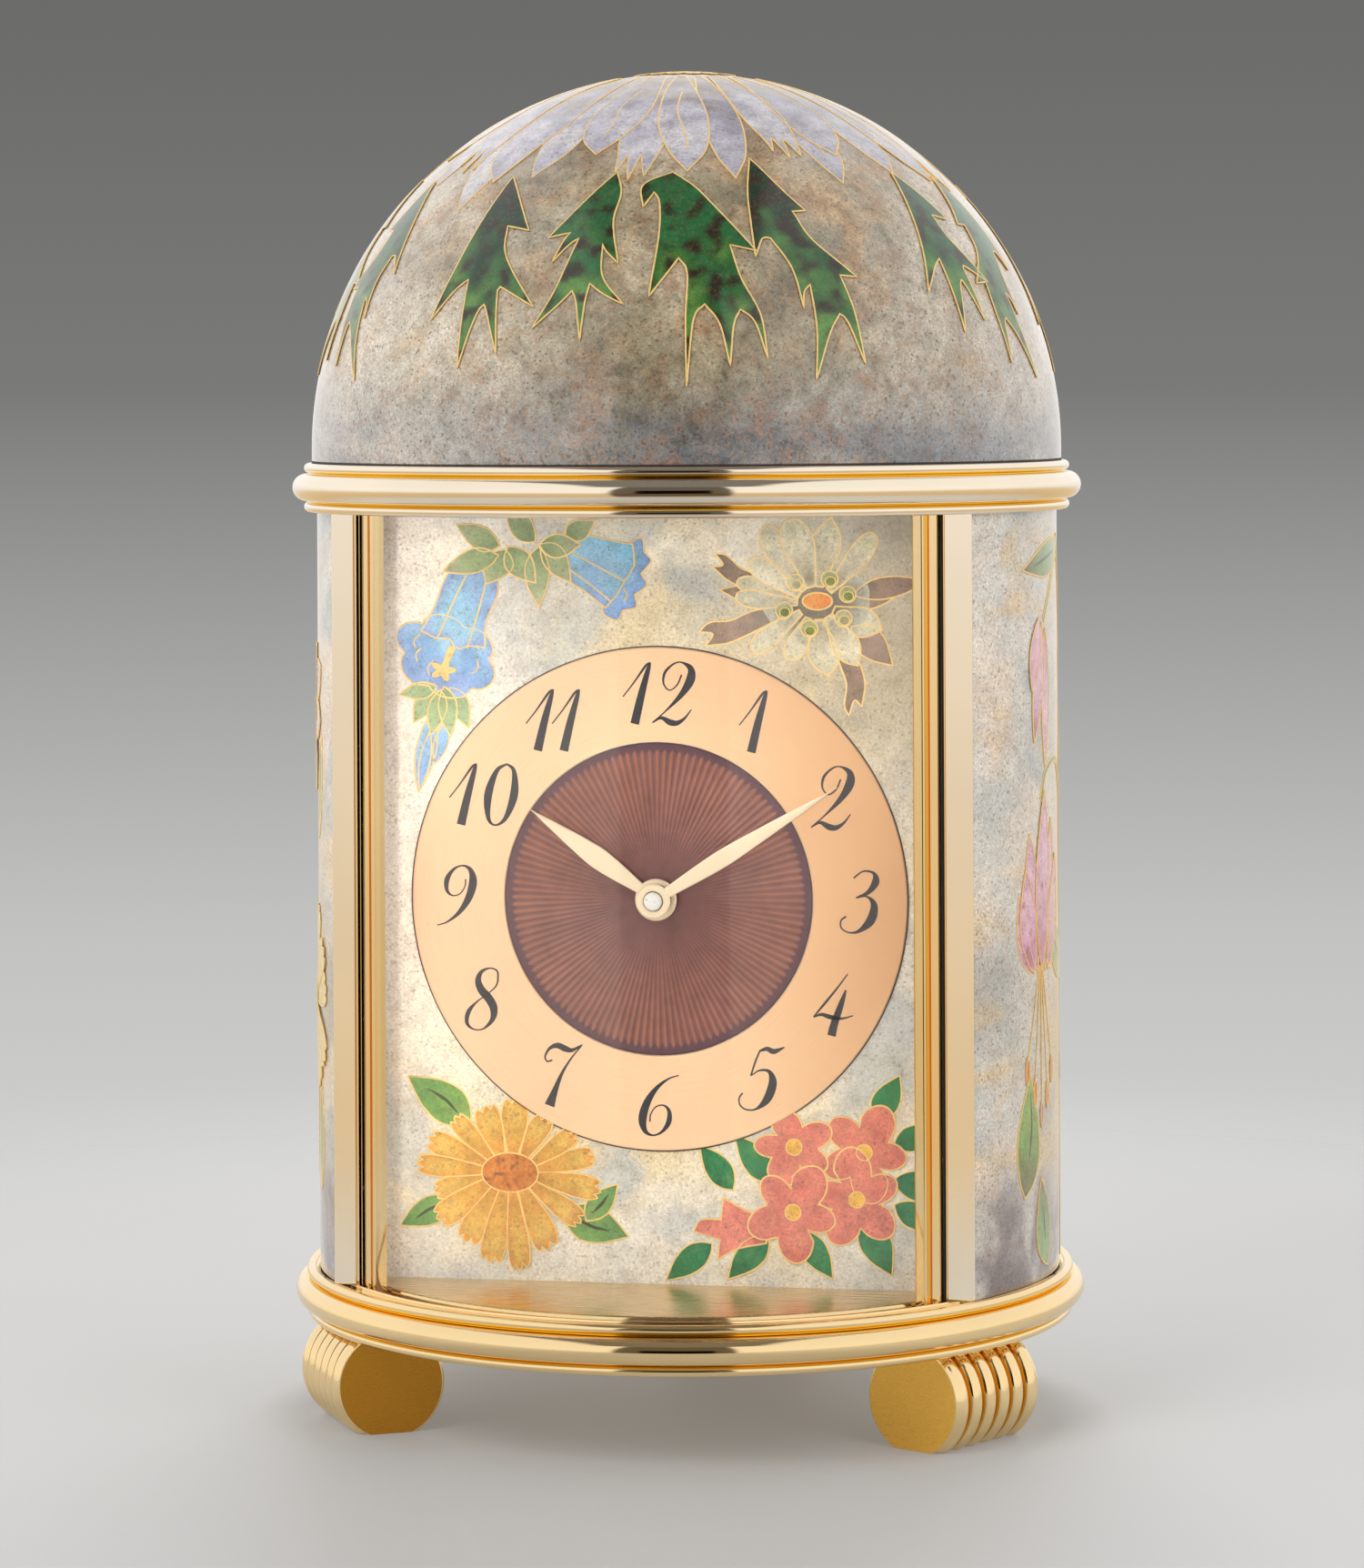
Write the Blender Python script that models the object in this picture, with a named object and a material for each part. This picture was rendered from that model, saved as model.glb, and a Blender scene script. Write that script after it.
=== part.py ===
# Dome table clock: a cylindrical enamelled case with a domed top, on three reeded feet, holding
# a motor-wound mechanical movement. +Z is up. The origin is on the case's vertical axis, on the
# plane the feet stand on. The dial faces -Y (front) and +X is the right-hand side.
# Dimensions are in millimetres and the meshes in metres. Angles called phi are in degrees round
# the case from the dial's normal (-Y), positive towards +X.
from collections import namedtuple
from math import asin, atan2, cos, degrees, hypot, pi, radians, sin, sqrt

import bmesh
import bpy
from mathutils import Vector
from mathutils.geometry import tessellate_polygon

MM = 0.001  # metres
X_AXIS, Y_AXIS, Z_AXIS = Vector((1, 0, 0)), Vector((0, 1, 0)), Vector((0, 0, 1))
SIDES = (('right', 1), ('left', -1))
GAP = 0.05       # clearance between neighbouring case parts
THIN_GAP = 0.03  # clearance between parts that all but touch

# ---------------------------------------------------------------- case dimensions
HEIGHT = 215.0
SEGMENTS = 36             # facets round the case
R_DOME = 60.74            # outside of the dome
Z_DOME = HEIGHT - R_DOME  # centre of the hemisphere
T_DOME = 1.5
DOME_STEPS = 7            # facets from rim to crown
R_BODY = 59.93            # outside of the enamelled side panels
T_PANEL = 1.35
R_FILLET = 62.0           # fillets above and below each half-round
R_TORUS = 61.75           # centre of the half-round
T_TORUS = 2.15            # its radius
H_MOULD = 3.9             # half height of each moulding
Z_BASE = 19.0             # mid height of the base moulding
Z_UPPER = 148.2           # mid height of the upper moulding
Z_FLOOR = Z_BASE + H_MOULD
Z_CEIL = Z_UPPER - H_MOULD
PANEL_Z = (Z_FLOOR + GAP, Z_CEIL - GAP)
R_OPENING = 50.0          # openings under the base ring and through the upper ring
BASE_UNDERSIDE = Z_BASE - 0.5
GROOVE_R = (54.9, 58.0)   # runner groove of the glass leaf
GROOVE_DEPTH = 1.0
UPPER_GROOVE_EXTRA = 0.3  # the upper groove is deeper by this

POST_PHI = 55.7           # front posts
REAR_POST_PHI = 180 - 35.0
POST_R = (58.0, 60.45)
POST_WIDTH = 3.7
POST_FLANK = 1.0          # radial depth of a post's flat sides

DOOR_HALF = 32.6          # half angle of the rear door
DOOR_EXTRA = 0.6          # the door is thicker than the panels by this
DOOR_END_GAP = 0.25
HINGE_PHI = 180 - DOOR_HALF + 1.25
HINGE_R = R_BODY - T_PANEL / 2 - 0.3
PIN_R = 0.5
PIN_IN_RING = 2.0
PIN_IN_CASE = 4.0         # length of a pin between floor and ceiling
PIN_SIDE_GAP = 0.09
PIN_END_GAP = 0.3
KNOB_PHI = 180 + DOOR_HALF - 4.5

LEAF_R = (55.3, 57.55)    # stiles of the sliding glass leaf
LEAF_PHI = 52.85
STILE_HALF = 0.75         # degrees
PANE_GAP = 0.03           # degrees
GLASS_R = (55.7, 57.2)
LEAF_LIFT = 0.15
LEAF_Z = (Z_FLOOR - GROOVE_DEPTH + LEAF_LIFT, Z_CEIL + GROOVE_DEPTH + LEAF_LIFT)

R_FEET = 53.7             # feet centres
FOOT_R = 9.25
FOOT_LENGTH = 21.0
FOOT_REEDS = 6
REED_DEPTH = 0.55
FOOT_Z = 7.65             # axis of the barrel
FOOT_TOP = Z_BASE - H_MOULD - GAP
FOOT_SIDE_POINTS = 6

# ---------------------------------------------------------------- dial and movement dimensions
Y_DIAL = -26.6            # front face of the dial plate
DIAL_BACK = Y_DIAL + 1.2
DIAL_HALF = 47.5
Z_DIAL = 83.6             # dial centre
DIAL_Z = (PANEL_Z[0] - Z_DIAL, PANEL_Z[1] - Z_DIAL)  # plate ends, from the dial centre
DIAL_BORE = 3.0
CHAPTER_R = (24.7, 39.6)
RAIL_X = (31.0, 35.0)
MINUTE_DEG = 58.2         # hands at rest, clockwise from 12
HOUR_DEG = 304.85

PLATE_R = 36.0
FRONT_PLATE_Y = (-21.0, -19.0)
BACK_PLATE_Y = (1.0, 3.0)
PILLAR_BORE = 1.3
FRONT_PIVOT = -20.6       # arbors end here, inside the plates
BACK_PIVOT = 2.6

Pair = namedtuple('Pair', 'wheel pinion module')  # wheel teeth, pinion leaves, module
BARREL_PAIR = Pair(48, 8, 0.65)
CENTRE_PAIR = Pair(48, 8, 0.60)
THIRD_PAIR = Pair(45, 8, 0.56)
FOURTH_PAIR = Pair(50, 7, 0.50)
RATCHET_PAIR = Pair(30, 8, 0.60)
MINUTE_PAIR = Pair(30, 10, 0.60)  # minute wheel on the cannon pinion, and on the setting arbor
HOUR_PAIR = Pair(32, 8, 0.60)     # hour wheel on the minute wheel's pinion
ADDENDUM, DEDENDUM = 0.80, 1.15   # tooth height and depth, in modules
TOOTH_ROOT = 0.24                 # half width of a tooth at its foot, as a share of a pitch

# direction from one arbor to the next, degrees from +X towards +Z
TO_BARREL, TO_THIRD, TO_FOURTH, TO_ESCAPE = 215.0, 120.0, 10.0, -30.0
TO_PALLET, TO_BALANCE = -60.0, -100.0
TO_MINUTE, TO_SETTING, TO_MOTOR = 300.0, 330.0, 290.0
PALLET_SPACING = 6.7
BALANCE_SPACING = 8.8


# ---------------------------------------------------------------- plane geometry
def around(radius, angle):
    """The point at a radius and an angle in radians."""
    return radius * cos(angle), radius * sin(angle)


def shift(outline, offset):
    return [(x + offset[0], z + offset[1]) for x, z in outline]


def polar(centre, radius, angle_deg):
    return shift([around(radius, radians(angle_deg))], centre)[0]


def spacing(pair):
    return (pair.wheel + pair.pinion) * pair.module / 2


def circle(radius, count):
    return [around(radius, 2 * pi * k / count) for k in range(count)]


def rectangle(x0, x1, z0, z1):
    return [(x0, z0), (x1, z0), (x1, z1), (x0, z1)]


def gear(teeth, module, phase):
    """Outline of a wheel with pointed teeth. phase is the angle of one tooth, in radians."""
    pitch_r = teeth * module / 2
    pitch = 2 * pi / teeth
    foot_r, tip_r = pitch_r - DEDENDUM * module, pitch_r + ADDENDUM * module
    tooth = ((foot_r, -TOOTH_ROOT), (tip_r, 0.0), (foot_r, TOOTH_ROOT))
    return [around(radius, phase + k * pitch + offset * pitch)
            for k in range(teeth) for radius, offset in tooth]


def wheel(pair, phase=0.0):
    return gear(pair.wheel, pair.module, phase)


def pinion(pair, phase=0.0):
    return gear(pair.pinion, pair.module, phase)


def mesh_phase(teeth, mate_teeth, direction_deg, phase=0.0):
    """Phase of the mate that meshes with a gear, where the mate lies in direction_deg."""
    direction = radians(direction_deg)
    pitch, mate_pitch = 2 * pi / teeth, 2 * pi / mate_teeth
    # a tooth here needs a gap of the mate, in pitches and turning the other way
    offset = (phase - direction) / pitch
    return direction + pi - (offset + 0.5) * mate_pitch


def spoke_gaps(count, inner, outer, web, steps):
    """Openings between the spokes of a wheel; web is the spokes' width."""
    gaps = []
    half = pi / count
    half_in, half_out = half - web / 2 / inner, half - web / 2 / outer
    for k in range(count):
        mid = 2 * pi * (k + 0.5) / count
        gap = [around(outer, mid + half_out * (2 * i / steps - 1)) for i in range(steps + 1)]
        gap += [around(inner, mid - half_in * i) for i in (-1, 0, 1)]
        gaps.append(gap)
    return gaps


# arbor positions, (x, z) from the dial centre
CENTRE = (0.0, 0.0)
BARREL = polar(CENTRE, spacing(BARREL_PAIR), TO_BARREL)
THIRD = polar(CENTRE, spacing(CENTRE_PAIR), TO_THIRD)
FOURTH = polar(THIRD, spacing(THIRD_PAIR), TO_FOURTH)
ESCAPE = polar(FOURTH, spacing(FOURTH_PAIR), TO_ESCAPE)
PALLET = polar(ESCAPE, PALLET_SPACING, TO_PALLET)
BALANCE = polar(PALLET, BALANCE_SPACING, TO_BALANCE)
MINUTE = polar(CENTRE, spacing(MINUTE_PAIR), TO_MINUTE)
SETTING = polar(MINUTE, spacing(MINUTE_PAIR), TO_SETTING)
MOTOR = polar(BARREL, spacing(RATCHET_PAIR), TO_MOTOR)
PILLARS = [polar(CENTRE, 32.0, angle) for angle in (40, 160, 285)]

for old in list(bpy.data.objects):
    bpy.data.objects.remove(old)


# ---------------------------------------------------------------- materials
def make_material(name, colour, roughness, metallic=0, alpha=1.0):
    material = bpy.data.materials.new(name)
    material.use_nodes = True
    inputs = material.node_tree.nodes['Principled BSDF'].inputs
    inputs['Base Color'].default_value = (*colour, 1)
    inputs['Roughness'].default_value = roughness
    inputs['Metallic'].default_value = metallic
    inputs['Alpha'].default_value = alpha
    return material


GILT = make_material('polished_gilt', colour=(0.86, 0.64, 0.34), roughness=0.12, metallic=1)
CHAPTER_GILT = make_material('chapter_gilt', colour=(0.88, 0.66, 0.38), roughness=0.3, metallic=1)
ENAMEL = make_material('enamel', colour=(0.60, 0.56, 0.50), roughness=0.12)
BROWN = make_material('brown_enamel', colour=(0.20, 0.08, 0.06), roughness=0.15)
GLASS = make_material('glass', colour=(0.95, 0.97, 0.97), roughness=0.03, alpha=0.2)
BRASS = make_material('brass', colour=(0.78, 0.58, 0.28), roughness=0.3, metallic=1)
STEEL = make_material('steel', colour=(0.55, 0.56, 0.58), roughness=0.3, metallic=1)
BLUED = make_material('blued_steel', colour=(0.05, 0.08, 0.30), roughness=0.3, metallic=1)
BLACK = make_material('black_plastic', colour=(0.03, 0.03, 0.03), roughness=0.5)
JACKET = make_material('cell_jacket', colour=(0.10, 0.22, 0.30), roughness=0.4)
RED = make_material('wire_red', colour=(0.45, 0.03, 0.02), roughness=0.5)


# ---------------------------------------------------------------- mesh helpers
def finish(name, mesh, material):
    """Turns a bmesh into a smooth-shaded object with sharp edges."""
    bmesh.ops.remove_doubles(mesh, verts=mesh.verts, dist=1e-7)
    bmesh.ops.recalc_face_normals(mesh, faces=mesh.faces)
    data = bpy.data.meshes.new(name)
    mesh.to_mesh(data)
    mesh.free()
    data.materials.append(material)
    data.shade_smooth()
    data.set_sharp_from_angle(angle=radians(35))
    part = bpy.data.objects.new(name, data)
    bpy.context.scene.collection.objects.link(part)
    return part


def move_origin(part, x, y, z):
    """Moves the object's origin to a joint's axis and leaves the shape where it is."""
    offset = Vector((x * MM, y * MM, z * MM))
    for vertex in part.data.vertices:
        vertex.co -= offset
    part.location = offset
    return part


def join(mesh, ring, following):
    """Faces between two rings of vertices; a ring on an axis may be a single vertex."""
    count = max(len(ring), len(following))
    if count == 1:
        return
    for k in range(count):
        after = (k + 1) % count
        if len(ring) == 1:
            mesh.faces.new((ring[0], following[k], following[after]))
        elif len(following) == 1:
            mesh.faces.new((ring[k], ring[after], following[0]))
        else:
            mesh.faces.new((ring[k], ring[after], following[after], following[k]))


def loft(name, sections, material, closed=False):
    """Joins sections of points in turn; the last meets the first if closed, else ends are capped."""
    mesh = bmesh.new()
    rings = [[mesh.verts.new([value * MM for value in point]) for point in section]
             for section in sections]
    for ring, following in zip(rings, rings[1:]):
        join(mesh, ring, following)
    if closed:
        join(mesh, rings[-1], rings[0])
    else:
        mesh.faces.new(rings[0])
        mesh.faces.new(list(reversed(rings[-1])))
    return finish(name, mesh, material)


def revolve(name, profile, material, segments, origin=Vector((0, 0, 0)),
            axes=(X_AXIS, Y_AXIS, Z_AXIS)):
    """Turns a profile of (radius, distance) about the last of three axes through origin."""
    across, up, along = axes
    sections = []
    for radius, distance in profile:
        centre = origin + along * distance
        if radius == 0:
            sections.append([centre])
        else:
            sections.append([centre + across * x + up * y for x, y in circle(radius, segments)])
    return loft(name, sections, material, closed=True)


def turned(name, layers, material, segments, origin, axes=(X_AXIS, Y_AXIS, Z_AXIS)):
    """A turned piece of layers of (radius, start, end) along the last axis."""
    profile = [(0, layers[0][1])]
    for radius, start, end in layers:
        profile += [(radius, start), (radius, end)]
    profile.append((0, layers[-1][2]))
    return revolve(name, profile, material, segments, origin, axes)


def case_directions(phi):
    """Unit vectors outwards and sideways (towards larger phi) at an angle round the case."""
    angle = radians(phi)
    return Vector((sin(angle), -cos(angle), 0)), Vector((cos(angle), sin(angle), 0))


def on_case(radius, phi, z):
    return case_directions(phi)[0] * radius + Z_AXIS * z


def arc_bar(name, radii, heights, phi0, phi1, steps, material):
    """A rectangular section swept round the case from phi0 to phi1."""
    section = rectangle(*radii, *heights)
    return loft(name, [[on_case(radius, phi0 + (phi1 - phi0) * i / steps, z)
                        for radius, z in section] for i in range(steps + 1)], material)


def column(name, outline, heights, material):
    """A vertical bar with a plan outline of (x, y)."""
    return loft(name, [[(x, y, z) for x, y in outline] for z in heights], material)


def reach(outline):
    """Largest distance of an outline's points from their mean."""
    mid_x = sum(point[0] for point in outline) / len(outline)
    mid_z = sum(point[1] for point in outline) / len(outline)
    return max(hypot(x - mid_x, z - mid_z) for x, z in outline)


def stack(name, layers, material, centre=CENTRE, bore=None):
    """A solid of flat layers from front to back along Y, each (outline, y0, y1) or
    (outline, y0, y1, holes), with outlines in (x, z) about centre. Where two layers meet, the
    smaller outline lies inside the larger. bore is one outline cut through them all."""
    mesh = bmesh.new()
    centre_x, centre_z = centre[0], centre[1] + Z_DIAL

    def tube(outline, y0, y1):
        """Side walls of an outline; returns its front and back ends as (outline, vertices)."""
        front, back = ([mesh.verts.new(((centre_x + x) * MM, y * MM, (centre_z + z) * MM))
                        for x, z in outline] for y in (y0, y1))
        join(mesh, front, back)
        return (outline, front), (outline, back)

    def cap(ends):
        """A flat face bounded by the first end, with the others as holes."""
        vertices = [vertex for _, ring in ends for vertex in ring]
        for triangle in tessellate_polygon([[Vector((x, z, 0)) for x, z in outline]
                                            for outline, _ in ends]):
            if len(set(triangle)) == 3:
                # guards against the tessellation giving the same triangle twice
                try:
                    mesh.faces.new([vertices[i] for i in triangle])
                except ValueError:
                    pass

    tubes = []
    for outline, y0, y1, *more in layers:
        outer = tube(outline, y0, y1)
        tubes.append((outer, [tube(hole, y0, y1) for hole in (more[0] if more else ())]))
    bores = [tube(bore, layers[0][1], layers[-1][2])] if bore else []
    for end, (outer, holes) in ((0, tubes[0]), (1, tubes[-1])):
        cap([walls[end] for walls in (outer, *holes, *bores)])
    for (outer, holes), (next_outer, next_holes) in zip(tubes, tubes[1:]):
        back, front = outer[1], next_outer[0]
        if reach(back[0]) > reach(front[0]):
            cap([back, front] + [hole[1] for hole in holes])
        else:
            cap([front, back] + [hole[0] for hole in next_holes])
    return finish(name, mesh, material)


def arbor_part(name, layers, material, centre, bore=None):
    """A stack with its origin on the arbor's axis."""
    part = stack(name, layers, material, centre, bore)
    return move_origin(part, centre[0], 0, Z_DIAL + centre[1])


def helper(part):
    """Marks an object that is only the other half of a boolean."""
    part.hide_render = True
    part.display_type = 'WIRE'
    return part


def boolean(part, other, operation):
    modifier = part.modifiers.new(operation.lower() + '_' + other.name, 'BOOLEAN')
    modifier.operation = operation
    modifier.object = other
    modifier.solver = 'EXACT'


# ---------------------------------------------------------------- case
def moulding(z_mid):
    """Profile of a moulding from top edge to bottom edge: fillet, half-round, fillet."""
    top = [(61.35, H_MOULD), (R_FILLET, 3.1), (61.6, 2.15)]
    half_round = [(R_TORUS + T_TORUS * cos(radians(angle)), T_TORUS * sin(radians(angle)))
                  for angle in (62, 31, 0, -31, -62)]
    bottom = [(radius, -z) for radius, z in reversed(top)]
    return [(radius, z_mid + z) for radius, z in top + half_round + bottom]


def build_base_ring():
    inner, outer = GROOVE_R
    z_groove = Z_FLOOR - GROOVE_DEPTH
    profile = moulding(Z_BASE) + [
        (R_OPENING, Z_BASE - H_MOULD), (R_OPENING, BASE_UNDERSIDE), (0, BASE_UNDERSIDE),
        (0, Z_FLOOR), (inner, Z_FLOOR), (inner, z_groove), (outer, z_groove), (outer, Z_FLOOR)]
    return revolve('base_ring', profile, GILT, SEGMENTS)


def build_upper_ring():
    inner, outer = GROOVE_R
    z_groove = Z_CEIL + GROOVE_DEPTH + UPPER_GROOVE_EXTRA
    profile = moulding(Z_UPPER) + [
        (outer, Z_CEIL), (outer, z_groove), (inner, z_groove), (inner, Z_CEIL),
        (R_OPENING, Z_CEIL), (R_OPENING, Z_UPPER + H_MOULD)]
    return revolve('upper_ring', profile, GILT, SEGMENTS)


def dome_surface(radius):
    """Profile of a hemisphere on a short upright rim, from rim to crown."""
    angles = [radians(90 * i / DOME_STEPS) for i in range(DOME_STEPS)]
    return ([(radius, Z_UPPER + H_MOULD + THIN_GAP)]
            + [(radius * cos(angle), Z_DOME + radius * sin(angle)) for angle in angles]
            + [(0, Z_DOME + radius)])


def build_dome():
    inside = dome_surface(R_DOME - T_DOME)
    revolve('dome', dome_surface(R_DOME) + inside[::-1], ENAMEL, SEGMENTS)


def build_side_panels():
    half_post = degrees(POST_WIDTH / sum(POST_R))
    front = POST_PHI + half_post + 0.05
    rear = REAR_POST_PHI - half_post - 0.05
    for side, sign in SIDES:
        arc_bar('side_panel_' + side, (R_BODY - T_PANEL, R_BODY), PANEL_Z,
                sign * front, sign * rear, 16, ENAMEL)


def build_post(name, phi):
    """An upright, flat inside, with a bowed face outside."""
    inner, outer = POST_R
    half = POST_WIDTH / 2
    flank = inner + POST_FLANK
    # (radius, sideways)
    points = [(inner, -half), (inner, half), (flank, half)]
    points += [(flank + (outer - flank) * sin(radians(angle)), half * cos(radians(angle)))
               for angle in (30, 60, 90, 120, 150)]
    points.append((flank, -half))
    outward, sideways = case_directions(phi)
    outline = [(outward * radius + sideways * offset).xy for radius, offset in points]
    column(name, outline, PANEL_Z, GILT)


# ---------------------------------------------------------------- rear door on two pivot pins
def build_rear_door(base, upper):
    """The door, its knob and the pins, which enter the base and upper rings."""
    door = arc_bar('rear_door', (R_BODY - T_PANEL - DOOR_EXTRA, R_BODY),
                   (PANEL_Z[0] + DOOR_END_GAP, PANEL_Z[1] - DOOR_END_GAP),
                   180 - DOOR_HALF, 180 + DOOR_HALF, 14, ENAMEL)
    outward, sideways = case_directions(KNOB_PHI)
    # (radius, start, end), distances from the case's axis
    knob_layers = [(1.1, R_BODY + 0.06, R_BODY + 1.0), (2.0, R_BODY + 1.0, R_BODY + 2.2),
                   (1.4, R_BODY + 2.2, R_BODY + 2.6)]
    knob = turned('rear_door_knob', knob_layers, GILT, 12, Z_AXIS * Z_DIAL,
                  (sideways, Z_AXIS, outward))
    hinge = on_case(HINGE_R, HINGE_PHI, 0)
    for name, ring, z0, z1 in (
            ('door_pin_lower', base, Z_FLOOR - PIN_IN_RING, Z_FLOOR + PIN_IN_CASE),
            ('door_pin_upper', upper, Z_CEIL - PIN_IN_CASE, Z_CEIL + PIN_IN_RING)):
        pin = turned(name, [(PIN_R, z0, z1)], STEEL, 12, hinge)
        move_origin(pin, hinge.x, hinge.y, 0)
        hole_layer = (PIN_R + PIN_SIDE_GAP, z0 - PIN_END_GAP, z1 + PIN_END_GAP)
        hole = helper(turned('cut_' + name, [hole_layer], STEEL, 12, hinge))
        boolean(ring, hole, 'DIFFERENCE')
        boolean(door, hole, 'DIFFERENCE')
    for part in (door, knob):
        move_origin(part, hinge.x, hinge.y, 0)


# ---------------------------------------------------------------- sliding glass leaf and feet
def build_glass_leaf():
    pane_half = LEAF_PHI - STILE_HALF - PANE_GAP
    arc_bar('glass_pane', GLASS_R, LEAF_Z, -pane_half, pane_half, 24, GLASS)
    for side, sign in SIDES:
        middle = sign * LEAF_PHI
        arc_bar('glass_stile_' + side, LEAF_R, LEAF_Z,
                middle - STILE_HALF, middle + STILE_HALF, 1, GILT)


def build_foot(name, phi):
    """A barrel lying across the radius, cut flat above and below, with reeds turned round it."""
    outward, sideways = case_directions(phi)
    pitch = FOOT_LENGTH / FOOT_REEDS
    valley = FOOT_R - REED_DEPTH
    stations = []  # (sideways, radius)
    for k in range(FOOT_REEDS):
        start = -FOOT_LENGTH / 2 + k * pitch
        stations += [(start, valley), (start + pitch / 2, FOOT_R)]
    stations.append((FOOT_LENGTH / 2, valley))
    sections = []
    for offset, radius in stations:
        low, high = asin(-FOOT_Z / radius), asin((FOOT_TOP - FOOT_Z) / radius)
        side = [around(radius, low + (high - low) * i / (FOOT_SIDE_POINTS - 1))
                for i in range(FOOT_SIDE_POINTS)]
        outline = side + [(-x, z) for x, z in reversed(side)]
        sections.append([outward * (R_FEET + x) + sideways * offset + Z_AXIS * (FOOT_Z + z)
                         for x, z in outline])
    loft(name, sections, GILT)


# ---------------------------------------------------------------- dial and hands
def build_dial():
    stack('dial_plate', [(rectangle(-DIAL_HALF, DIAL_HALF, *DIAL_Z), Y_DIAL, DIAL_BACK)],
          ENAMEL, bore=circle(DIAL_BORE, 16))
    inner, outer = CHAPTER_R
    back = Y_DIAL - THIN_GAP
    stack('chapter_ring', [(circle(outer, 36), Y_DIAL - 0.45, back)], CHAPTER_GILT,
          bore=circle(inner, 36))
    stack('dial_centre', [(circle(inner - 0.12, 36), Y_DIAL - 0.33, back)], BROWN,
          bore=circle(DIAL_BORE, 16))
    for side, sign in SIDES:
        x0, x1 = sorted(sign * x for x in RAIL_X)
        stack('dial_rail_' + side,
              [(rectangle(x0, x1, *DIAL_Z), DIAL_BACK + GAP, FRONT_PLATE_Y[0] - GAP)], BRASS)


HAND_STATIONS = (0.12, 0.25, 0.4, 0.55, 0.7, 0.85, 0.95)  # shares of the blade's length
HAND_NECK = 0.85       # half width where the blade leaves the boss
HAND_TIP = 0.12        # least half width before the point
BOSS_STEPS = 14


def build_hand(name, length, width, widest, hub, bore, angle, y_range):
    """A leaf-shaped hand with a round boss of radius hub. It is widest at the share widest of
    its length and ends in a point."""
    start = sqrt(hub * hub - HAND_NECK * HAND_NECK)
    side = [(HAND_NECK, start)]
    for share in HAND_STATIONS:
        if share < widest:
            swell = sin(pi / 2 * share / widest)
            half = HAND_NECK + (width / 2 - HAND_NECK) * swell
        else:
            taper = (share - widest) / (1 - widest)
            half = width / 2 * (1 - taper) ** 1.05 * (1 + 0.35 * taper)
        side.append((max(half, HAND_TIP), start + (length - start) * share))
    first = degrees(atan2(HAND_NECK, start))
    boss = []
    for i in range(1, BOSS_STEPS):
        turn = radians(first + (360 - 2 * first) * i / BOSS_STEPS)
        boss.append((hub * sin(turn), hub * cos(turn)))
    upright = [(-x, z) for x, z in side] + [(0.0, length)] + side[::-1] + boss
    turn = radians(angle)
    outline = [(x * cos(turn) + z * sin(turn), -x * sin(turn) + z * cos(turn))
               for x, z in upright]
    arbor_part(name, [(outline, *y_range)], GILT, CENTRE, bore=circle(bore, 16))


def build_hands():
    build_hand('minute_hand', length=34.3, width=2.7, widest=0.42, hub=2.75, bore=1.62,
               angle=MINUTE_DEG, y_range=(-31.2, -30.7))
    build_hand('hour_hand', length=24.3, width=3.35, widest=0.50, hub=3.3, bore=2.52,
               angle=HOUR_DEG, y_range=(-28.9, -28.35))
    arbor_part('hand_cap', [(circle(1.45, 16), -31.75, -31.25)], STEEL, CENTRE)


# ---------------------------------------------------------------- movement plates and pillars
# holes in both plates: (arbor, radius)
PLATE_HOLES = [(CENTRE, 1.25), (THIRD, 0.85), (FOURTH, 0.85), (ESCAPE, 0.85), (PALLET, 0.7),
               (BALANCE, 0.7), (SETTING, 1.3), (BARREL, 1.8)]


def build_plates():
    outline = circle(PLATE_R, 36)
    pillar_holes = [(centre, PILLAR_BORE) for centre in PILLARS]
    for side, y_range, extra in (('front', FRONT_PLATE_Y, [(MINUTE, 0.95)]),
                                 ('back', BACK_PLATE_Y, pillar_holes)):
        holes = [shift(circle(radius, 8), centre) for centre, radius in PLATE_HOLES + extra]
        stack(f'movement_{side}_plate', [(outline, *y_range, holes)], BRASS)


def build_pillars():
    """Pillars between the plates, each with a screw through the back plate."""
    near, far = BACK_PLATE_Y
    head = far + 0.04
    for number, centre in enumerate(PILLARS, 1):
        stack(f'pillar_{number}',
              [(circle(2.4, 12), FRONT_PLATE_Y[1] + THIN_GAP, near - THIN_GAP)],
              BRASS, centre, bore=circle(PILLAR_BORE, 12))
        stack(f'pillar_screw_{number}',
              [(circle(1.0, 10), near - 4.0, head), (circle(2.1, 12), head, far + 1.3)],
              BLUED, centre)


# ---------------------------------------------------------------- springs
SPRING_TURNS = 4.0


def build_spring(name, inner, outer, width, steps, y_range, material, centre):
    """A flat spiral strip from one mid radius to another, made of quads along the strip."""
    edges = ([], [])
    for i in range(steps + 1):
        share = i / steps
        angle = 2 * pi * SPRING_TURNS * share
        middle = inner + (outer - inner) * share
        edges[0].append(around(middle + width / 2, angle))
        edges[1].append(around(middle - width / 2, angle))
    outline = edges[0] + edges[1][::-1]
    mesh = bmesh.new()
    x_mid, z_mid = centre[0], centre[1] + Z_DIAL
    faces = [[mesh.verts.new(((x_mid + x) * MM, y * MM, (z_mid + z) * MM)) for x, z in outline]
             for y in y_range]
    join(mesh, *faces)
    count = len(outline)
    for k in range(steps):
        for ring in faces:
            mesh.faces.new((ring[k], ring[k + 1], ring[count - 2 - k], ring[count - 1 - k]))
    move_origin(finish(name, mesh, material), x_mid, 0, z_mid)


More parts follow.
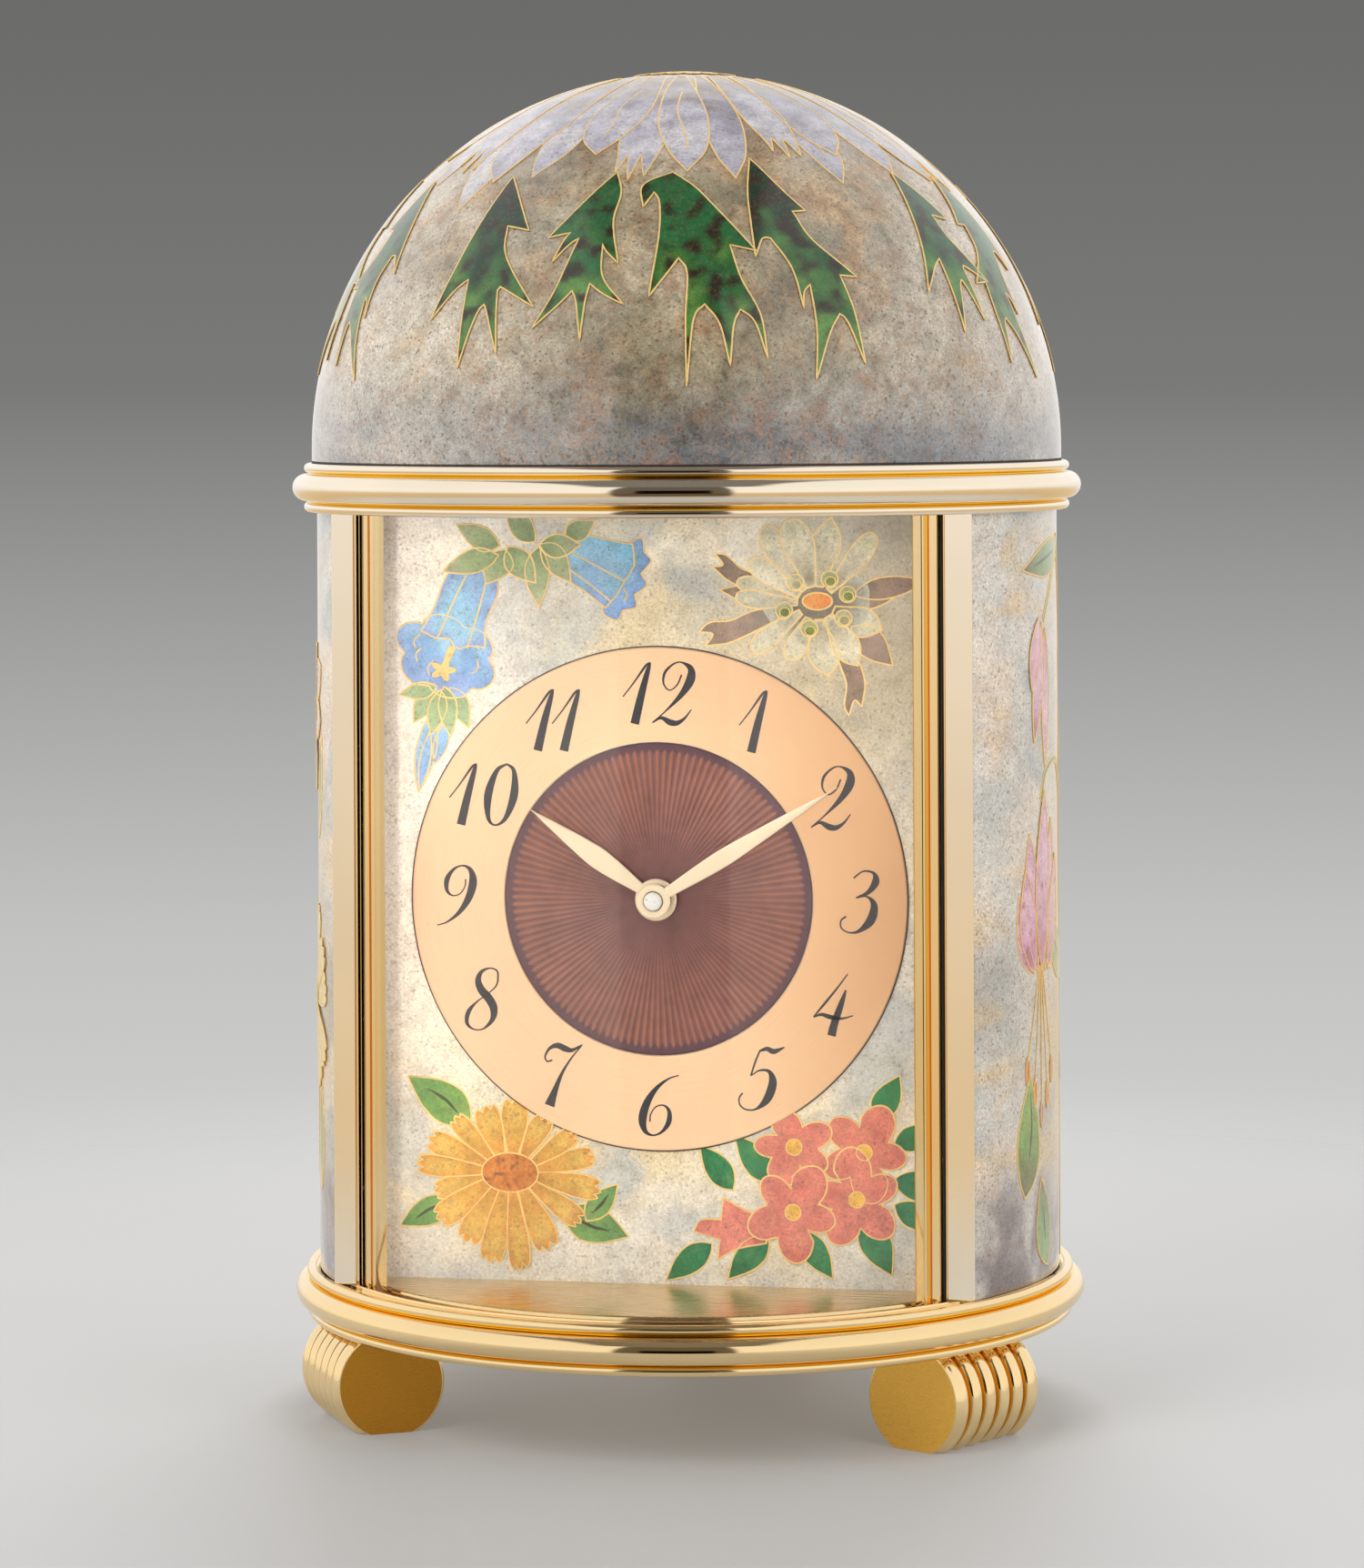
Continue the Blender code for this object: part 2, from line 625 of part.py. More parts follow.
# ---------------------------------------------------------------- barrel
def build_barrel():
    bore = circle(1.9, 16)
    wall = circle(14.1, 24)
    barrel = arbor_part('barrel', [(wheel(BARREL_PAIR), -17.6, -16.2), (wall, -16.2, -15.9)],
                        BRASS, BARREL, bore)
    drum = helper(stack('drum_wall', [(wall, -16.05, -7.4)], BRASS, BARREL, circle(13.2, 24)))
    boolean(barrel, drum, 'UNION')
    arbor_part('barrel_cover', [(wall, -7.35, -6.6)], BRASS, BARREL, bore)
    build_spring('mainspring', inner=3.2, outer=12.3, width=0.45, steps=48,
                 y_range=(-15.4, -8.0), material=STEEL, centre=BARREL)
    arbor_part('barrel_arbor', [(circle(1.4, 12), FRONT_PIVOT, 3.7), (circle(1.35, 12), 3.7, 6.0)],
               STEEL, BARREL)
    arbor_part('ratchet_wheel', [(wheel(RATCHET_PAIR), 4.0, 5.0)], STEEL, BARREL,
               circle(1.5, 16))


# ---------------------------------------------------------------- going train
# one tooth of the escape wheel: (radius, angle from the tooth's centre in radians)
ESCAPE_TOOTH = ((3.9, -0.17), (3.9, 0.02), (5.0, 0.13), (5.0, 0.20))
ESCAPE_TEETH = 15


def build_train():
    """Wheels and pinions from the centre arbor to the escape wheel."""
    leaves = pinion(BARREL_PAIR,
                    mesh_phase(BARREL_PAIR.wheel, BARREL_PAIR.pinion, TO_BARREL + 180))
    gaps = spoke_gaps(4, 4.0, 12.2, web=2.2, steps=3)
    arbor_part('centre_wheel', [
        (circle(0.8, 12), -31.0, -18.0),
        (leaves, -18.0, -15.5),
        (circle(1.0, 12), -15.5, -4.0),
        (wheel(CENTRE_PAIR), -4.0, -3.0, gaps),
        (circle(0.8, 12), -3.0, BACK_PIVOT)], BRASS, CENTRE)

    shaft = circle(0.6, 10)
    leaves = pinion(CENTRE_PAIR, mesh_phase(CENTRE_PAIR.wheel, CENTRE_PAIR.pinion, TO_THIRD))
    gaps = spoke_gaps(4, 3.2, 10.6, web=1.8, steps=3)
    arbor_part('third_wheel', [
        (shaft, FRONT_PIVOT, -5.6),
        (wheel(THIRD_PAIR), -5.6, -4.8, gaps),
        (circle(0.9, 10), -4.8, -4.5),
        (leaves, -4.5, -2.5),
        (shaft, -2.5, BACK_PIVOT)], BRASS, THIRD)

    leaves = pinion(THIRD_PAIR, mesh_phase(THIRD_PAIR.wheel, THIRD_PAIR.pinion, TO_FOURTH))
    gaps = spoke_gaps(4, 3.0, 10.7, web=1.6, steps=3)
    arbor_part('fourth_wheel', [
        (shaft, FRONT_PIVOT, -10.0),
        (wheel(FOURTH_PAIR), -10.0, -9.2, gaps),
        (shaft, -9.2, -6.2),
        (leaves, -6.2, -4.2),
        (shaft, -4.2, BACK_PIVOT)], BRASS, FOURTH)

    shaft = circle(0.5, 10)
    leaves = pinion(FOURTH_PAIR, mesh_phase(FOURTH_PAIR.wheel, FOURTH_PAIR.pinion, TO_ESCAPE))
    teeth = [around(radius, 2 * pi * k / ESCAPE_TEETH + offset)
             for k in range(ESCAPE_TEETH) for radius, offset in ESCAPE_TOOTH]
    gaps = spoke_gaps(4, 1.5, 3.2, web=0.8, steps=3)
    arbor_part('escape_wheel', [
        (shaft, FRONT_PIVOT, -14.0),
        (teeth, -14.0, -13.2, gaps),
        (shaft, -13.2, -10.6),
        (leaves, -10.6, -8.6),
        (shaft, -8.6, BACK_PIVOT)], STEEL, ESCAPE)


# ---------------------------------------------------------------- pallet fork and balance
# one half of each shape: (along, across), along from the pallet arbor
FORK_LEVER = [(0.4, 0.7), (5.6, 0.45), (6.3, 0.95), (7.6, 0.95), (7.6, 0.45), (6.6, 0.4)]
FORK_ARM = [(-0.5, 1.6), (0.6, 4.8), (2.7, 5.0), (2.7, 4.2), (0.75, 1.2)]
# (x, z) from the balance arbor
COCK_OUTLINE = [(-2.6, -2.6), (2.6, -2.6), (3.6, 9.0), (0, 10.6), (-3.6, 9.0)]


def mirrored(half, direction_deg):
    """A half outline and its mirror image, laid along a direction."""
    angle = radians(direction_deg)
    full = half + [(along, -across) for along, across in reversed(half)]
    return [(along * cos(angle) - across * sin(angle), along * sin(angle) + across * cos(angle))
            for along, across in full]


def build_pallet_and_balance():
    """The fork has a lever towards the balance and two arms over the escape wheel."""
    fork = mirrored(FORK_LEVER, TO_BALANCE) + mirrored(FORK_ARM, TO_PALLET + 180)
    shaft = circle(0.4, 8)
    arbor_part('pallet_fork', [
        (shaft, FRONT_PIVOT, -14.0),
        (fork, -14.0, -13.3),
        (shaft, -13.3, BACK_PIVOT)], STEEL, PALLET)
    gaps = spoke_gaps(3, 1.6, 6.1, web=0.9, steps=6)
    arbor_part('balance_wheel', [
        (shaft, FRONT_PIVOT, -11.0),
        (circle(7.2, 36), -11.0, -9.8, gaps),
        (shaft, -9.8, BACK_PIVOT)], BRASS, BALANCE)
    build_spring('hairspring', inner=1.1, outer=4.6, width=0.16, steps=40,
                 y_range=(-8.9, -8.4), material=BLUED, centre=BALANCE)
    back = BACK_PLATE_Y[1]
    stack('balance_cock', [(COCK_OUTLINE, back + GAP, back + 1.6)], BRASS, BALANCE)


# ---------------------------------------------------------------- motion work and setting
KNURLS = 16


def build_motion_work():
    minute_teeth, leaves = MINUTE_PAIR.wheel, MINUTE_PAIR.pinion
    minute_phase = mesh_phase(leaves, minute_teeth, TO_MINUTE)
    setting_phase = mesh_phase(minute_teeth, leaves, TO_SETTING, minute_phase)
    hour_phase = mesh_phase(HOUR_PAIR.pinion, HOUR_PAIR.wheel, TO_MINUTE + 180)
    arbor_part('cannon_pinion', [
        (circle(1.5, 16), -31.2, -23.0),
        (pinion(MINUTE_PAIR), -23.0, -21.4)], STEEL, CENTRE, circle(1.08, 12))
    arbor_part('hour_wheel', [
        (circle(2.4, 16), -28.9, -24.4),
        (wheel(HOUR_PAIR, hour_phase), -24.4, -23.6)], BRASS, CENTRE, circle(1.8, 16))
    arbor_part('minute_wheel', [
        (pinion(HOUR_PAIR), -24.7, -22.6),
        (wheel(MINUTE_PAIR, minute_phase), -22.6, -21.8),
        (circle(0.7, 10), -21.8, -19.4)], BRASS, MINUTE)
    arbor_part('setting_arbor', [
        (pinion(MINUTE_PAIR, setting_phase), -22.9, -21.5),
        (circle(0.95, 12), -21.5, 11.0)], STEEL, SETTING)
    knurled = []
    for k in range(KNURLS):
        angle = 2 * pi * k / KNURLS
        knurled += [around(5.0, angle), around(4.6, angle + pi / KNURLS)]
    arbor_part('setting_knob', [(circle(2.6, 16), 4.2, 6.0), (knurled, 6.0, 11.2)],
               GILT, SETTING, circle(1.06, 12))


# ---------------------------------------------------------------- winding motor and battery
Z_MOTOR = Z_DIAL + MOTOR[1]
BRACKET_HALF = 12.4
BRACKET_T = 1.2
BRACKET_Y = (BACK_PLATE_Y[1] + GAP, 7.3, 8.5)  # feet, front and back of the web
HOLDER_HALF = 29.5
HOLDER_H = 13
HOLDER_T = 1.5
CELL_R = 7.1
WIRE_R = 0.55
WIRE_SIDES = 5
WIRE_STEPS = 3                                 # straight pieces between two points


def build_motor():
    phase = mesh_phase(RATCHET_PAIR.wheel, RATCHET_PAIR.pinion, TO_MOTOR)
    arbor_part('motor_pinion', [
        (pinion(RATCHET_PAIR, phase), 3.5, 5.5),
        (circle(0.7, 10), 5.5, 8.3)], STEEL, MOTOR)
    stack('winding_motor', [
        (circle(3.0, 16), 7.0, 8.6),
        (circle(7.0, 24), 8.6, 26.0),
        (circle(2.2, 12), 26.0, 27.0)], STEEL, MOTOR, circle(0.85, 12))


def build_motor_bracket():
    """A channel open towards the back plate, with a round hole for the motor's nose."""
    x0, x1 = MOTOR[0] - BRACKET_HALF, MOTOR[0] + BRACKET_HALF
    feet, web, back = BRACKET_Y
    outline = [(x0, feet), (x0 + BRACKET_T, feet), (x0 + BRACKET_T, web), (x1 - BRACKET_T, web),
               (x1 - BRACKET_T, feet), (x1, feet), (x1, back), (x0, back)]
    bracket = column('motor_bracket', outline, (Z_MOTOR - 5.0, Z_MOTOR + 4.2), STEEL)
    hole = helper(stack('cut_bracket', [(circle(3.2, 16), 6.5, 9.5)], STEEL, MOTOR))
    boolean(bracket, hole, 'DIFFERENCE')


def build_battery():
    """A cell lying along X in a tray with upturned ends."""
    bottom = DIAL_Z[0]
    floor, top = bottom + HOLDER_T, bottom + HOLDER_H
    outer, inner = HOLDER_HALF, HOLDER_HALF - HOLDER_T
    tray = [(-outer, bottom), (outer, bottom), (outer, top), (inner, top),
            (inner, floor), (-inner, floor), (-inner, top), (-outer, top)]
    stack('battery_holder', [(tray, 15.0, 31.0)], BLACK)
    cell_axis = Vector((0, 23.0, PANEL_Z[0] + HOLDER_T + 0.1 + CELL_R))
    turned('battery', [(CELL_R, -25.5, 24.0), (2.7, 24.0, 25.2)], JACKET, 20, cell_axis,
           (Y_AXIS, Z_AXIS, X_AXIS))


def smooth_path(points):
    """Points on a Catmull-Rom curve through the given points."""
    path = []
    for i in range(len(points) - 1):
        before, start = points[max(i - 1, 0)], points[i]
        end, after = points[i + 1], points[min(i + 2, len(points) - 1)]
        for step in range(WIRE_STEPS):
            share = step / WIRE_STEPS
            path.append(0.5 * (2 * start + (end - before) * share
                               + (2 * before - 5 * start + 4 * end - after) * share * share
                               + (3 * start - before - 3 * end + after) * share ** 3))
    path.append(points[-1])
    return path


def build_wire(name, points, material):
    path = smooth_path([Vector(point) for point in points])
    up = Y_AXIS
    sections = []
    for i, point in enumerate(path):
        # carrying up along the path keeps the sections from twisting
        along = (path[min(i + 1, len(path) - 1)] - path[max(i - 1, 0)]).normalized()
        across = along.cross(up).normalized()
        up = across.cross(along).normalized()
        sections.append([point + across * x + up * y for x, y in circle(WIRE_R, WIRE_SIDES)])
    loft(name, sections, material)


def build_wires():
    """Wires from the -X end of the battery holder to the back of the motor."""
    positive_x, negative_x = MOTOR[0] - 3.8, MOTOR[0] + 4.2
    build_wire('wire_positive', [
        (-30.3, 20.0, 30.0), (-31.5, 22.0, 36.0), (-30.0, 29.0, 48.0),
        (positive_x, 29.5, Z_MOTOR - 1.5), (positive_x, 26.4, Z_MOTOR)], RED)
    build_wire('wire_negative', [
        (-30.3, 26.0, 30.0), (-31.0, 30.0, 36.0), (-26.0, 32.5, 48.0),
        (negative_x, 31.5, Z_MOTOR - 1.5), (negative_x, 26.4, Z_MOTOR)], BLACK)


# ---------------------------------------------------------------- assembly
base_ring = build_base_ring()
upper_ring = build_upper_ring()
build_dome()
build_side_panels()
for side_name, side_sign in SIDES:
    build_post('front_post_' + side_name, side_sign * POST_PHI)
    build_post('rear_post_' + side_name, side_sign * REAR_POST_PHI)
build_rear_door(base_ring, upper_ring)
build_glass_leaf()
build_foot('foot_front_right', 60)
build_foot('foot_front_left', -60)
build_foot('foot_rear', 180)
build_dial()
build_hands()
build_plates()
build_pillars()
build_barrel()
build_train()
build_pallet_and_balance()
build_motion_work()
build_motor()
build_motor_bracket()
build_battery()
build_wires()
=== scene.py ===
import math
import random

import bmesh
import bpy
import numpy as np
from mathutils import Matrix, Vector, noise
from mathutils.geometry import delaunay_2d_cdt, tessellate_polygon


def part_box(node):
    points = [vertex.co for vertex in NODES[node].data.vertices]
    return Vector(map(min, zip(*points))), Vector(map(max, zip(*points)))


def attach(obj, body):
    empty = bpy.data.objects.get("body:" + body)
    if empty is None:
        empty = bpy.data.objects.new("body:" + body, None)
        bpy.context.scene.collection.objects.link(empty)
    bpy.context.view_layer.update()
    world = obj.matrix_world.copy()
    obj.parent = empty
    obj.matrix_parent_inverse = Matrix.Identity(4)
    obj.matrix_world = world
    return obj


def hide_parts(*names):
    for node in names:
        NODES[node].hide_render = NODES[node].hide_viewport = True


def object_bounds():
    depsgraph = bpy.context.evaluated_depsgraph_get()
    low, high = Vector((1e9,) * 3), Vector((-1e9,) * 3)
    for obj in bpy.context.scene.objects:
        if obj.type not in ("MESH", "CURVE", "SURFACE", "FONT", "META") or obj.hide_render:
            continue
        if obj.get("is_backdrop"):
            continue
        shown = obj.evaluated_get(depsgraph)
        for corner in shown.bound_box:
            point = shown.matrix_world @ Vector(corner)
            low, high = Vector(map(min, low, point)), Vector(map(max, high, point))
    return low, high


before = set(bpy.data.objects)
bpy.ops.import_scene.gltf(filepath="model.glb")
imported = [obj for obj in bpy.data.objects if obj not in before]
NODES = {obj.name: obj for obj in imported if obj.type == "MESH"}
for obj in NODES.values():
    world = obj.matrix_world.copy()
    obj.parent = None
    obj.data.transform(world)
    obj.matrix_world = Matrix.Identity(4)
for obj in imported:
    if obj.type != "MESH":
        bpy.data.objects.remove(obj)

MM = 0.001
CAD_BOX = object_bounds()


def bx(n):
    lo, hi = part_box(n)
    return lo / MM, hi / MM


# ------------------------------------------------------------------ sizes read from the frame, in millimetres
Z_FLOOR = bx("base_ring")[1].z
Z_BASE0 = bx("base_ring")[0].z
Z_CEIL = bx("upper_ring")[0].z
Z_UP1 = bx("upper_ring")[1].z
R_MAX = bx("base_ring")[1].x
Z_BASE = (Z_FLOOR + Z_BASE0) / 2
Z_UPPER = (Z_CEIL + Z_UP1) / 2
H_M = (Z_FLOOR - Z_BASE0) / 2
R_DOME = bx("dome")[1].x
Z_TOP = bx("dome")[1].z
Z_DOME = Z_TOP - R_DOME
R_BODY = max(math.hypot(v.co.x, v.co.y) for v in NODES["side_panel_right"].data.vertices) / MM
Z_DIAL = (bx("chapter_ring")[0].z + bx("chapter_ring")[1].z) / 2
Y_DIAL = bx("dial_plate")[0].y
DIAL_HALF = bx("dial_plate")[1].x
R_RING1 = bx("chapter_ring")[1].x
ZP0, ZP1 = bx("side_panel_right")[0].z, bx("side_panel_right")[1].z


def phis(node):
    """Lowest and highest angle of a node round the case, from the dial's normal, positive towards +X, in degrees."""
    a = [math.degrees(math.atan2(v.co.x, -v.co.y)) % 360 for v in NODES[node].data.vertices]
    if max(a) - min(a) > 300:
        a = [x - 360 if x > 180 else x for x in a]
    return min(a), max(a)


# ------------------------------------------------------------------ colour and node helpers
def lin(r, g, b):
    f = lambda c: (c / 255 / 12.92) if c <= 10 else ((c / 255 + 0.055) / 1.055) ** 2.4
    return (f(r), f(g), f(b))


def lin4(r, g, b, a=1.0):
    return (*lin(r, g, b), a)


def node(nt, kind, ins=None, **props):
    n = nt.nodes.new(kind)
    for k, v in props.items():
        setattr(n, k, v)
    for k, v in (ins or {}).items():
        s = n.inputs[k]
        if isinstance(v, bpy.types.NodeSocket):
            nt.links.new(v, s)
        else:
            s.default_value = v
    return n


def math_(nt, op, a, b=None, c=None, clamp=False):
    n = nt.nodes.new("ShaderNodeMath")
    n.operation = op
    n.use_clamp = clamp
    for i, v in enumerate((a, b, c)):
        if v is None:
            continue
        if isinstance(v, bpy.types.NodeSocket):
            nt.links.new(v, n.inputs[i])
        else:
            n.inputs[i].default_value = v
    return n.outputs[0]


def mix(nt, fac, a, b, blend="MIX"):
    n = nt.nodes.new("ShaderNodeMix")
    n.data_type = "RGBA"
    n.blend_type = blend
    for i, v in ((0, fac), (6, a), (7, b)):
        if isinstance(v, bpy.types.NodeSocket):
            nt.links.new(v, n.inputs[i])
        else:
            n.inputs[i].default_value = v if i == 0 or len(v) == 4 else (*v, 1)
    return n.outputs[2]


def ramp(nt, fac, stops, interp="LINEAR"):
    n = nt.nodes.new("ShaderNodeValToRGB")
    n.color_ramp.interpolation = interp
    e = n.color_ramp.elements
    while len(e) < len(stops):
        e.new(0.5)
    for i, (p, c) in enumerate(stops):
        e[i].position = p
        e[i].color = c if len(c) == 4 else (*c, 1)
    nt.links.new(fac, n.inputs[0])
    return n.outputs[0]


def grey(v):
    return (v, v, v, 1)


def noise_tex(nt, vec, scale, detail=2.0, rough=0.5, distortion=0.0):
    return node(nt, "ShaderNodeTexNoise", {"Vector": vec, "Scale": scale, "Detail": detail, "Roughness": rough, "Distortion": distortion}).outputs["Fac"]


def coords(nt, scale=(1, 1, 1), offset=(0, 0, 0)):
    g = nt.nodes.new("ShaderNodeTexCoord")
    m = node(nt, "ShaderNodeMapping", {"Vector": g.outputs["Object"], "Scale": scale, "Location": offset})
    return m.outputs[0]


def start(name):
    m = bpy.data.materials.new(name)
    m.use_nodes = True
    nt = m.node_tree
    return m, nt, nt.nodes["Principled BSDF"]


def metal(name, base, rough, var=0.04, brush=None, brush_amount=0.25, bump=0.02, scale=900.0, tarnish=None, share=1.0):
    """A metal with slight colour and roughness variation. brush is a direction's scale vector: small along the stroke."""
    m, nt, b = start(name)
    v = coords(nt, brush or (1, 1, 1))
    fine = noise_tex(nt, v, scale, 3.0, 0.6)
    wide = noise_tex(nt, coords(nt), 38.0, 3.0, 0.55)
    dark = tuple(c * (1 - var) for c in base)
    light = tuple(min(c * (1 + var), 1.0) for c in base)
    col = ramp(nt, wide, [(0.3, dark), (0.7, light)])
    if brush:
        col = mix(nt, math_(nt, "MULTIPLY", fine, brush_amount), col, tuple(c * 0.62 for c in base))
    if tarnish:
        spots = noise_tex(nt, coords(nt), 190.0, 4.0, 0.6)
        col = mix(nt, math_(nt, "MULTIPLY", ramp(nt, spots, [(0.62, grey(0)), (0.8, grey(1))]), 0.35), col, tarnish)
    nt.links.new(col, b.inputs["Base Color"])
    b.inputs["Metallic"].default_value = share
    r = math_(nt, "ADD", math_(nt, "MULTIPLY", fine, rough * (0.9 if brush else 0.35)), rough * (0.6 if brush else 0.8))
    nt.links.new(r, b.inputs["Roughness"])
    bp = node(nt, "ShaderNodeBump", {"Height": fine, "Strength": bump, "Distance": 0.0002})
    nt.links.new(bp.outputs[0], b.inputs["Normal"])
    return m


# Lit and shaded copies of one polished gilt: GOLD_C is paled as a painted highlight, and the deeper copy on the base,
# feet and glass stiles is painted as their darker reflections.
GOLD_C = (0.94, 0.83, 0.66)
M_GOLD = metal("polished_gold", GOLD_C, 0.07, 0.03, bump=0.004)
M_GOLD_IN = metal("polished_gold_inner", (0.90, 0.62, 0.27), 0.12, 0.04, bump=0.01)
M_GOLD_SHADED = metal("polished_gold_base_painted_shade", (0.94, 0.71, 0.38), 0.07, 0.03, bump=0.004)
# painted shade: a deeper amber copy of the gold for the recessed channel of each glass stile
M_CHANNEL_PAINTED_SHADE = metal("polished_gold_channel_painted_shade", (0.90, 0.48, 0.07), 0.10, 0.04, bump=0.004)
# painted shade: the deep amber of the moulding grooves stands in for their shade and the gold's reflections of itself
M_GROOVE_PAINTED_SHADE = metal("polished_gold_groove_painted_shade", (0.95, 0.64, 0.10), 0.10, 0.04, bump=0.004)
M_SATIN = metal("satin_gold_floor", (0.88, 0.66, 0.36), 0.26, 0.06, brush=(0.03, 1, 1), brush_amount=0.30, bump=0.12, scale=2600)
# the end faces of the right and rear feet take M_FACE; the left front foot's face takes a darker copy, painted shade
M_FACE = metal("brushed_gold_face", (0.97, 0.55, 0.095), 0.28, 0.04, brush=(1, 1, 14.0), brush_amount=0.07, bump=0.03, scale=380, share=0.75)
M_FACE_LEFT_PAINTED_SHADE = metal("brushed_gold_face_left_painted_shade", (0.52, 0.235, 0.018), 0.28, 0.04, brush=(1, 1, 14.0), brush_amount=0.07, bump=0.03, scale=380, share=0.75)
# painted shade: a dark amber gold for the floors of the reed grooves on the feet
M_REED_PAINTED_SHADE = metal("reed_groove_painted_shade", (0.70, 0.36, 0.05), 0.16, 0.05, bump=0.01)
M_WIRE = metal("gold_wire", (0.90, 0.62, 0.24), 0.30, 0.06, bump=0.05, share=0.35)
M_HAND = metal("hand_gold", (0.93, 0.76, 0.54), 0.34, 0.03, brush=(1, 1, 1), brush_amount=0.10, bump=0.04, scale=1800, share=0.45)
M_PIN = metal("pin_steel", (0.84, 0.80, 0.76), 0.30, 0.03, bump=0.02, share=0.35)
M_STEEL = metal("bright_steel", (0.72, 0.72, 0.74), 0.18, 0.04, bump=0.02)
M_BRASS = metal("movement_brass", (0.80, 0.60, 0.28), 0.24, 0.07, brush=(1, 1, 0.06), brush_amount=0.22, bump=0.10, scale=2200, tarnish=(0.42, 0.27, 0.10, 1))
M_BRASS_W = metal("wheel_brass", (0.84, 0.64, 0.30), 0.20, 0.05, brush=(1, 0.2, 1), brush_amount=0.16, bump=0.06, scale=2600)
M_MSTEEL = metal("movement_steel", (0.52, 0.53, 0.55), 0.26, 0.06, brush=(1, 0.1, 1), brush_amount=0.25, bump=0.08, scale=2400)
M_BLUED = metal("blued_steel", (0.06, 0.10, 0.36), 0.20, 0.15, bump=0.02)


def plastic(name, base, rough, grain=1500.0, spread=0.15):
    m, nt, b = start(name)
    v = coords(nt)
    fine = noise_tex(nt, v, grain, 3.0, 0.6)
    col = ramp(nt, noise_tex(nt, v, 60.0, 3.0), [(0.3, tuple(c * (1 - spread) for c in base)), (0.7, tuple(min(1, c * (1 + spread)) for c in base))])
    nt.links.new(col, b.inputs["Base Color"])
    nt.links.new(math_(nt, "ADD", math_(nt, "MULTIPLY", fine, 0.15), rough - 0.07), b.inputs["Roughness"])
    nt.links.new(node(nt, "ShaderNodeBump", {"Height": fine, "Strength": 0.15, "Distance": 0.0002}).outputs[0], b.inputs["Normal"])
    return m


M_BLACK = plastic("black_plastic", (0.02, 0.02, 0.022), 0.45)
M_CELL = plastic("cell_jacket", (0.05, 0.16, 0.26), 0.28)
M_REDW = plastic("red_insulation", (0.45, 0.025, 0.02), 0.4)
M_TRACK_PAINTED_SHADE = plastic("track_painted_shade", (0.20, 0.03, 0.015), 0.5)
M_DARK = plastic("dark_recess", (0.035, 0.02, 0.015), 0.6)


# ------------------------------------------------------------------ enamel
def enamel_base(nt, b, col, speck=1.0, warm=1.0):
    """Adds the grain of ground glass enamel to a colour and finishes the surface as polished glass over it."""
    v = coords(nt)
    vo = node(nt, "ShaderNodeTexVoronoi", {"Vector": v, "Scale": 4300.0, "Randomness": 1.0})
    s1 = node(nt, "ShaderNodeSeparateColor", {"Color": vo.outputs["Color"]})
    col = mix(nt, 0.60 * speck, col, ramp(nt, s1.outputs[0], [(0.0, (0.50, 0.47, 0.46, 1)), (0.10, (0.72, 0.70, 0.68, 1)), (0.5, grey(1.0)), (0.9, (1.20, 1.20, 1.18, 1)), (1.0, (1.40, 1.40, 1.38, 1))]), "MULTIPLY")
    vo2 = node(nt, "ShaderNodeTexVoronoi", {"Vector": v, "Scale": 2700.0, "Randomness": 1.0})
    s2 = node(nt, "ShaderNodeSeparateColor", {"Color": vo2.outputs["Color"]})
    wide = noise_tex(nt, v, 75.0, 2.0, 0.5)
    lim = math_(nt, "MULTIPLY", ramp(nt, s2.outputs[1], [(0.70, grey(0)), (0.92, grey(1))]), ramp(nt, wide, [(0.36, grey(0.25)), (0.62, grey(1))]))
    col = mix(nt, math_(nt, "MULTIPLY", lim, 0.55 * speck * warm), col, lin4(176, 132, 96))
    dk = ramp(nt, s2.outputs[2], [(0.93, grey(0)), (0.97, grey(1))])
    col = mix(nt, math_(nt, "MULTIPLY", dk, 0.50 * speck), col, lin4(84, 62, 58))
    fine = noise_tex(nt, v, 1700.0, 2.0, 0.6)
    col = mix(nt, 0.36 * speck, col, ramp(nt, fine, [(0.34, (0.74, 0.70, 0.68, 1)), (0.52, grey(1.0)), (0.68, (1.18, 1.17, 1.12, 1))]), "MULTIPLY")
    nt.links.new(col, b.inputs["Base Color"])
    b.inputs["Roughness"].default_value = 0.32
    b.inputs["Specular IOR Level"].default_value = 0.2
    b.inputs["IOR"].default_value = 1.5
    b.inputs["Coat Weight"].default_value = 1.0
    b.inputs["Coat Roughness"].default_value = 0.04
    b.inputs["Coat IOR"].default_value = 1.5
    wav = noise_tex(nt, v, 120.0, 2.0, 0.5)
    bp = node(nt, "ShaderNodeBump", {"Height": wav, "Strength": 0.06, "Distance": 0.0006})
    nt.links.new(bp.outputs[0], b.inputs["Coat Normal"])


def cloud(nt, scale, offset, detail=3.0, rough=0.55, stretch=(1, 1, 1)):
    return noise_tex(nt, coords(nt, stretch, offset), scale, detail, rough, 0.4)


def band(nt, axis_value, stops):
    return ramp(nt, axis_value, [(p, grey(v)) for p, v in stops])


def z_norm(nt, z0, z1):
    g = nt.nodes.new("ShaderNodeTexCoord")
    s = node(nt, "ShaderNodeSeparateXYZ", {"Vector": g.outputs["Object"]})
    return node(nt, "ShaderNodeMapRange", {"Value": s.outputs["Z"], "From Min": z0 * MM, "From Max": z1 * MM}).outputs[0], s


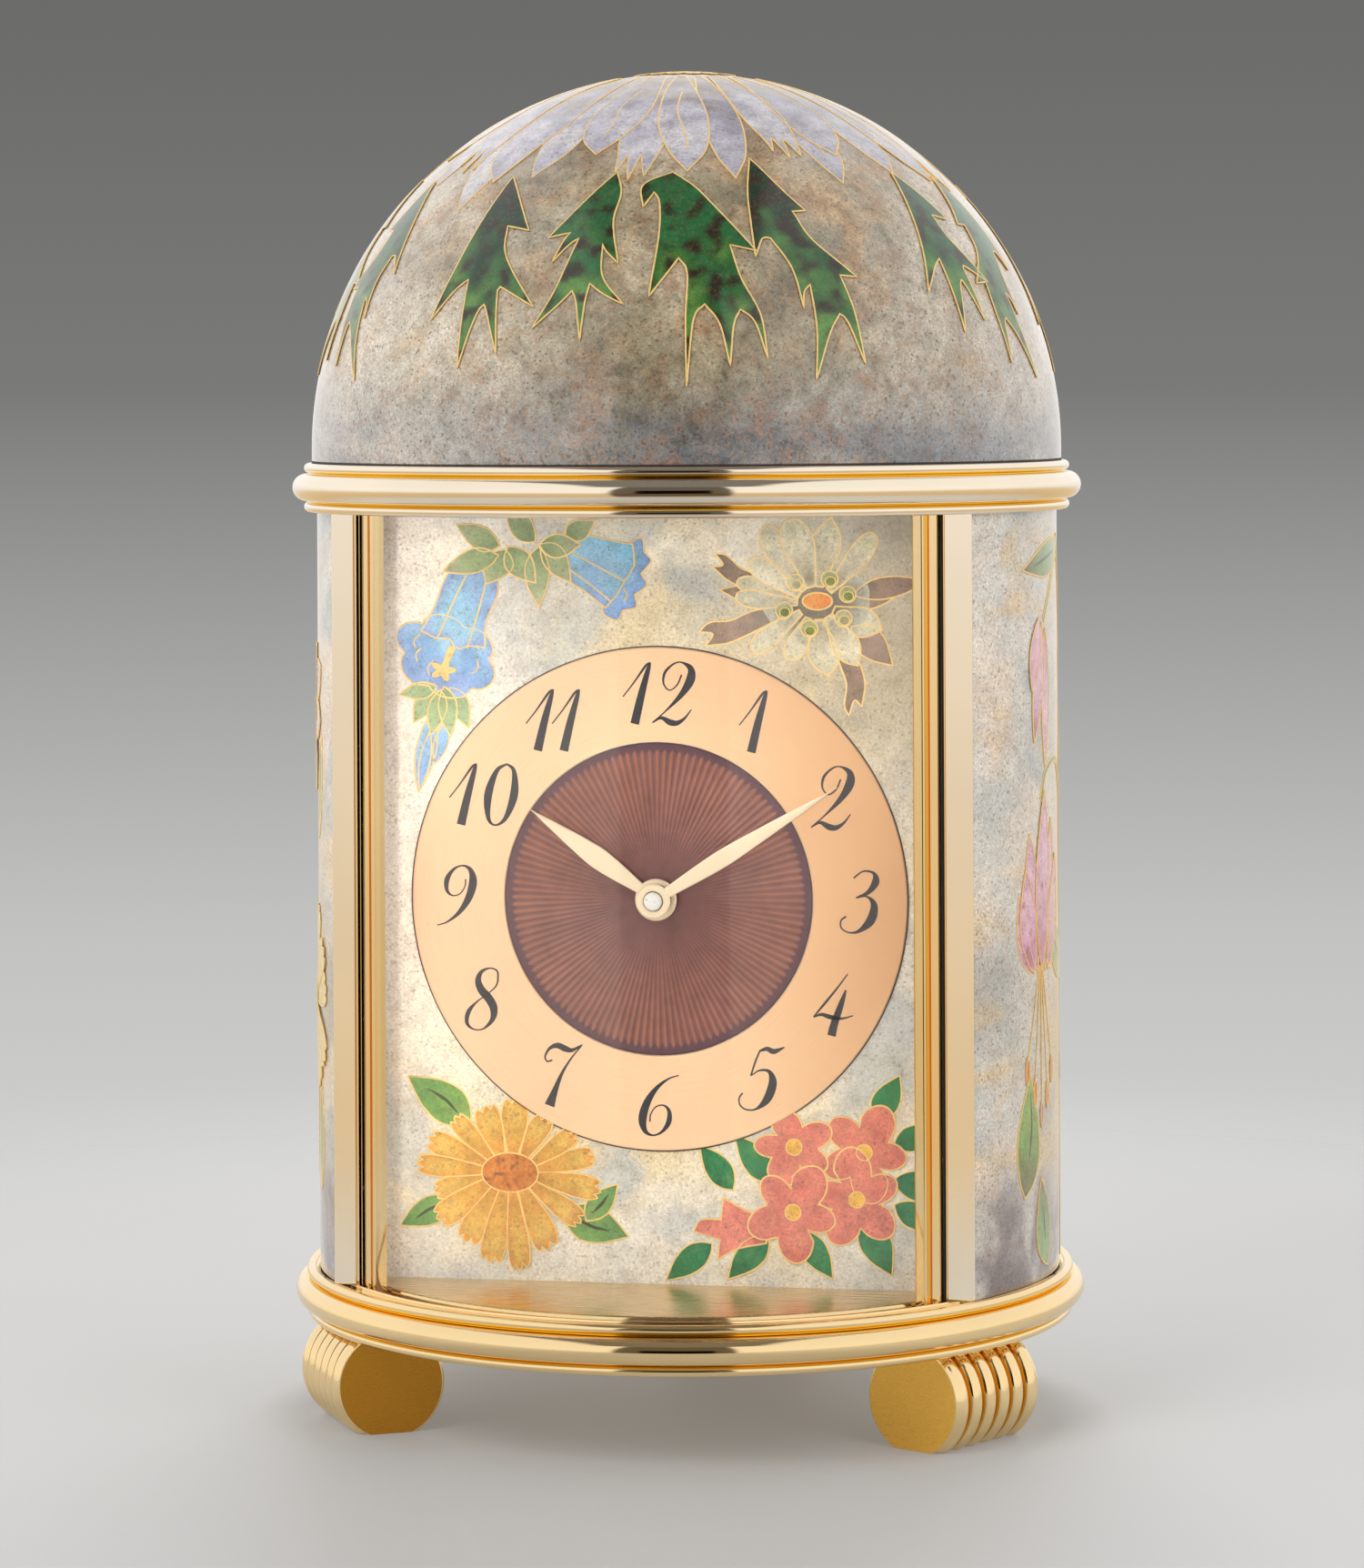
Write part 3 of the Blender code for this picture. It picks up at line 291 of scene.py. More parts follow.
def enamel_dial():
    m, nt, b = start("enamel_dial_ground")
    a = cloud(nt, 42.0, (3.1, 0, 1.7))
    c = cloud(nt, 24.0, (9.2, 0, 4.4))
    d = cloud(nt, 70.0, (1.5, 0, 8.8))
    col = ramp(nt, a, [(0.30, lin(204, 200, 190)), (0.45, lin(222, 214, 200)), (0.60, lin(230, 218, 200)), (0.75, lin(236, 222, 206))])
    col = mix(nt, ramp(nt, c, [(0.48, grey(0)), (0.64, grey(0.70))]), col, lin4(228, 204, 156))
    col = mix(nt, ramp(nt, d, [(0.47, grey(0)), (0.62, grey(0.80))]), col, lin4(182, 184, 182))
    zz, s = z_norm(nt, ZP0, ZP1)
    xr = node(nt, "ShaderNodeMapRange", {"Value": s.outputs["X"], "From Min": -0.048, "From Max": 0.048}).outputs[0]
    # painted light: the ground is painted paler and pinker towards the left edge, more so higher up, as the light
    # falling there
    rose_painted_light = math_(nt, "MULTIPLY", ramp(nt, xr, [(0.0, grey(1)), (0.34, grey(0))]), ramp(nt, zz, [(0.1, grey(0.3)), (0.6, grey(1))]))
    col = mix(nt, math_(nt, "MULTIPLY", rose_painted_light, 0.9), col, lin4(246, 233, 223))
    gr = math_(nt, "MULTIPLY", ramp(nt, xr, [(0.55, grey(0)), (0.85, grey(1))]), ramp(nt, zz, [(0.50, grey(0)), (0.75, grey(1))]))
    col = mix(nt, math_(nt, "MULTIPLY", gr, math_(nt, "ADD", 0.35, math_(nt, "MULTIPLY", d, 0.6))), col, lin4(166, 150, 122))
    mo = cloud(nt, 300.0, (8.1, 2.2, 5.5), 4.0, 0.62)
    col = mix(nt, 0.55, col, ramp(nt, mo, [(0.34, (0.78, 0.74, 0.68, 1)), (0.50, grey(1.0)), (0.66, (1.14, 1.13, 1.12, 1))]), "MULTIPLY")
    enamel_base(nt, b, col, 0.62)
    return m


def enamel_dome():
    """Sand over the middle, grey-blue drifts low down, painted darker over the front that faces the camera and paler on
    the flanks, as painted shade and painted light; the mottling is fainter on the flanks.
    """
    m, nt, b = start("enamel_dome_ground")
    zz, s = z_norm(nt, Z_UP1, Z_TOP)
    a = cloud(nt, 52.0, (2.3, 5.1, 0.4))
    c = cloud(nt, 34.0, (7.7, 1.3, 2.9), stretch=(1, 1, 2.2))
    d = cloud(nt, 95.0, (4.9, 8.8, 6.1))
    # painted shade and light: a mask by the distance across from the camera's line of sight, 0 over the front, 1 on the
    # flanks
    ca, sa = math.cos(math.radians(10.3)), math.sin(math.radians(10.3))
    across = math_(nt, "ADD", math_(nt, "MULTIPLY", s.outputs["X"], ca / (R_DOME * MM)), math_(nt, "MULTIPLY", s.outputs["Y"], sa / (R_DOME * MM)))
    wide = math_(nt, "ADD", math_(nt, "ABSOLUTE", across), math_(nt, "MULTIPLY", math_(nt, "SUBTRACT", a, 0.5), 0.35))
    flank_painted_light = ramp(nt, wide, [(0.22, grey(0.0)), (0.52, grey(0.45)), (0.84, grey(1.0))])
    mid_front_painted_shade = ramp(nt, a, [(0.30, lin(108, 102, 88)), (0.44, lin(138, 130, 108)), (0.58, lin(162, 152, 128)), (0.72, lin(184, 174, 152))])
    mid_flank_painted_light = ramp(nt, a, [(0.30, lin(194, 186, 174)), (0.46, lin(214, 204, 190)), (0.60, lin(226, 217, 200)), (0.75, lin(234, 225, 212))])
    mid = mix(nt, flank_painted_light, mid_front_painted_shade, mid_flank_painted_light)
    mid = mix(nt, ramp(nt, d, [(0.50, grey(0)), (0.66, grey(0.55))]), mid, lin4(190, 154, 108))
    low_front_painted_shade = ramp(nt, a, [(0.30, lin(112, 114, 116)), (0.5, lin(132, 132, 130)), (0.7, lin(156, 148, 138))])
    low_flank_painted_light = ramp(nt, a, [(0.30, lin(168, 170, 170)), (0.5, lin(190, 188, 182)), (0.7, lin(204, 196, 188))])
    low = mix(nt, flank_painted_light, low_front_painted_shade, low_flank_painted_light)
    low = mix(nt, ramp(nt, c, [(0.42, grey(0)), (0.58, grey(0.85))]), low, mix(nt, flank_painted_light, lin4(96, 100, 108), lin4(146, 152, 160)))
    edge = math_(nt, "ADD", zz, math_(nt, "MULTIPLY", math_(nt, "SUBTRACT", c, 0.5), 0.30))
    col = mix(nt, band(nt, edge, [(0.08, 0.0), (0.26, 1.0)]), low, mid)
    top = ramp(nt, a, [(0.34, lin(112, 102, 98)), (0.55, lin(150, 140, 136)), (0.72, lin(178, 170, 170))])
    col = mix(nt, band(nt, zz, [(0.70, 0.0), (0.88, 1.0)]), col, top)
    mo = cloud(nt, 330.0, (8.1, 2.2, 5.5), 4.0, 0.62)
    m2 = cloud(nt, 210.0, (1.9, 6.6, 3.3), 3.0, 0.6)
    amt = math_(nt, "SUBTRACT", 1.0, math_(nt, "MULTIPLY", flank_painted_light, 0.55))
    col = mix(nt, amt, col, mix(nt, 1.0, col, ramp(nt, mo, [(0.34, (0.66, 0.62, 0.56, 1)), (0.50, grey(1.0)), (0.66, (1.22, 1.20, 1.16, 1))]), "MULTIPLY"))
    col = mix(nt, math_(nt, "MULTIPLY", amt, ramp(nt, m2, [(0.54, grey(0)), (0.66, grey(0.38))])), col, lin4(150, 106, 78))
    col = mix(nt, math_(nt, "MULTIPLY", amt, ramp(nt, m2, [(0.34, grey(0.34)), (0.46, grey(0))])), col, lin4(112, 112, 88))
    enamel_base(nt, b, col, 1.05)
    return m


def enamel_side(name, off):
    m, nt, b = start(name)
    zz, s = z_norm(nt, ZP0, ZP1)
    a = cloud(nt, 34.0, off, 3.0, 0.55, (1, 1, 1.3))
    c = cloud(nt, 40.0, tuple(o + 4.2 for o in off), 3.0, 0.5, (1, 1, 1.6))
    d = cloud(nt, 95.0, tuple(o + 8.5 for o in off))
    col = ramp(nt, a, [(0.30, lin(202, 204, 198)), (0.48, lin(214, 208, 198)), (0.62, lin(222, 208, 194)), (0.76, lin(228, 212, 192))])
    col = mix(nt, ramp(nt, c, [(0.48, grey(0)), (0.62, grey(0.85))]), col, lin4(162, 174, 178))
    col = mix(nt, ramp(nt, d, [(0.56, grey(0)), (0.72, grey(0.5))]), col, lin4(206, 186, 176))
    och = cloud(nt, 46.0, tuple(o + 12.7 for o in off), 3.0, 0.5, (1, 1, 2.4))
    col = mix(nt, ramp(nt, och, [(0.54, grey(0)), (0.68, grey(0.75))]), col, lin4(222, 194, 150))
    mo = cloud(nt, 260.0, off, 4.0, 0.62)
    col = mix(nt, 0.6, col, ramp(nt, mo, [(0.34, (0.80, 0.80, 0.80, 1)), (0.50, grey(1.0)), (0.66, (1.14, 1.12, 1.10, 1))]), "MULTIPLY")
    dark = ramp(nt, d, [(0.36, lin(112, 100, 102)), (0.50, lin(152, 144, 144)), (0.64, lin(206, 200, 190))])
    edge = math_(nt, "ADD", zz, math_(nt, "MULTIPLY", math_(nt, "SUBTRACT", a, 0.5), 0.28))
    col = mix(nt, band(nt, edge, [(0.09, 0.9), (0.19, 0.0)]), col, dark)
    midg = math_(nt, "MULTIPLY", band(nt, zz, [(0.24, 0.0), (0.34, 1.0), (0.42, 1.0), (0.50, 0.0)]), ramp(nt, c, [(0.40, grey(0)), (0.58, grey(0.6))]))
    col = mix(nt, midg, col, lin4(166, 162, 156))
    enamel_base(nt, b, col, 0.9)
    return m


def enamel_cells():
    """Cell colours come from the mesh; the grain comes from the shader."""
    m, nt, b = start("enamel_cells")
    at = node(nt, "ShaderNodeAttribute", attribute_name="cell")
    v = coords(nt)
    mot = noise_tex(nt, v, 430.0, 3.0, 0.6)
    col = mix(nt, 0.8, at.outputs["Color"], ramp(nt, mot, [(0.30, grey(0.72)), (0.5, grey(1.0)), (0.70, grey(1.22))]), "MULTIPLY")
    enamel_base(nt, b, col, 0.7, 0.25)
    return m


M_DIAL = enamel_dial()
M_DOME = enamel_dome()
M_SIDE = enamel_side("enamel_side_ground", (1.1, 6.3, 2.2))
M_SIDE2 = enamel_side("enamel_rear_ground", (5.6, 0.3, 9.2))
M_CELLS = enamel_cells()


# ------------------------------------------------------------------ mesh helpers
def obj_from(name, verts, faces, mat, smooth=True, angle=38):
    me = bpy.data.meshes.new(name)
    me.from_pydata([tuple(v) for v in verts], [], faces)
    me.validate()
    me.update()
    for m in (mat if isinstance(mat, (list, tuple)) else [mat]):
        me.materials.append(m)
    if smooth:
        me.shade_smooth()
        me.set_sharp_from_angle(angle=math.radians(angle))
    ob = bpy.data.objects.new(name, me)
    bpy.context.scene.collection.objects.link(ob)
    return ob


def lathe_data(profile, segs, closed=True, x=0.0, y=0.0):
    verts, faces, rings = [], [], []
    for r, z in profile:
        if r < 1e-6:
            rings.append([len(verts)])
            verts.append((x * MM, y * MM, z * MM))
        else:
            rings.append(list(range(len(verts), len(verts) + segs)))
            verts += [((x + r * math.cos(2 * math.pi * k / segs)) * MM, (y + r * math.sin(2 * math.pi * k / segs)) * MM, z * MM) for k in range(segs)]
    n = len(rings)
    for i in range(n if closed else n - 1):
        a, b = rings[i], rings[(i + 1) % n]
        if len(a) == 1 and len(b) == 1:
            continue
        for k in range(segs):
            k2 = (k + 1) % segs
            if len(a) == 1:
                faces.append((a[0], b[k], b[k2]))
            elif len(b) == 1:
                faces.append((a[k2], a[k], b[0]))
            else:
                faces.append((a[k2], a[k], b[k], b[k2]))
    return verts, faces


def fix_normals(ob):
    bm = bmesh.new()
    bm.from_mesh(ob.data)
    bmesh.ops.remove_doubles(bm, verts=bm.verts, dist=1e-8)
    bmesh.ops.recalc_face_normals(bm, faces=bm.faces)
    bm.to_mesh(ob.data)
    bm.free()
    return ob


def lathe(name, profile, mat, segs=192, closed=True, x=0.0, y=0.0, angle=38):
    v, f = lathe_data(profile, segs, closed, x, y)
    return fix_normals(obj_from(name, v, f, mat, True, angle))


def on_case(r, phi, z):
    a = math.radians(phi)
    return Vector((r * math.sin(a), -r * math.cos(a), z)) * MM


def arc_sheet(name, section, p0, p1, steps, mat, angle=38):
    """A closed section of (radius, z) swept round the case."""
    verts, faces = [], []
    n = len(section)
    for i in range(steps + 1):
        p = p0 + (p1 - p0) * i / steps
        verts += [on_case(r, p, z) for r, z in section]
    for i in range(steps):
        for k in range(n):
            a, b = i * n + k, i * n + (k + 1) % n
            faces.append((a, b, b + n, a + n))
    faces.append(tuple(range(n)))
    faces.append(tuple(reversed(range(steps * n, (steps + 1) * n))))
    return fix_normals(obj_from(name, verts, faces, mat, True, angle))


def arc_pts(cx, cz, r, a0, a1, n):
    return [(cx + r * math.cos(math.radians(a0 + (a1 - a0) * i / n)), cz + r * math.sin(math.radians(a0 + (a1 - a0) * i / n))) for i in range(n + 1)]


def take(ob, body, *nodes, slot=None):
    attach(ob, body)
    if nodes:
        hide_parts(*nodes)
    return ob


# ------------------------------------------------------------------ mouldings
R_T, T_T = R_MAX - 2.15, 2.15


def moulding(zc, top_lip=True, bottom_lip=True):
    """Outer profile from the top edge to the bottom edge: bead, groove, half-round, groove, bead."""
    p = []
    p += arc_pts(61.25, zc + H_M - 0.78, 0.78, 150, -62, 10)      # top bead
    p += [(61.22, zc + 2.30), (61.20, zc + 2.22)]
    p += [(61.9, zc + 2.12)]
    p += arc_pts(R_T, zc, T_T, 78, -78, 26)
    p += [(61.9, zc - 2.12)]
    p += [(61.20, zc - 2.22), (61.22, zc - 2.30)]
    p += arc_pts(61.25, zc - H_M + 0.78, 0.78, 62, -150, 10)
    return p


GI = min(math.hypot(v.co.x, v.co.y) for v in NODES["glass_stile_right"].data.vertices) / MM - 0.4
GO = max(math.hypot(v.co.x, v.co.y) for v in NODES["glass_stile_right"].data.vertices) / MM + 0.35
rec = 0.55    # depth of the seat the enamelled panels stand in
base_prof = moulding(Z_BASE) + [(60.5, Z_BASE0 + 0.05), (50.0, Z_BASE0 + 0.05), (50.0, Z_BASE - 0.5), (0, Z_BASE - 0.5), (0, Z_FLOOR), (GI - 0.12, Z_FLOOR), (GI, Z_FLOOR - 0.12),
                                (GI, Z_FLOOR - 0.95), (GO, Z_FLOOR - 0.95), (GO, Z_FLOOR - 0.12), (GO + 0.1, Z_FLOOR), (58.25, Z_FLOOR), (58.3, Z_FLOOR - 0.05), (58.3, Z_FLOOR - rec), (60.42, Z_FLOOR - rec)]
def groove_faces(ob, zc):
    """The narrow channels on both sides of the half-round take a deeper amber gold, painted as the shade and the
    gold-on-gold reflections in them.
    """
    ob.data.materials.append(M_GROOVE_PAINTED_SHADE)
    for p in ob.data.polygons:
        c = p.center
        r, z = math.hypot(c.x, c.y) / MM, abs(c.z / MM - zc)
        if 61.0 < r < 62.05 and 1.98 < z < 2.36:
            p.material_index = 1


base = lathe("base_moulding", base_prof, M_GOLD_SHADED, 256, True, angle=50)
groove_faces(base, Z_BASE)
take(base, "case", "base_ring", slot="polished_gilt")
up_prof = moulding(Z_UPPER) + [(60.42, Z_CEIL + rec), (58.3, Z_CEIL + rec), (58.3, Z_CEIL), (GO, Z_CEIL), (GO, Z_CEIL + 1.25), (GI, Z_CEIL + 1.25), (GI, Z_CEIL), (50.0, Z_CEIL), (50.0, Z_UP1 - 0.05), (60.3, Z_UP1 - 0.05)]
upper = lathe("upper_moulding", up_prof, M_GOLD, 256, True, angle=50)
groove_faces(upper, Z_UPPER)
take(upper, "case", "upper_ring", slot="polished_gilt")
# brushed gilt floor between the dial and the glass, a thin plate lying on the base
fl = [(0.0, Z_FLOOR + 0.06), (GI - 0.2, Z_FLOOR + 0.06), (GI - 0.15, Z_FLOOR + 0.02), (GI - 0.15, Z_FLOOR - 0.2), (0.0, Z_FLOOR - 0.2)]
floor_plate = lathe("floor_plate", fl, M_SATIN, 192, False)
take(floor_plate, "case", slot="polished_gilt")
# a dark red strip on the floor of the glass track, painted as the shade in the slot
lining = lathe("track_painted_shade", [(GI + 0.03, Z_FLOOR - 0.94), (GI + 0.03, Z_FLOOR - 0.80), (GO - 0.03, Z_FLOOR - 0.80), (GO - 0.03, Z_FLOOR - 0.94)], M_TRACK_PAINTED_SHADE, 192)
take(lining, "case")
dome_seam = lathe("dome_seam", [(R_DOME + 0.05, Z_UP1 - 0.3), (R_DOME + 0.08, Z_UP1 + 0.22), (R_DOME - 1.2, Z_UP1 + 0.22), (R_DOME - 1.2, Z_UP1 - 0.3)], M_DARK, 192)
take(dome_seam, "case")

# ------------------------------------------------------------------ dome, panels, door
ri = R_DOME - 1.5
zr = Z_UP1 + 0.2
ND = 56
prof = [(R_DOME - 0.12, zr)] + [(R_DOME, zr + 0.15)] + [(R_DOME * math.cos(math.pi / 2 * i / ND), Z_DOME + R_DOME * math.sin(math.pi / 2 * i / ND)) for i in range(ND)] + [(0, Z_TOP)]
prof += [(0, Z_DOME + ri)] + [(ri * math.cos(math.pi / 2 * i / ND), Z_DOME + ri * math.sin(math.pi / 2 * i / ND)) for i in reversed(range(ND))] + [(ri, zr)]
dome = lathe("dome_enamel", prof, M_DOME, 224, True)
take(dome, "case", "dome", slot="enamel")

for side in ("right", "left"):
    p0, p1 = phis("side_panel_" + side)
    z0, z1 = ZP0 - 0.4, ZP1 + 0.4
    e = 0.18
    sec = [(58.65, z0), (R_BODY - e, z0), (R_BODY, z0 + e), (R_BODY, z1 - e), (R_BODY - e, z1), (58.65, z1)]
    ob = arc_sheet("side_enamel_" + side, sec, p0, p1, 72, M_SIDE)
    take(ob, "case", "side_panel_" + side, slot="enamel")
p0, p1 = phis("rear_door")
dz0, dz1 = bx("rear_door")[0].z, bx("rear_door")[1].z
DR0 = min(math.hypot(v.co.x, v.co.y) for v in NODES["rear_door"].data.vertices) / MM
sec = [(DR0 + 0.05, dz0), (R_BODY - 0.2, dz0), (R_BODY, dz0 + 0.2), (R_BODY, dz1 - 0.2), (R_BODY - 0.2, dz1), (DR0 + 0.05, dz1)]
door = arc_sheet("rear_door_enamel", sec, p0, p1, 60, M_SIDE2)
take(door, "door", "rear_door", slot="enamel")


# gold rims of the door and of the panels
def rim_post(name, phi, r0, r1, w, z0, z1, mat, body, *nodes):
    """A vertical bar at angle phi: flat back and sides, a half-round front."""
    h = r1 - w / 2
    pts = [(r0, -w / 2 + 0.12), (r0, w / 2 - 0.12), (r0 + 0.12, w / 2), (h, w / 2)]
    pts += [(h + w / 2 * math.sin(math.radians(a)), w / 2 * math.cos(math.radians(a))) for a in range(8, 173, 6)]
    pts += [(h, -w / 2), (r0 + 0.12, -w / 2)]
    a = math.radians(phi)
    er, et = (math.sin(a), -math.cos(a)), (math.cos(a), math.sin(a))
    ob = prism(name, [(r * er[0] + t * et[0], r * er[1] + t * et[1]) for r, t in pts], z0, z1, mat, 30)
    take(ob, body, *nodes, slot="polished_gilt")


def prism(name, plan, z0, z1, mats, angle=30, faces_2=()):
    """An upright bar over a plan outline (x, y); faces_2 lists the sides that take the second material."""
    n = len(plan)
    verts = [(x * MM, y * MM, z0 * MM) for x, y in plan] + [(x * MM, y * MM, z1 * MM) for x, y in plan]
    faces = [(k, (k + 1) % n, n + (k + 1) % n, n + k) for k in range(n)] + [tuple(range(n)), tuple(reversed(range(n, 2 * n)))]
    ob = obj_from(name, verts, faces, mats, True, angle)
    for k in faces_2:
        ob.data.polygons[k].material_index = 1
    return fix_normals(ob)


# the front posts show one broad, slightly bowed face turned outwards and a narrow rolled inner edge
POST_PLAN = [(47.55, 33.15), (46.72, 34.40), (46.86, 34.74), (47.16, 34.93), (47.8, 34.71), (48.4, 34.49), (49.0, 34.24), (49.6, 33.94), (50.1, 33.64), (50.45, 33.34),
             (50.66, 32.98), (50.70, 32.62), (50.60, 32.38), (49.9, 32.0), (48.9, 31.4)]
PLAN_R = [(47.55, 33.15), (46.42, 34.62), (46.48, 34.92), (46.77, 35.08), (47.3, 34.89)] + POST_PLAN[4:]
PLAN_L = POST_PLAN[:8] + [(50.2, 33.62), (50.75, 33.32), (51.08, 32.98), (51.16, 32.66), (51.05, 32.42), (50.1, 31.95), (48.9, 31.4)]
for nm, sg, pl in (("front_post_right", 1, PLAN_R), ("front_post_left", -1, PLAN_L)):
    ob = prism(nm + "_gold", [(sg * x, -y) for x, y in pl], ZP0 - 0.04, ZP1 + 0.04, M_GOLD, 40)
    take(ob, "case", nm, slot="polished_gilt")
for nm in ("rear_post_right", "rear_post_left"):
    lo, hi = phis(nm)
    rim_post(nm + "_gold", (lo + hi) / 2, 57.65, 60.80, 3.8, ZP0 - 0.04, ZP1 + 0.04, M_GOLD, "case", nm)
# black strips painted as the shadow in the gap between each glass stile and its front post; a gilt strip closes the
# rest of the left gap
for nm, q0, q1, mt in (("right_painted_shadow", 52.95, 53.70, M_BLACK), ("left_painted_shadow", -54.95, -54.35, M_BLACK), ("left_lip", -54.30, -53.15, M_GOLD)):
    sec = [(57.66, ZP0 - 0.1), (57.80, ZP0 - 0.1), (57.80, ZP1 + 0.1), (57.66, ZP1 + 0.1)]
    take(arc_sheet("gap_strip_" + nm, sec, q0, q1, 4, mt), "case")

# ------------------------------------------------------------------ glass leaf
LZ0, LZ1 = bx("glass_pane")[0].z, bx("glass_pane")[1].z
gr = [math.hypot(v.co.x, v.co.y) / MM for v in NODES["glass_pane"].data.vertices]
G0, G1 = min(gr), max(gr)
gp0, gp1 = phis("glass_pane")
for side, sg in (("right", 1), ("left", -1)):
    sr = [math.hypot(v.co.x, v.co.y) / MM for v in NODES["glass_stile_" + side].data.vertices]
    s0, s1 = min(sr) + 0.02, max(sr)
    # (radius, distance from the stile's middle, positive towards the post): inner reed, channel, outer reed
    sec = [(s0, -1.9), (s1 - 0.30, -2.0)] + [(s1 - 0.30 + 0.30 * math.sin(math.radians(q)), -1.64 - 0.36 * math.cos(math.radians(q))) for q in (25, 50, 70, 90, 110, 130, 155)]
    sec += [(s1 - 0.30, -1.28), (s1 - 0.52, -1.23), (s1 - 0.52, -0.15), (s1 - 0.30, -0.10)]
    wo = 1.22 if sg > 0 else 1.05
    sec += [(s1 - 0.42 + 0.42 * math.sin(math.radians(q)), wo - 0.10 - wo * math.cos(math.radians(q))) for q in (20, 35, 50, 65, 78, 90, 102, 115, 130, 145, 160)]
    sec += [(s1 - 0.45, 2 * wo - 0.10), (s0, 1.9)]
    a_ = math.radians(51.05)
    er, et = (math.sin(a_), -math.cos(a_)), (math.cos(a_), math.sin(a_))
    plan = [(sg * (r * er[0] + t * et[0]), r * er[1] + t * et[1]) for r, t in sec]
    # the channel faces take the deeper amber gold, painted as the shade in the channel
    chan = [k for k in range(len(sec)) if sec[k][0] < s1 - 0.29 and sec[(k + 1) % len(sec)][0] < s1 - 0.29 and -1.3 < sec[k][1] < 0]
    ob = prism("glass_stile_%s_gold" % side, plan, LZ0, LZ1, [M_GOLD_SHADED, M_CHANNEL_PAINTED_SHADE], 25, chan)
    take(ob, "glass_leaf", "glass_stile_" + side, slot="polished_gilt")

mg = bpy.data.materials.new("clear_glass")
mg.use_nodes = True
nt = mg.node_tree
nt.nodes.clear()
out = nt.nodes.new("ShaderNodeOutputMaterial")
tr = node(nt, "ShaderNodeBsdfTransparent", {"Color": (0.985, 0.99, 0.985, 1)})
ge = nt.nodes.new("ShaderNodeNewGeometry")
cosv = node(nt, "ShaderNodeVectorMath", {0: ge.outputs["Incoming"], 1: ge.outputs["Normal"]}, operation="DOT_PRODUCT").outputs["Value"]
sch = math_(nt, "POWER", math_(nt, "SUBTRACT", 1.0, math_(nt, "ABSOLUTE", cosv)), 5.0)
fres = math_(nt, "ADD", math_(nt, "MULTIPLY", sch, 0.80), 0.022)
wv = noise_tex(nt, coords(nt, (1, 1, 0.3)), 60.0, 1.0)
bp = node(nt, "ShaderNodeBump", {"Height": wv, "Strength": 0.02, "Distance": 0.001})
gl = node(nt, "ShaderNodeBsdfGlossy", {"Color": (1, 1, 1, 1), "Roughness": 0.015, "Normal": bp.outputs[0]})
mx = node(nt, "ShaderNodeMixShader", {0: fres, 1: tr.outputs[0], 2: gl.outputs[0]})
nt.links.new(mx.outputs[0], out.inputs[0])
M_GLASS = mg
sec = [(G0, LZ0), (G1, LZ0), (G1, LZ1), (G0, LZ1)]
pane = arc_sheet("glass_pane_clear", sec, gp0, gp1, 80, M_GLASS)
take(pane, "glass_leaf", "glass_pane", slot="glass")


# ------------------------------------------------------------------ feet
def foot(name, phi, cad):
    a = math.radians(phi)
    er, et = Vector((math.sin(a), -math.cos(a), 0)), Vector((math.cos(a), math.sin(a), 0))
    co = [v.co / MM for v in NODES[cad].data.vertices]
    ts = [c.dot(et) for c in co]
    us = [c.dot(er) for c in co]
    zt = max(c.z for c in co)
    t0, t1 = min(ts), max(ts)
    rc = (max(us) + min(us)) / 2
    fr_ = (max(us) - min(us)) / 2
    zc = 7.65
    reeds = 6
    pitch = (t1 - t0) / reeds
    prof = [(t0, fr_ - 0.80), (t0 + 0.02, fr_ - 0.62)]
    for k in range(reeds):
        s = t0 + k * pitch
        for i in range(0, 15):
            f = i / 14
            r = fr_ - 1.15 + 1.15 * math.sqrt(max(0.0, 1 - (2 * f - 1) ** 2))
            if 0 < i < 14 or (k, i) not in ((0, 0), (reeds - 1, 14)):
                prof.append((s + pitch * (0.09 + 0.82 * f), r))
    prof += [(t1 - 0.02, fr_ - 0.62), (t1, fr_ - 0.80)]
    m = 44
    verts, faces = [], []
    for t, r in prof:
        a0, a1 = math.asin(-zc / r), math.asin((zt - zc) / r)
        ang = [a0 + (a1 - a0) * i / (m - 1) for i in range(m)]
        pts = [(r * math.cos(b), r * math.sin(b)) for b in ang] + [(-r * math.cos(b), r * math.sin(b)) for b in reversed(ang)]
        verts += [(er * (rc + u) + et * t + Vector((0, 0, zc + v))) * MM for u, v in pts]
    n = 2 * m
    for i in range(len(prof) - 1):
        for k in range(n):
            p, q = i * n + k, i * n + (k + 1) % n
            faces.append((p, q, q + n, p + n))
    nb = len(faces)
    faces.append(tuple(range(n)))
    faces.append(tuple(reversed(range((len(prof) - 1) * n, len(prof) * n))))
    # the left front foot's end face takes the darker copy, painted shade
    ob = obj_from(name, verts, faces, [M_GOLD_SHADED, M_FACE if phi > 0 else M_FACE_LEFT_PAINTED_SHADE, M_REED_PAINTED_SHADE], True, 50)
    for p in ob.data.polygons:
        if len(p.vertices) > 4:
            p.material_index = 1
        elif p.index < nb:
            low = [prof[v // n][1] for v in p.vertices]
            # groove floors and low reed sides take the dark amber gold, painted as the shade in the grooves
            if max(low) < fr_ - 0.42 and 1 < p.index // n < len(prof) - 4:
                p.material_index = 2
    fix_normals(ob)
    take(ob, "case", cad, slot="polished_gilt")


foot("foot_front_right_gold", 60, "foot_front_right")
foot("foot_front_left_gold", -60, "foot_front_left")
foot("foot_rear_gold", 180, "foot_rear")


# ------------------------------------------------------------------ motifs: cells of enamel between gold wires
def on_dial(u, v, h):
    return Vector((u, Y_DIAL - h, Z_DIAL + v)) * MM


def on_body(u, v, h):
    """u is the arc length round the case from the dial's normal, v the height above the ground."""
    return on_case(R_BODY + h, math.degrees(u / R_BODY), v)


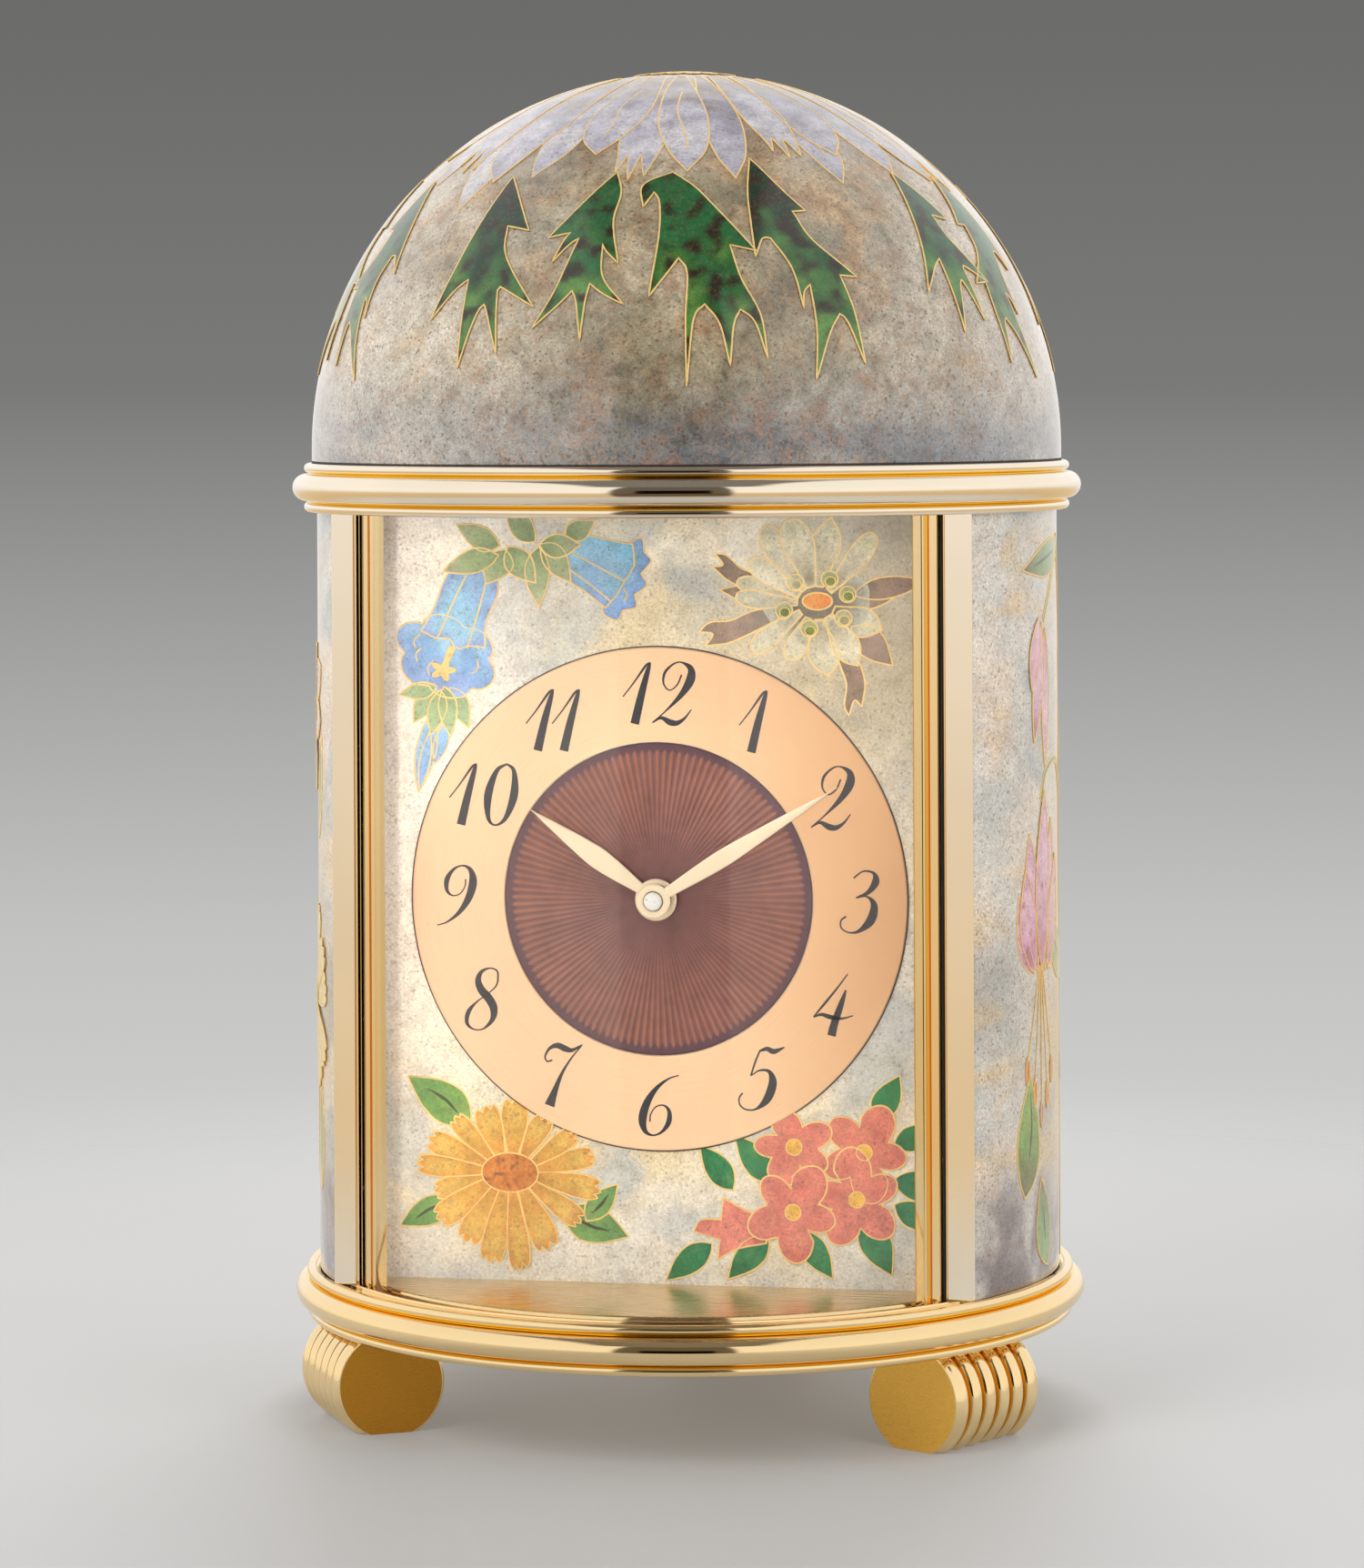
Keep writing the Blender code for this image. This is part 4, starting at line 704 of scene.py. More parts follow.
def dome_at(phi0):
    """A strip of the dome round the meridian at phi0: u across, v the arc length down from the top."""
    a = math.radians(phi0)
    er, et = Vector((math.sin(a), -math.cos(a), 0)), Vector((math.cos(a), math.sin(a), 0))

    def at(u, v, h):
        th, q = v / R_DOME, u / R_DOME
        d = (er * math.sin(th) + Vector((0, 0, math.cos(th)))) * math.cos(q) + et * math.sin(q)
        return (Vector((0, 0, Z_DOME)) + d * (R_DOME + h)) * MM
    return at


def run_spline(p, step):
    """A smooth open run through points."""
    if len(p) == 2:
        n = max(1, int(math.hypot(p[1][0] - p[0][0], p[1][1] - p[0][1]) / step))
        return [(p[0][0] + (p[1][0] - p[0][0]) * i / n, p[0][1] + (p[1][1] - p[0][1]) * i / n) for i in range(n)]
    q = [(2 * p[0][0] - p[1][0], 2 * p[0][1] - p[1][1])] + list(p) + [(2 * p[-1][0] - p[-2][0], 2 * p[-1][1] - p[-2][1])]
    out = []
    for i in range(1, len(q) - 2):
        a, b, c, d = q[i - 1], q[i], q[i + 1], q[i + 2]
        n = max(1, int(round(math.hypot(c[0] - b[0], c[1] - b[1]) / step)))
        for k in range(n):
            t = k / n
            out.append(tuple(0.5 * (2 * b[j] + (c[j] - a[j]) * t + (2 * a[j] - 5 * b[j] + 4 * c[j] - d[j]) * t * t + (3 * b[j] - a[j] - 3 * c[j] + d[j]) * t ** 3) for j in (0, 1)))
    return out


def spline(pts, closed=True, step=0.45):
    """A smooth line through points. A point with a third value is a sharp corner."""
    if not closed:
        cuts = [0] + [i for i in range(1, len(pts) - 1) if len(pts[i]) > 2] + [len(pts) - 1]
        out = []
        for a, b in zip(cuts, cuts[1:]):
            out += run_spline([q[:2] for q in pts[a:b + 1]], step)
        return out + [pts[-1][:2]]
    corners = [i for i, q in enumerate(pts) if len(q) > 2]
    if not corners:
        n = len(pts)
        ext = [q[:2] for q in pts[-2:] + pts + pts[:3]]
        out = []
        for i in range(2, n + 2):
            a, b, c, d = ext[i - 1], ext[i], ext[i + 1], ext[i + 2]
            m = max(1, int(round(math.hypot(c[0] - b[0], c[1] - b[1]) / step)))
            for k in range(m):
                t = k / m
                out.append(tuple(0.5 * (2 * b[j] + (c[j] - a[j]) * t + (2 * a[j] - 5 * b[j] + 4 * c[j] - d[j]) * t * t + (3 * b[j] - a[j] - 3 * c[j] + d[j]) * t ** 3) for j in (0, 1)))
        return out
    s = corners[0]
    pts = pts[s:] + pts[:s] + [pts[s]]
    return spline(pts, False, step)[:-1]


def inside(poly, x, y):
    px, py = np.array(poly).T
    qx, qy = np.roll(px, -1), np.roll(py, -1)
    x, y = np.asarray(x)[:, None], np.asarray(y)[:, None]
    hit = ((py > y) != (qy > y)) & (x < (qx - px) * (y - py) / np.where(qy == py, 1e-9, qy - py) + px)
    return hit.sum(1) % 2 == 1


def edge_dist(poly, x, y):
    p = np.array(poly)
    q = np.roll(p, -1, 0)
    d = q - p
    w = np.stack([np.asarray(x), np.asarray(y)], 1)[:, None, :] - p[None]
    t = np.clip((w * d).sum(2) / np.maximum((d * d).sum(1), 1e-9), 0, 1)
    return np.sqrt(((w - t[..., None] * d) ** 2).sum(2)).min(1)


H0, HL = 0.05, 0.045


class Motif:
    """Collects the enamel cells and the gold wires of one field, then makes one piece of each."""

    def __init__(self, name, body, seed=1):
        self.name, self.body, self.rnd = name, body, random.Random(seed)
        self.cv, self.cf, self.cc, self.wv, self.wf, self.count = [], [], [], [], [], 0

    def cell(self, at, pts, layer, col, wire=True, grid=1.0, w=0.27, open_at=None, hug=None):
        """A cell with outline pts. col(u, v, d) gives its linear colour at a point d mm inside the outline."""
        pts = [p for i, p in enumerate(pts) if math.hypot(p[0] - pts[i - 1][0], p[1] - pts[i - 1][1]) > 0.03]
        n = len(pts)
        if n < 3:
            return
        self.count += 1
        h = H0 + HL * layer + 0.0012 * (self.count % 41)    # no two cells lie at one height
        xs, ys = [p[0] for p in pts], [p[1] for p in pts]
        gx, gy = np.meshgrid(np.arange(min(xs) + grid / 2, max(xs), grid), np.arange(min(ys) + grid / 2, max(ys), grid * 0.87))
        gx = gx + (np.arange(gx.shape[0]) % 2)[:, None] * grid / 2
        gx, gy = gx.ravel(), gy.ravel()
        if len(gx):
            keep = inside(pts, gx, gy)
            gx, gy = gx[keep], gy[keep]
        if len(gx):
            keep = edge_dist(pts, gx, gy) > grid * 0.33
            gx, gy = gx[keep], gy[keep]
        co = [Vector(p) for p in pts] + [Vector((float(a), float(b))) for a, b in zip(gx, gy)]
        ov, oe, of, *_ = delaunay_2d_cdt(co, [(i, (i + 1) % n) for i in range(n)], [list(range(n))], 1, 1e-4, False)
        if not of:
            return
        mid = np.array([[sum(ov[k][j] for k in f) / 3 for j in (0, 1)] for f in of])
        of = [f for f, ok in zip(of, inside(pts, mid[:, 0], mid[:, 1])) if ok]
        if not of:
            return
        dd = edge_dist(pts, [p[0] for p in ov], [p[1] for p in ov])
        base = len(self.cv)
        m = len(ov)
        for i, p in enumerate(ov):
            c = col(p[0], p[1], float(dd[i]))
            self.cv.append(at(p[0], p[1], h))
            self.cc.append(c)
        for p in ov:
            self.cv.append(at(p[0], p[1], -0.03))
            self.cc.append((0.1, 0.07, 0.04))
        count = {}
        for f in of:
            a, b, c = (ov[k] for k in f)
            if (b[0] - a[0]) * (c[1] - a[1]) - (b[1] - a[1]) * (c[0] - a[0]) < 0:
                f = list(reversed(f))
            self.cf.append(tuple(base + k for k in f))
            self.cf.append(tuple(base + m + k for k in reversed(f)))
            for k in range(3):
                count[(f[k], f[(k + 1) % 3])] = 1
        for (a, b) in count:
            if (b, a) not in count:
                self.cf.append((base + b, base + a, base + m + a, base + m + b))
        if wire:
            self.wire(at, pts, layer, True, w)

    def wire(self, at, pts, layer, closed=False, w=0.27):
        P = np.array([p[:2] for p in pts], float)
        n = len(P)
        if n < 2:
            return
        if closed:
            d1, d2 = P - np.roll(P, 1, 0), np.roll(P, -1, 0) - P
        else:
            e = P[1:] - P[:-1]
            d1, d2 = np.vstack([e[:1], e]), np.vstack([e, e[-1:]])
        d1 /= np.maximum(np.linalg.norm(d1, axis=1), 1e-9)[:, None]
        d2 /= np.maximum(np.linalg.norm(d2, axis=1), 1e-9)[:, None]
        t = d1 + d2
        ln = np.linalg.norm(t, axis=1)
        t = np.where(ln[:, None] > 0.15, t / np.maximum(ln, 1e-9)[:, None], d2)
        k = 1 / np.maximum(np.abs((t * d1).sum(1)), 0.75)
        N = np.stack([-t[:, 1], t[:, 0]], 1) * k[:, None]
        h = H0 + HL * layer
        prof = [(-0.5, -0.10), (-0.5, 0.02), (-0.26, 0.062), (0.26, 0.062), (0.5, 0.02), (0.5, -0.10)]
        b0 = len(self.wv)
        for i in range(n):
            s = w * (1.0 + 0.16 * math.sin(i * 1.7) * math.sin(i * 0.37))
            for o, z in prof:
                self.wv.append(at(P[i, 0] + N[i, 0] * o * s, P[i, 1] + N[i, 1] * o * s, max(h + z, -0.03)))
        m = len(prof)
        for i in range(n if closed else n - 1):
            a, b = b0 + i * m, b0 + ((i + 1) % n) * m
            for j in range(m):
                j2 = (j + 1) % m
                self.wf.append((a + j, b + j, b + j2, a + j2))
        if not closed:
            self.wf.append(tuple(b0 + j for j in range(m)))
            self.wf.append(tuple(b0 + (n - 1) * m + j for j in reversed(range(m))))

    def build(self):
        if self.cf:
            ob = obj_from(self.name + "_enamel", self.cv, self.cf, M_CELLS, True, 30)
            a = ob.data.color_attributes.new(name="cell", type="FLOAT_COLOR", domain="POINT")
            a.data.foreach_set("color", np.array([(*c, 1.0) for c in self.cc], np.float32).ravel())
            take(ob, self.body, slot="enamel")
        if self.wf:
            ob = obj_from(self.name + "_wires", self.wv, self.wf, M_WIRE, True, 50)
            take(ob, self.body, slot="polished_gilt")


def mixc(a, b, t):
    t = min(1.0, max(0.0, t))
    return tuple(a[i] + (b[i] - a[i]) * t for i in range(3))


def n2(x, y, s, k=0.0):
    return noise.noise(Vector((x / s, y / s, k)))


def shade(stops, origin, end, seed=0.0, edge=None, spot=None, ns=3.0, na=0.22):
    """A colour that runs from origin to end through stops, with soft clouds, a darker edge and spots."""
    ox, oy = origin
    dx, dy = end[0] - ox, end[1] - oy
    L = max(dx * dx + dy * dy, 1e-9)

    def col(u, v, d):
        t = ((u - ox) * dx + (v - oy) * dy) / L + na * n2(u, v, ns, seed)
        t = min(1.0, max(0.0, t)) * (len(stops) - 1)
        i = min(int(t), len(stops) - 2)
        c = mixc(stops[i], stops[i + 1], t - i)
        if edge:
            c = mixc(edge[0], c, d / edge[1] + 0.4 * n2(u, v, 2.0, seed + 3))
        if spot:
            c = mixc(c, spot[0], (n2(u, v, spot[1], seed + 7) - spot[2]) * spot[3])
        return c
    return col


def rot(p, a):
    c, s = math.cos(math.radians(a)), math.sin(math.radians(a))
    return (p[0] * c - p[1] * s, p[0] * s + p[1] * c)


def place(pts, base, direction, length=1.0, width=1.0, bend=0.0):
    """Puts a shape drawn along +y, of length 1 and half width 1, at base, pointing to direction degrees, bent sideways."""
    out = []
    for p in pts:
        x, y = p[0] * width, p[1] * length
        x += bend * p[1] * p[1] * length
        q = rot((x, y), direction - 90)
        out.append((base[0] + q[0], base[1] + q[1]) + tuple(p[2:]))
    return out


LEAF = [(0, 0, 1), (0.62, 0.16), (0.98, 0.38), (0.82, 0.64), (0.36, 0.86), (0, 1, 1), (-0.40, 0.84), (-0.88, 0.60), (-1.0, 0.34), (-0.6, 0.13)]
SLIM = [(0, 0, 1), (0.5, 0.15), (0.92, 0.42), (0.80, 0.68), (0.34, 0.90), (0, 1, 1), (-0.36, 0.88), (-0.84, 0.64), (-0.92, 0.38), (-0.48, 0.13)]
PETAL = [(0.30, 0, 1), (0.62, 0.28), (0.98, 0.62), (0.86, 0.86), (0.42, 0.985), (0, 1.0), (-0.42, 0.985), (-0.86, 0.86), (-0.98, 0.62), (-0.62, 0.28), (-0.30, 0, 1)]
POINTED = [(0.26, 0, 1), (0.62, 0.26), (0.98, 0.56), (0.74, 0.80), (0, 1.0, 1), (-0.74, 0.80), (-0.98, 0.56), (-0.62, 0.26), (-0.26, 0, 1)]
NOTCHED = [(0.30, 0, 1), (0.60, 0.26), (0.92, 0.60), (0.98, 0.86), (0.72, 0.99), (0.46, 0.93, 1), (0.20, 1.02), (-0.04, 1.0), (-0.22, 0.92, 1), (-0.56, 0.99), (-0.88, 0.90), (-0.98, 0.66), (-0.62, 0.28), (-0.30, 0, 1)]

GREEN_A, GREEN_B, GREEN_C = lin(132, 164, 92), lin(158, 178, 112), lin(96, 134, 74)
DKG_A, DKG_B, DKG_C = lin(24, 92, 62), lin(48, 122, 70), lin(20, 66, 44)


def leaf(m, at, base, direction, length, width, layer, stops, bend=0.0, shape=LEAF, rib=None, seed=0.0, edge=None, spot=None):
    pts = spline(place(shape, base, direction, length, width, bend))
    tip = place([(0, 1)], base, direction, length, width, bend)[0]
    m.cell(at, pts, layer, shade(stops, base, tip, seed, edge=edge, spot=spot))
    if rib:
        a, b, w, c = rib
        mid = [(0.0, a), (0.10, (a + b) / 2), (0.0, b)]
        line = spline(place(mid, base, direction, length, width, bend), False)
        n = len(line)
        L, R = [], []
        for i, p in enumerate(line):
            q, r = line[max(i - 1, 0)], line[min(i + 1, n - 1)]
            tx, ty = r[0] - q[0], r[1] - q[1]
            k = math.hypot(tx, ty) or 1
            s = w * math.sin(math.pi * (0.06 + 0.90 * i / (n - 1)))
            L.append((p[0] - ty / k * s, p[1] + tx / k * s))
            R.append((p[0] + ty / k * s, p[1] - tx / k * s))
        m.cell(at, L + R[::-1], layer + 0.12, lambda u, v, d: c, wire=False, grid=0.6)


def disc(cx, cy, rx, ry, n=36, turn=0.0, wob=0.0, seed=0.0):
    out = []
    for i in range(n):
        a = 2 * math.pi * i / n
        k = 1 + wob * n2(math.cos(a) * 3, math.sin(a) * 3, 2.0, seed)
        x, y = rot((rx * k * math.cos(a), ry * k * math.sin(a)), turn)
        out.append((cx + x, cy + y))
    return out


# ---- dial, upper left: two bellflowers
dm = Motif("dial_motif", "case", 11)
BL_A, BL_B, BL_C = lin(118, 154, 196), lin(140, 182, 208), lin(124, 138, 184)


def bell(m, at, neck, mouth, wn, wm, layer, front, seed):
    L = math.hypot(mouth[0] - neck[0], mouth[1] - neck[1])
    d = math.degrees(math.atan2(mouth[1] - neck[1], mouth[0] - neck[0]))
    f = lambda pts: place(pts, neck, d, L, 1.0)
    e = 0.80 if front else 0.99
    cup = [(-wn, 0.04, 1), (-wn * 1.25, 0.22), (-wm * 0.62, 0.50), (-wm * 0.80, e - 0.06, 1)]
    low = [(-wm * 0.45, e - 0.02), (-wm * 0.16, e + 0.05), (wm * 0.08, e - 0.01), (wm * 0.40, e + 0.03), (wm * 0.80, e + 0.02, 1)]
    back = [(wm * 0.70, 0.55), (wn * 1.35, 0.24), (wn, 0.02, 1), (0, -0.02)]
    if front:
        n = 6
        sk = []
        for i in range(66):
            a = 2 * math.pi * i / 66
            c = abs(math.cos(n * a / 2 + 0.5))
            r = (0.92 + 0.26 * c ** 0.6) * (1 + 0.07 * n2(math.cos(a), math.sin(a), 0.7, seed))
            sk.append((wm * r * math.cos(a) * 1.10, 0.96 + 0.33 * r * math.sin(a) * 1.05))
        m.cell(at, f(sk), layer + 2, shade([lin(154, 194, 214), BL_A, lin(132, 156, 202)], *f([(0, 0.72), (0, 1.22)]), seed, na=0.5, ns=3.2, edge=(lin(138, 162, 208), 1.8)))
        m.cell(at, spline(f(cup + low + back)), layer + 3, shade([lin(130, 154, 198), BL_B, lin(148, 188, 212)], *f([(0, 0), (0, 0.9)]), seed + 2, na=0.4, edge=(lin(140, 156, 208), 1.2)))
        for x0, x1 in ((-wn * 0.45, -wm * 0.40), (wn * 0.40, wm * 0.36)):
            m.wire(at, spline(f([(x0, 0.02), ((x0 + x1) / 2 * 1.08, 0.40), (x1, e + 0.01)]), False), layer + 3)
        for x, y, k in ((-0.72, 0.93, 1), (0.62, 1.02, -1), (0.24, 1.10, -1), (0.78, 0.90, -1)):
            m.wire(at, spline(f([(x * wm, y + 0.10), ((x - 0.10 * k) * wm, y + 0.03), ((x - 0.02 * k) * wm, y - 0.05)]), False), layer + 2)
        gold = lin(232, 190, 118)
        stem = [(-0.55, e + 0.06), (-0.42, 1.02), (-0.50, 1.06), (0.48, 1.06), (0.42, 1.02), (0.5, e + 0.06)]
        m.cell(at, f([(x - 0.3, y) for x, y in stem]), layer + 4, lambda u, v, dd: gold, grid=0.8, w=0.2)
        c = f([(-0.3, 1.10)])[0]
        star = [(c[0] + (1.55 + 0.55 * math.cos(5 * t)) * math.cos(t), c[1] + (1.25 + 0.45 * math.cos(5 * t)) * math.sin(t)) for t in [2 * math.pi * i / 40 for i in range(40)]]
        m.cell(at, star, layer + 5, lambda u, v, dd: gold, grid=0.8, w=0.2)
    else:
        rim = [(-wm * 0.86, 0.86, 1), (-wm * 1.05, 0.98), (-wm * 0.78, 1.08, 1), (-wm * 0.66, 1.20), (-wm * 0.28, 1.15, 1), (-wm * 0.08, 1.27), (wm * 0.24, 1.18, 1), (wm * 0.50, 1.26), (wm * 0.70, 1.12, 1), (wm * 0.98, 1.10), (wm * 0.98, 0.92), (wm * 0.80, 0.84, 1)]
        m.cell(at, spline(f(rim)), layer + 2, shade([lin(138, 170, 218), BL_B], *f([(wm, 1.0), (-wm, 1.0)]), seed, na=0.4, edge=(lin(122, 150, 208), 1.5)))
        cup = [(-wn, 0.02, 1), (-wn * 1.3, 0.25), (-wm * 0.70, 0.60), (-wm * 0.84, 0.90, 1), (-wm * 0.40, 1.02), (wm * 0.05, 0.99, 1), (wm * 0.45, 0.96), (wm * 0.82, 0.90, 1), (wm * 0.66, 0.56), (wn * 1.3, 0.22), (wn, 0.02, 1)]
        m.cell(at, spline(f(cup)), layer + 3, shade([lin(124, 190, 222), BL_B, lin(128, 152, 204)], *f([(-wm, 0.3), (wm * 1.1, 0.6)]), seed + 2, na=0.35))
        m.wire(at, spline(f([(-wn * 0.15, 0.04), (-wm * 0.02, 0.50), (wm * 0.05, 0.99)]), False), layer + 3)
        m.wire(at, spline(f([(wn * 0.62, 0.06), (wm * 0.42, 0.50), (wm * 0.62, 0.92)]), False), layer + 3)
        m.wire(at, spline(f([(wm * 0.22, 1.02), (wm * 0.34, 1.09), (wm * 0.50, 1.08)]), False), layer + 2)


for b, d, L, w, s in (((-25.2, 55.6), 164, 7.6, 1.9, 1), ((-25.4, 54.0), 188, 9.4, 1.9, 2), ((-24.4, 55.0), 250, 6.2, 2.3, 3), ((-23.9, 55.4), 300, 7.2, 2.2, 4), ((-19.4, 56.2), 137, 7.8, 1.9, 5),
                      ((-18.9, 55.4), 262, 9.6, 2.0, 6), ((-18.6, 55.8), 318, 7.6, 2.0, 7), ((-18.8, 55.7), 352, 6.6, 1.9, 8), ((-14.4, 56.4), 44, 5.4, 1.7, 9)):
    leaf(dm, on_dial, b, d, L, w, 5 + (s % 3), [lin(122, 142, 88), lin(150, 162, 112), lin(172, 168, 132)], bend=0.16 if s % 2 else -0.14, seed=s * 3.1)
bell(dm, on_dial, (-28.4, 52.4), (-34.2, 37.4), 3.4, 6.6, 0, True, 4.0)
bell(dm, on_dial, (-16.2, 55.2), (-4.9, 50.2), 2.9, 6.6, 0, False, 9.0)
for b, d, L, w, s in (((-35.6, 33.2), 197, 6.2, 1.3, 1), ((-36.0, 33.6), 246, 7.0, 1.7, 2), ((-34.4, 33.2), 282, 8.0, 1.5, 3), ((-33.4, 33.0), 300, 7.0, 1.6, 4), ((-35.0, 32.6), 262, 7.2, 1.5, 5)):
    leaf(dm, on_dial, b, d, L, w, 1 + s % 2, [lin(132, 152, 108), lin(160, 174, 132)], bend=0.08, seed=s * 2.3)
for b, d, L, w, s in (((-37.2, 27.8), 263, 11.6, 1.35, 1), ((-35.8, 27.4), 256, 11.0, 1.25, 2), ((-34.0, 27.6), 254, 7.0, 1.2, 3)):
    leaf(dm, on_dial, b, d, L, w, 0, [lin(150, 190, 222), lin(128, 160, 212)], seed=s * 1.3, shape=SLIM)

# ---- dial, upper right: a pale star flower with brown leaves under it
EC = (25.4, 46.6)
for d, r0, r1, w, s, bend in ((196, 6.5, 19.0, 1.9, 1, -0.10), (160, 6.5, 17.6, 1.6, 2, 0.05), (14, 6.0, 18.2, 1.7, 3, 0.06), (4, 4.0, 14.0, 1.7, 4, -0.12), (-38, 7.0, 15.8, 2.3, 5, 0.08), (-63, 8.0, 18.6, 1.8, 6, 0.20), (172, 7.0, 15.4, 1.4, 7, 0)):
    a = math.radians(d)
    sh = [(0.5, 0, 1), (0.75, 0.3), (0.7, 0.6), (1.25, 0.86), (0.95, 1.02, 1), (0.25, 0.86), (-0.35, 0.99, 1), (-0.95, 0.70), (-0.9, 0.35), (-0.5, 0, 1)] if s in (1, 2, 6) else LEAF
    leaf(dm, on_dial, (EC[0] + r0 * math.cos(a), EC[1] + r0 * math.sin(a) * 0.86), d, (r1 - r0), w, 0 + s % 2, [lin(112, 98, 84), lin(146, 118, 100), lin(132, 110, 94)], bend=bend, shape=sh, seed=s * 1.9)
dm.cell(on_dial, disc(EC[0], EC[1], 8.8, 6.6, 40, 0, 0.25, 3.0), 1.4, lambda u, v, d: mixc(lin(188, 182, 164), lin(116, 104, 88), d / 4.2 + 0.3 * n2(u, v, 2.4, 5)), wire=False)
for d, r, w, s in ((127, 14.4, 2.0, 1), (105, 13.6, 2.5, 2), (82, 13.6, 2.4, 3), (47, 14.2, 1.8, 4), (150, 12.4, 1.7, 5), (163, 13.0, 1.4, 6), (178, 12.8, 1.4, 7), (214, 12.6, 1.6, 8), (246, 9.8, 1.7, 9),
                   (277, 11.6, 2.5, 10), (306, 11.8, 2.2, 11), (336, 11.2, 2.4, 12)):
    a = math.radians(d)
    b = (EC[0] + 3.0 * math.cos(a), EC[1] + 2.6 * math.sin(a))
    e = (EC[0] + r * math.cos(a), EC[1] + r * math.sin(a))
    L = math.hypot(e[0] - b[0], e[1] - b[1])
    dd = math.degrees(math.atan2(e[1] - b[1], e[0] - b[0]))
    sh = POINTED if s in (3, 10, 11, 12) else PETAL
    leaf(dm, on_dial, b, dd, L, w, 2 + s % 3, [lin(120, 104, 84), lin(190, 176, 148), lin(216, 204, 178), lin(198, 190, 150)], bend=0.05 * (1 if s % 2 else -1), shape=sh, seed=s * 4.1, edge=(lin(208, 196, 168), 0.5))
for i, a in enumerate((20, 66, 128, 196, 258, 325)):
    t = math.radians(a)
    c = (EC[0] + 5.3 * math.cos(t), EC[1] + 4.1 * math.sin(t))
    olive = [lin(128, 138, 52), lin(120, 130, 58), lin(186, 178, 140), lin(104, 120, 50), lin(134, 142, 50), lin(150, 138, 100)][i]
    dm.cell(on_dial, disc(c[0], c[1], 1.32, 1.30, 24), 6, lambda u, v, d, o=olive: mixc(lin(196, 190, 160), o, 0.55 + 0.4 * n2(u, v, 1.2, 4)), grid=0.7, w=0.22)
    dm.cell(on_dial, disc(c[0] + 0.12, c[1] - 0.34, 0.82, 0.74, 20), 7, lambda u, v, d, o=olive: mixc(o, lin(70, 90, 40), 0.3 + 0.4 * n2(u, v, 1.0, 9)), grid=0.7, w=0.18)
dm.cell(on_dial, disc(EC[0] + 0.2, EC[1] + 0.3, 2.35, 1.35, 30), 7, shade([lin(222, 150, 70), lin(216, 124, 60)], (EC[0] - 2, EC[1]), (EC[0] + 2, EC[1]), 2.0), grid=0.7)

# ---- dial, lower left: an orange daisy
DC = (-24.0, -43.6)
for b, d, L, w, s, bend in (((-30.4, -36.4), 134, 12.6, 3.2, 1, -0.16), ((-33.6, -47.6), 218, 9.6, 2.3, 2, 0.14), ((-15.6, -49.6), 335, 11.2, 3.0, 3, -0.10), ((-11.8, -51.0), 52, 7.8, 1.9, 4, 0.05)):
    leaf(dm, on_dial, b, d, L, w, 0 + (s == 4), [lin(128, 156, 84), lin(108, 148, 76), lin(96, 134, 78)], bend=bend, rib=(0.22, 0.72, 0.26, lin(58, 70, 44)), seed=s * 2.7)
OR_A, OR_B, OR_C = lin(196, 130, 56), lin(210, 162, 74), lin(220, 180, 98)
rd = random.Random(7)
for i, (d, r, w, s) in enumerate(((12, 13.8, 1.7, 1), (31, 12.4, 1.6, 2), (58, 10.6, 1.8, 3), (84, 11.8, 2.2, 4), (112, 11.2, 2.1, 5), (136, 12.4, 1.6, 6), (157, 14.0, 1.9, 7), (176, 15.0, 1.7, 8), (194, 12.6, 1.6, 9), (214, 14.0, 2.1, 10),
                                (236, 13.4, 2.1, 11), (256, 14.8, 2.0, 12), (276, 15.6, 1.8, 13), (299, 13.6, 2.2, 14), (325, 13.6, 1.8, 15), (349, 14.6, 1.9, 16))):
    a = math.radians(d)
    e = (DC[0] + r * math.cos(a), DC[1] + r * math.sin(a) * 0.98)
    b = (DC[0] + 3.6 * math.cos(a), DC[1] + 2.3 * math.sin(a))
    L = math.hypot(e[0] - b[0], e[1] - b[1])
    dd = math.degrees(math.atan2(e[1] - b[1], e[0] - b[0]))
    leaf(dm, on_dial, b, dd, L, w, 2 + (i * 2) % 5, [OR_A, OR_B, mixc(OR_B, OR_C, 0.7)], bend=0.05 * rd.uniform(-1, 1), shape=NOTCHED, seed=s * 1.7, edge=(lin(208, 142, 60), 0.7), spot=(lin(202, 126, 60), 1.4, 0.28, 1.6))
dm.cell(on_dial, disc(DC[0], DC[1], 4.55, 3.1, 44), 7, lambda u, v, d: mixc(mixc(lin(196, 110, 48), lin(206, 128, 56), 0.5 + n2(u, v, 1.6, 2)), lin(96, 56, 34), (n2(u, v, 0.75, 8) - 0.18) * 2.6), grid=0.5)

# ---- dial, lower right: a spray of red blossoms
R_A, R_B, R_C = lin(196, 98, 86), lin(212, 122, 106), lin(222, 142, 118)
for b, d, L, w, s in (((34.6, -34.4), 67, 8.2, 2.2, 1), ((37.2, -38.2), 22, 7.6, 2.0, 2), ((37.0, -43.6), 350, 9.4, 2.3, 3), ((37.2, -47.2), 330, 8.6, 2.1, 4), ((32.0, -49.4), 302, 10.2, 2.6, 5), ((22.6, -51.6), 300, 9.0, 2.1, 6),
                      ((18.4, -44.2), 134, 9.8, 2.2, 7), ((11.8, -45.6), 124, 8.8, 2.1, 8), ((17.2, -52.4), 232, 9.6, 2.2, 9), ((8.4, -54.0), 216, 9.6, 2.1, 10)):
    leaf(dm, on_dial, b, d, L, w, s % 2, [lin(26, 104, 70), lin(50, 126, 78), lin(40, 112, 66)], bend=0.06 * (1 if s % 2 else -1), seed=s * 3.3, spot=(lin(90, 140, 80), 2.0, 0.25, 1.4))


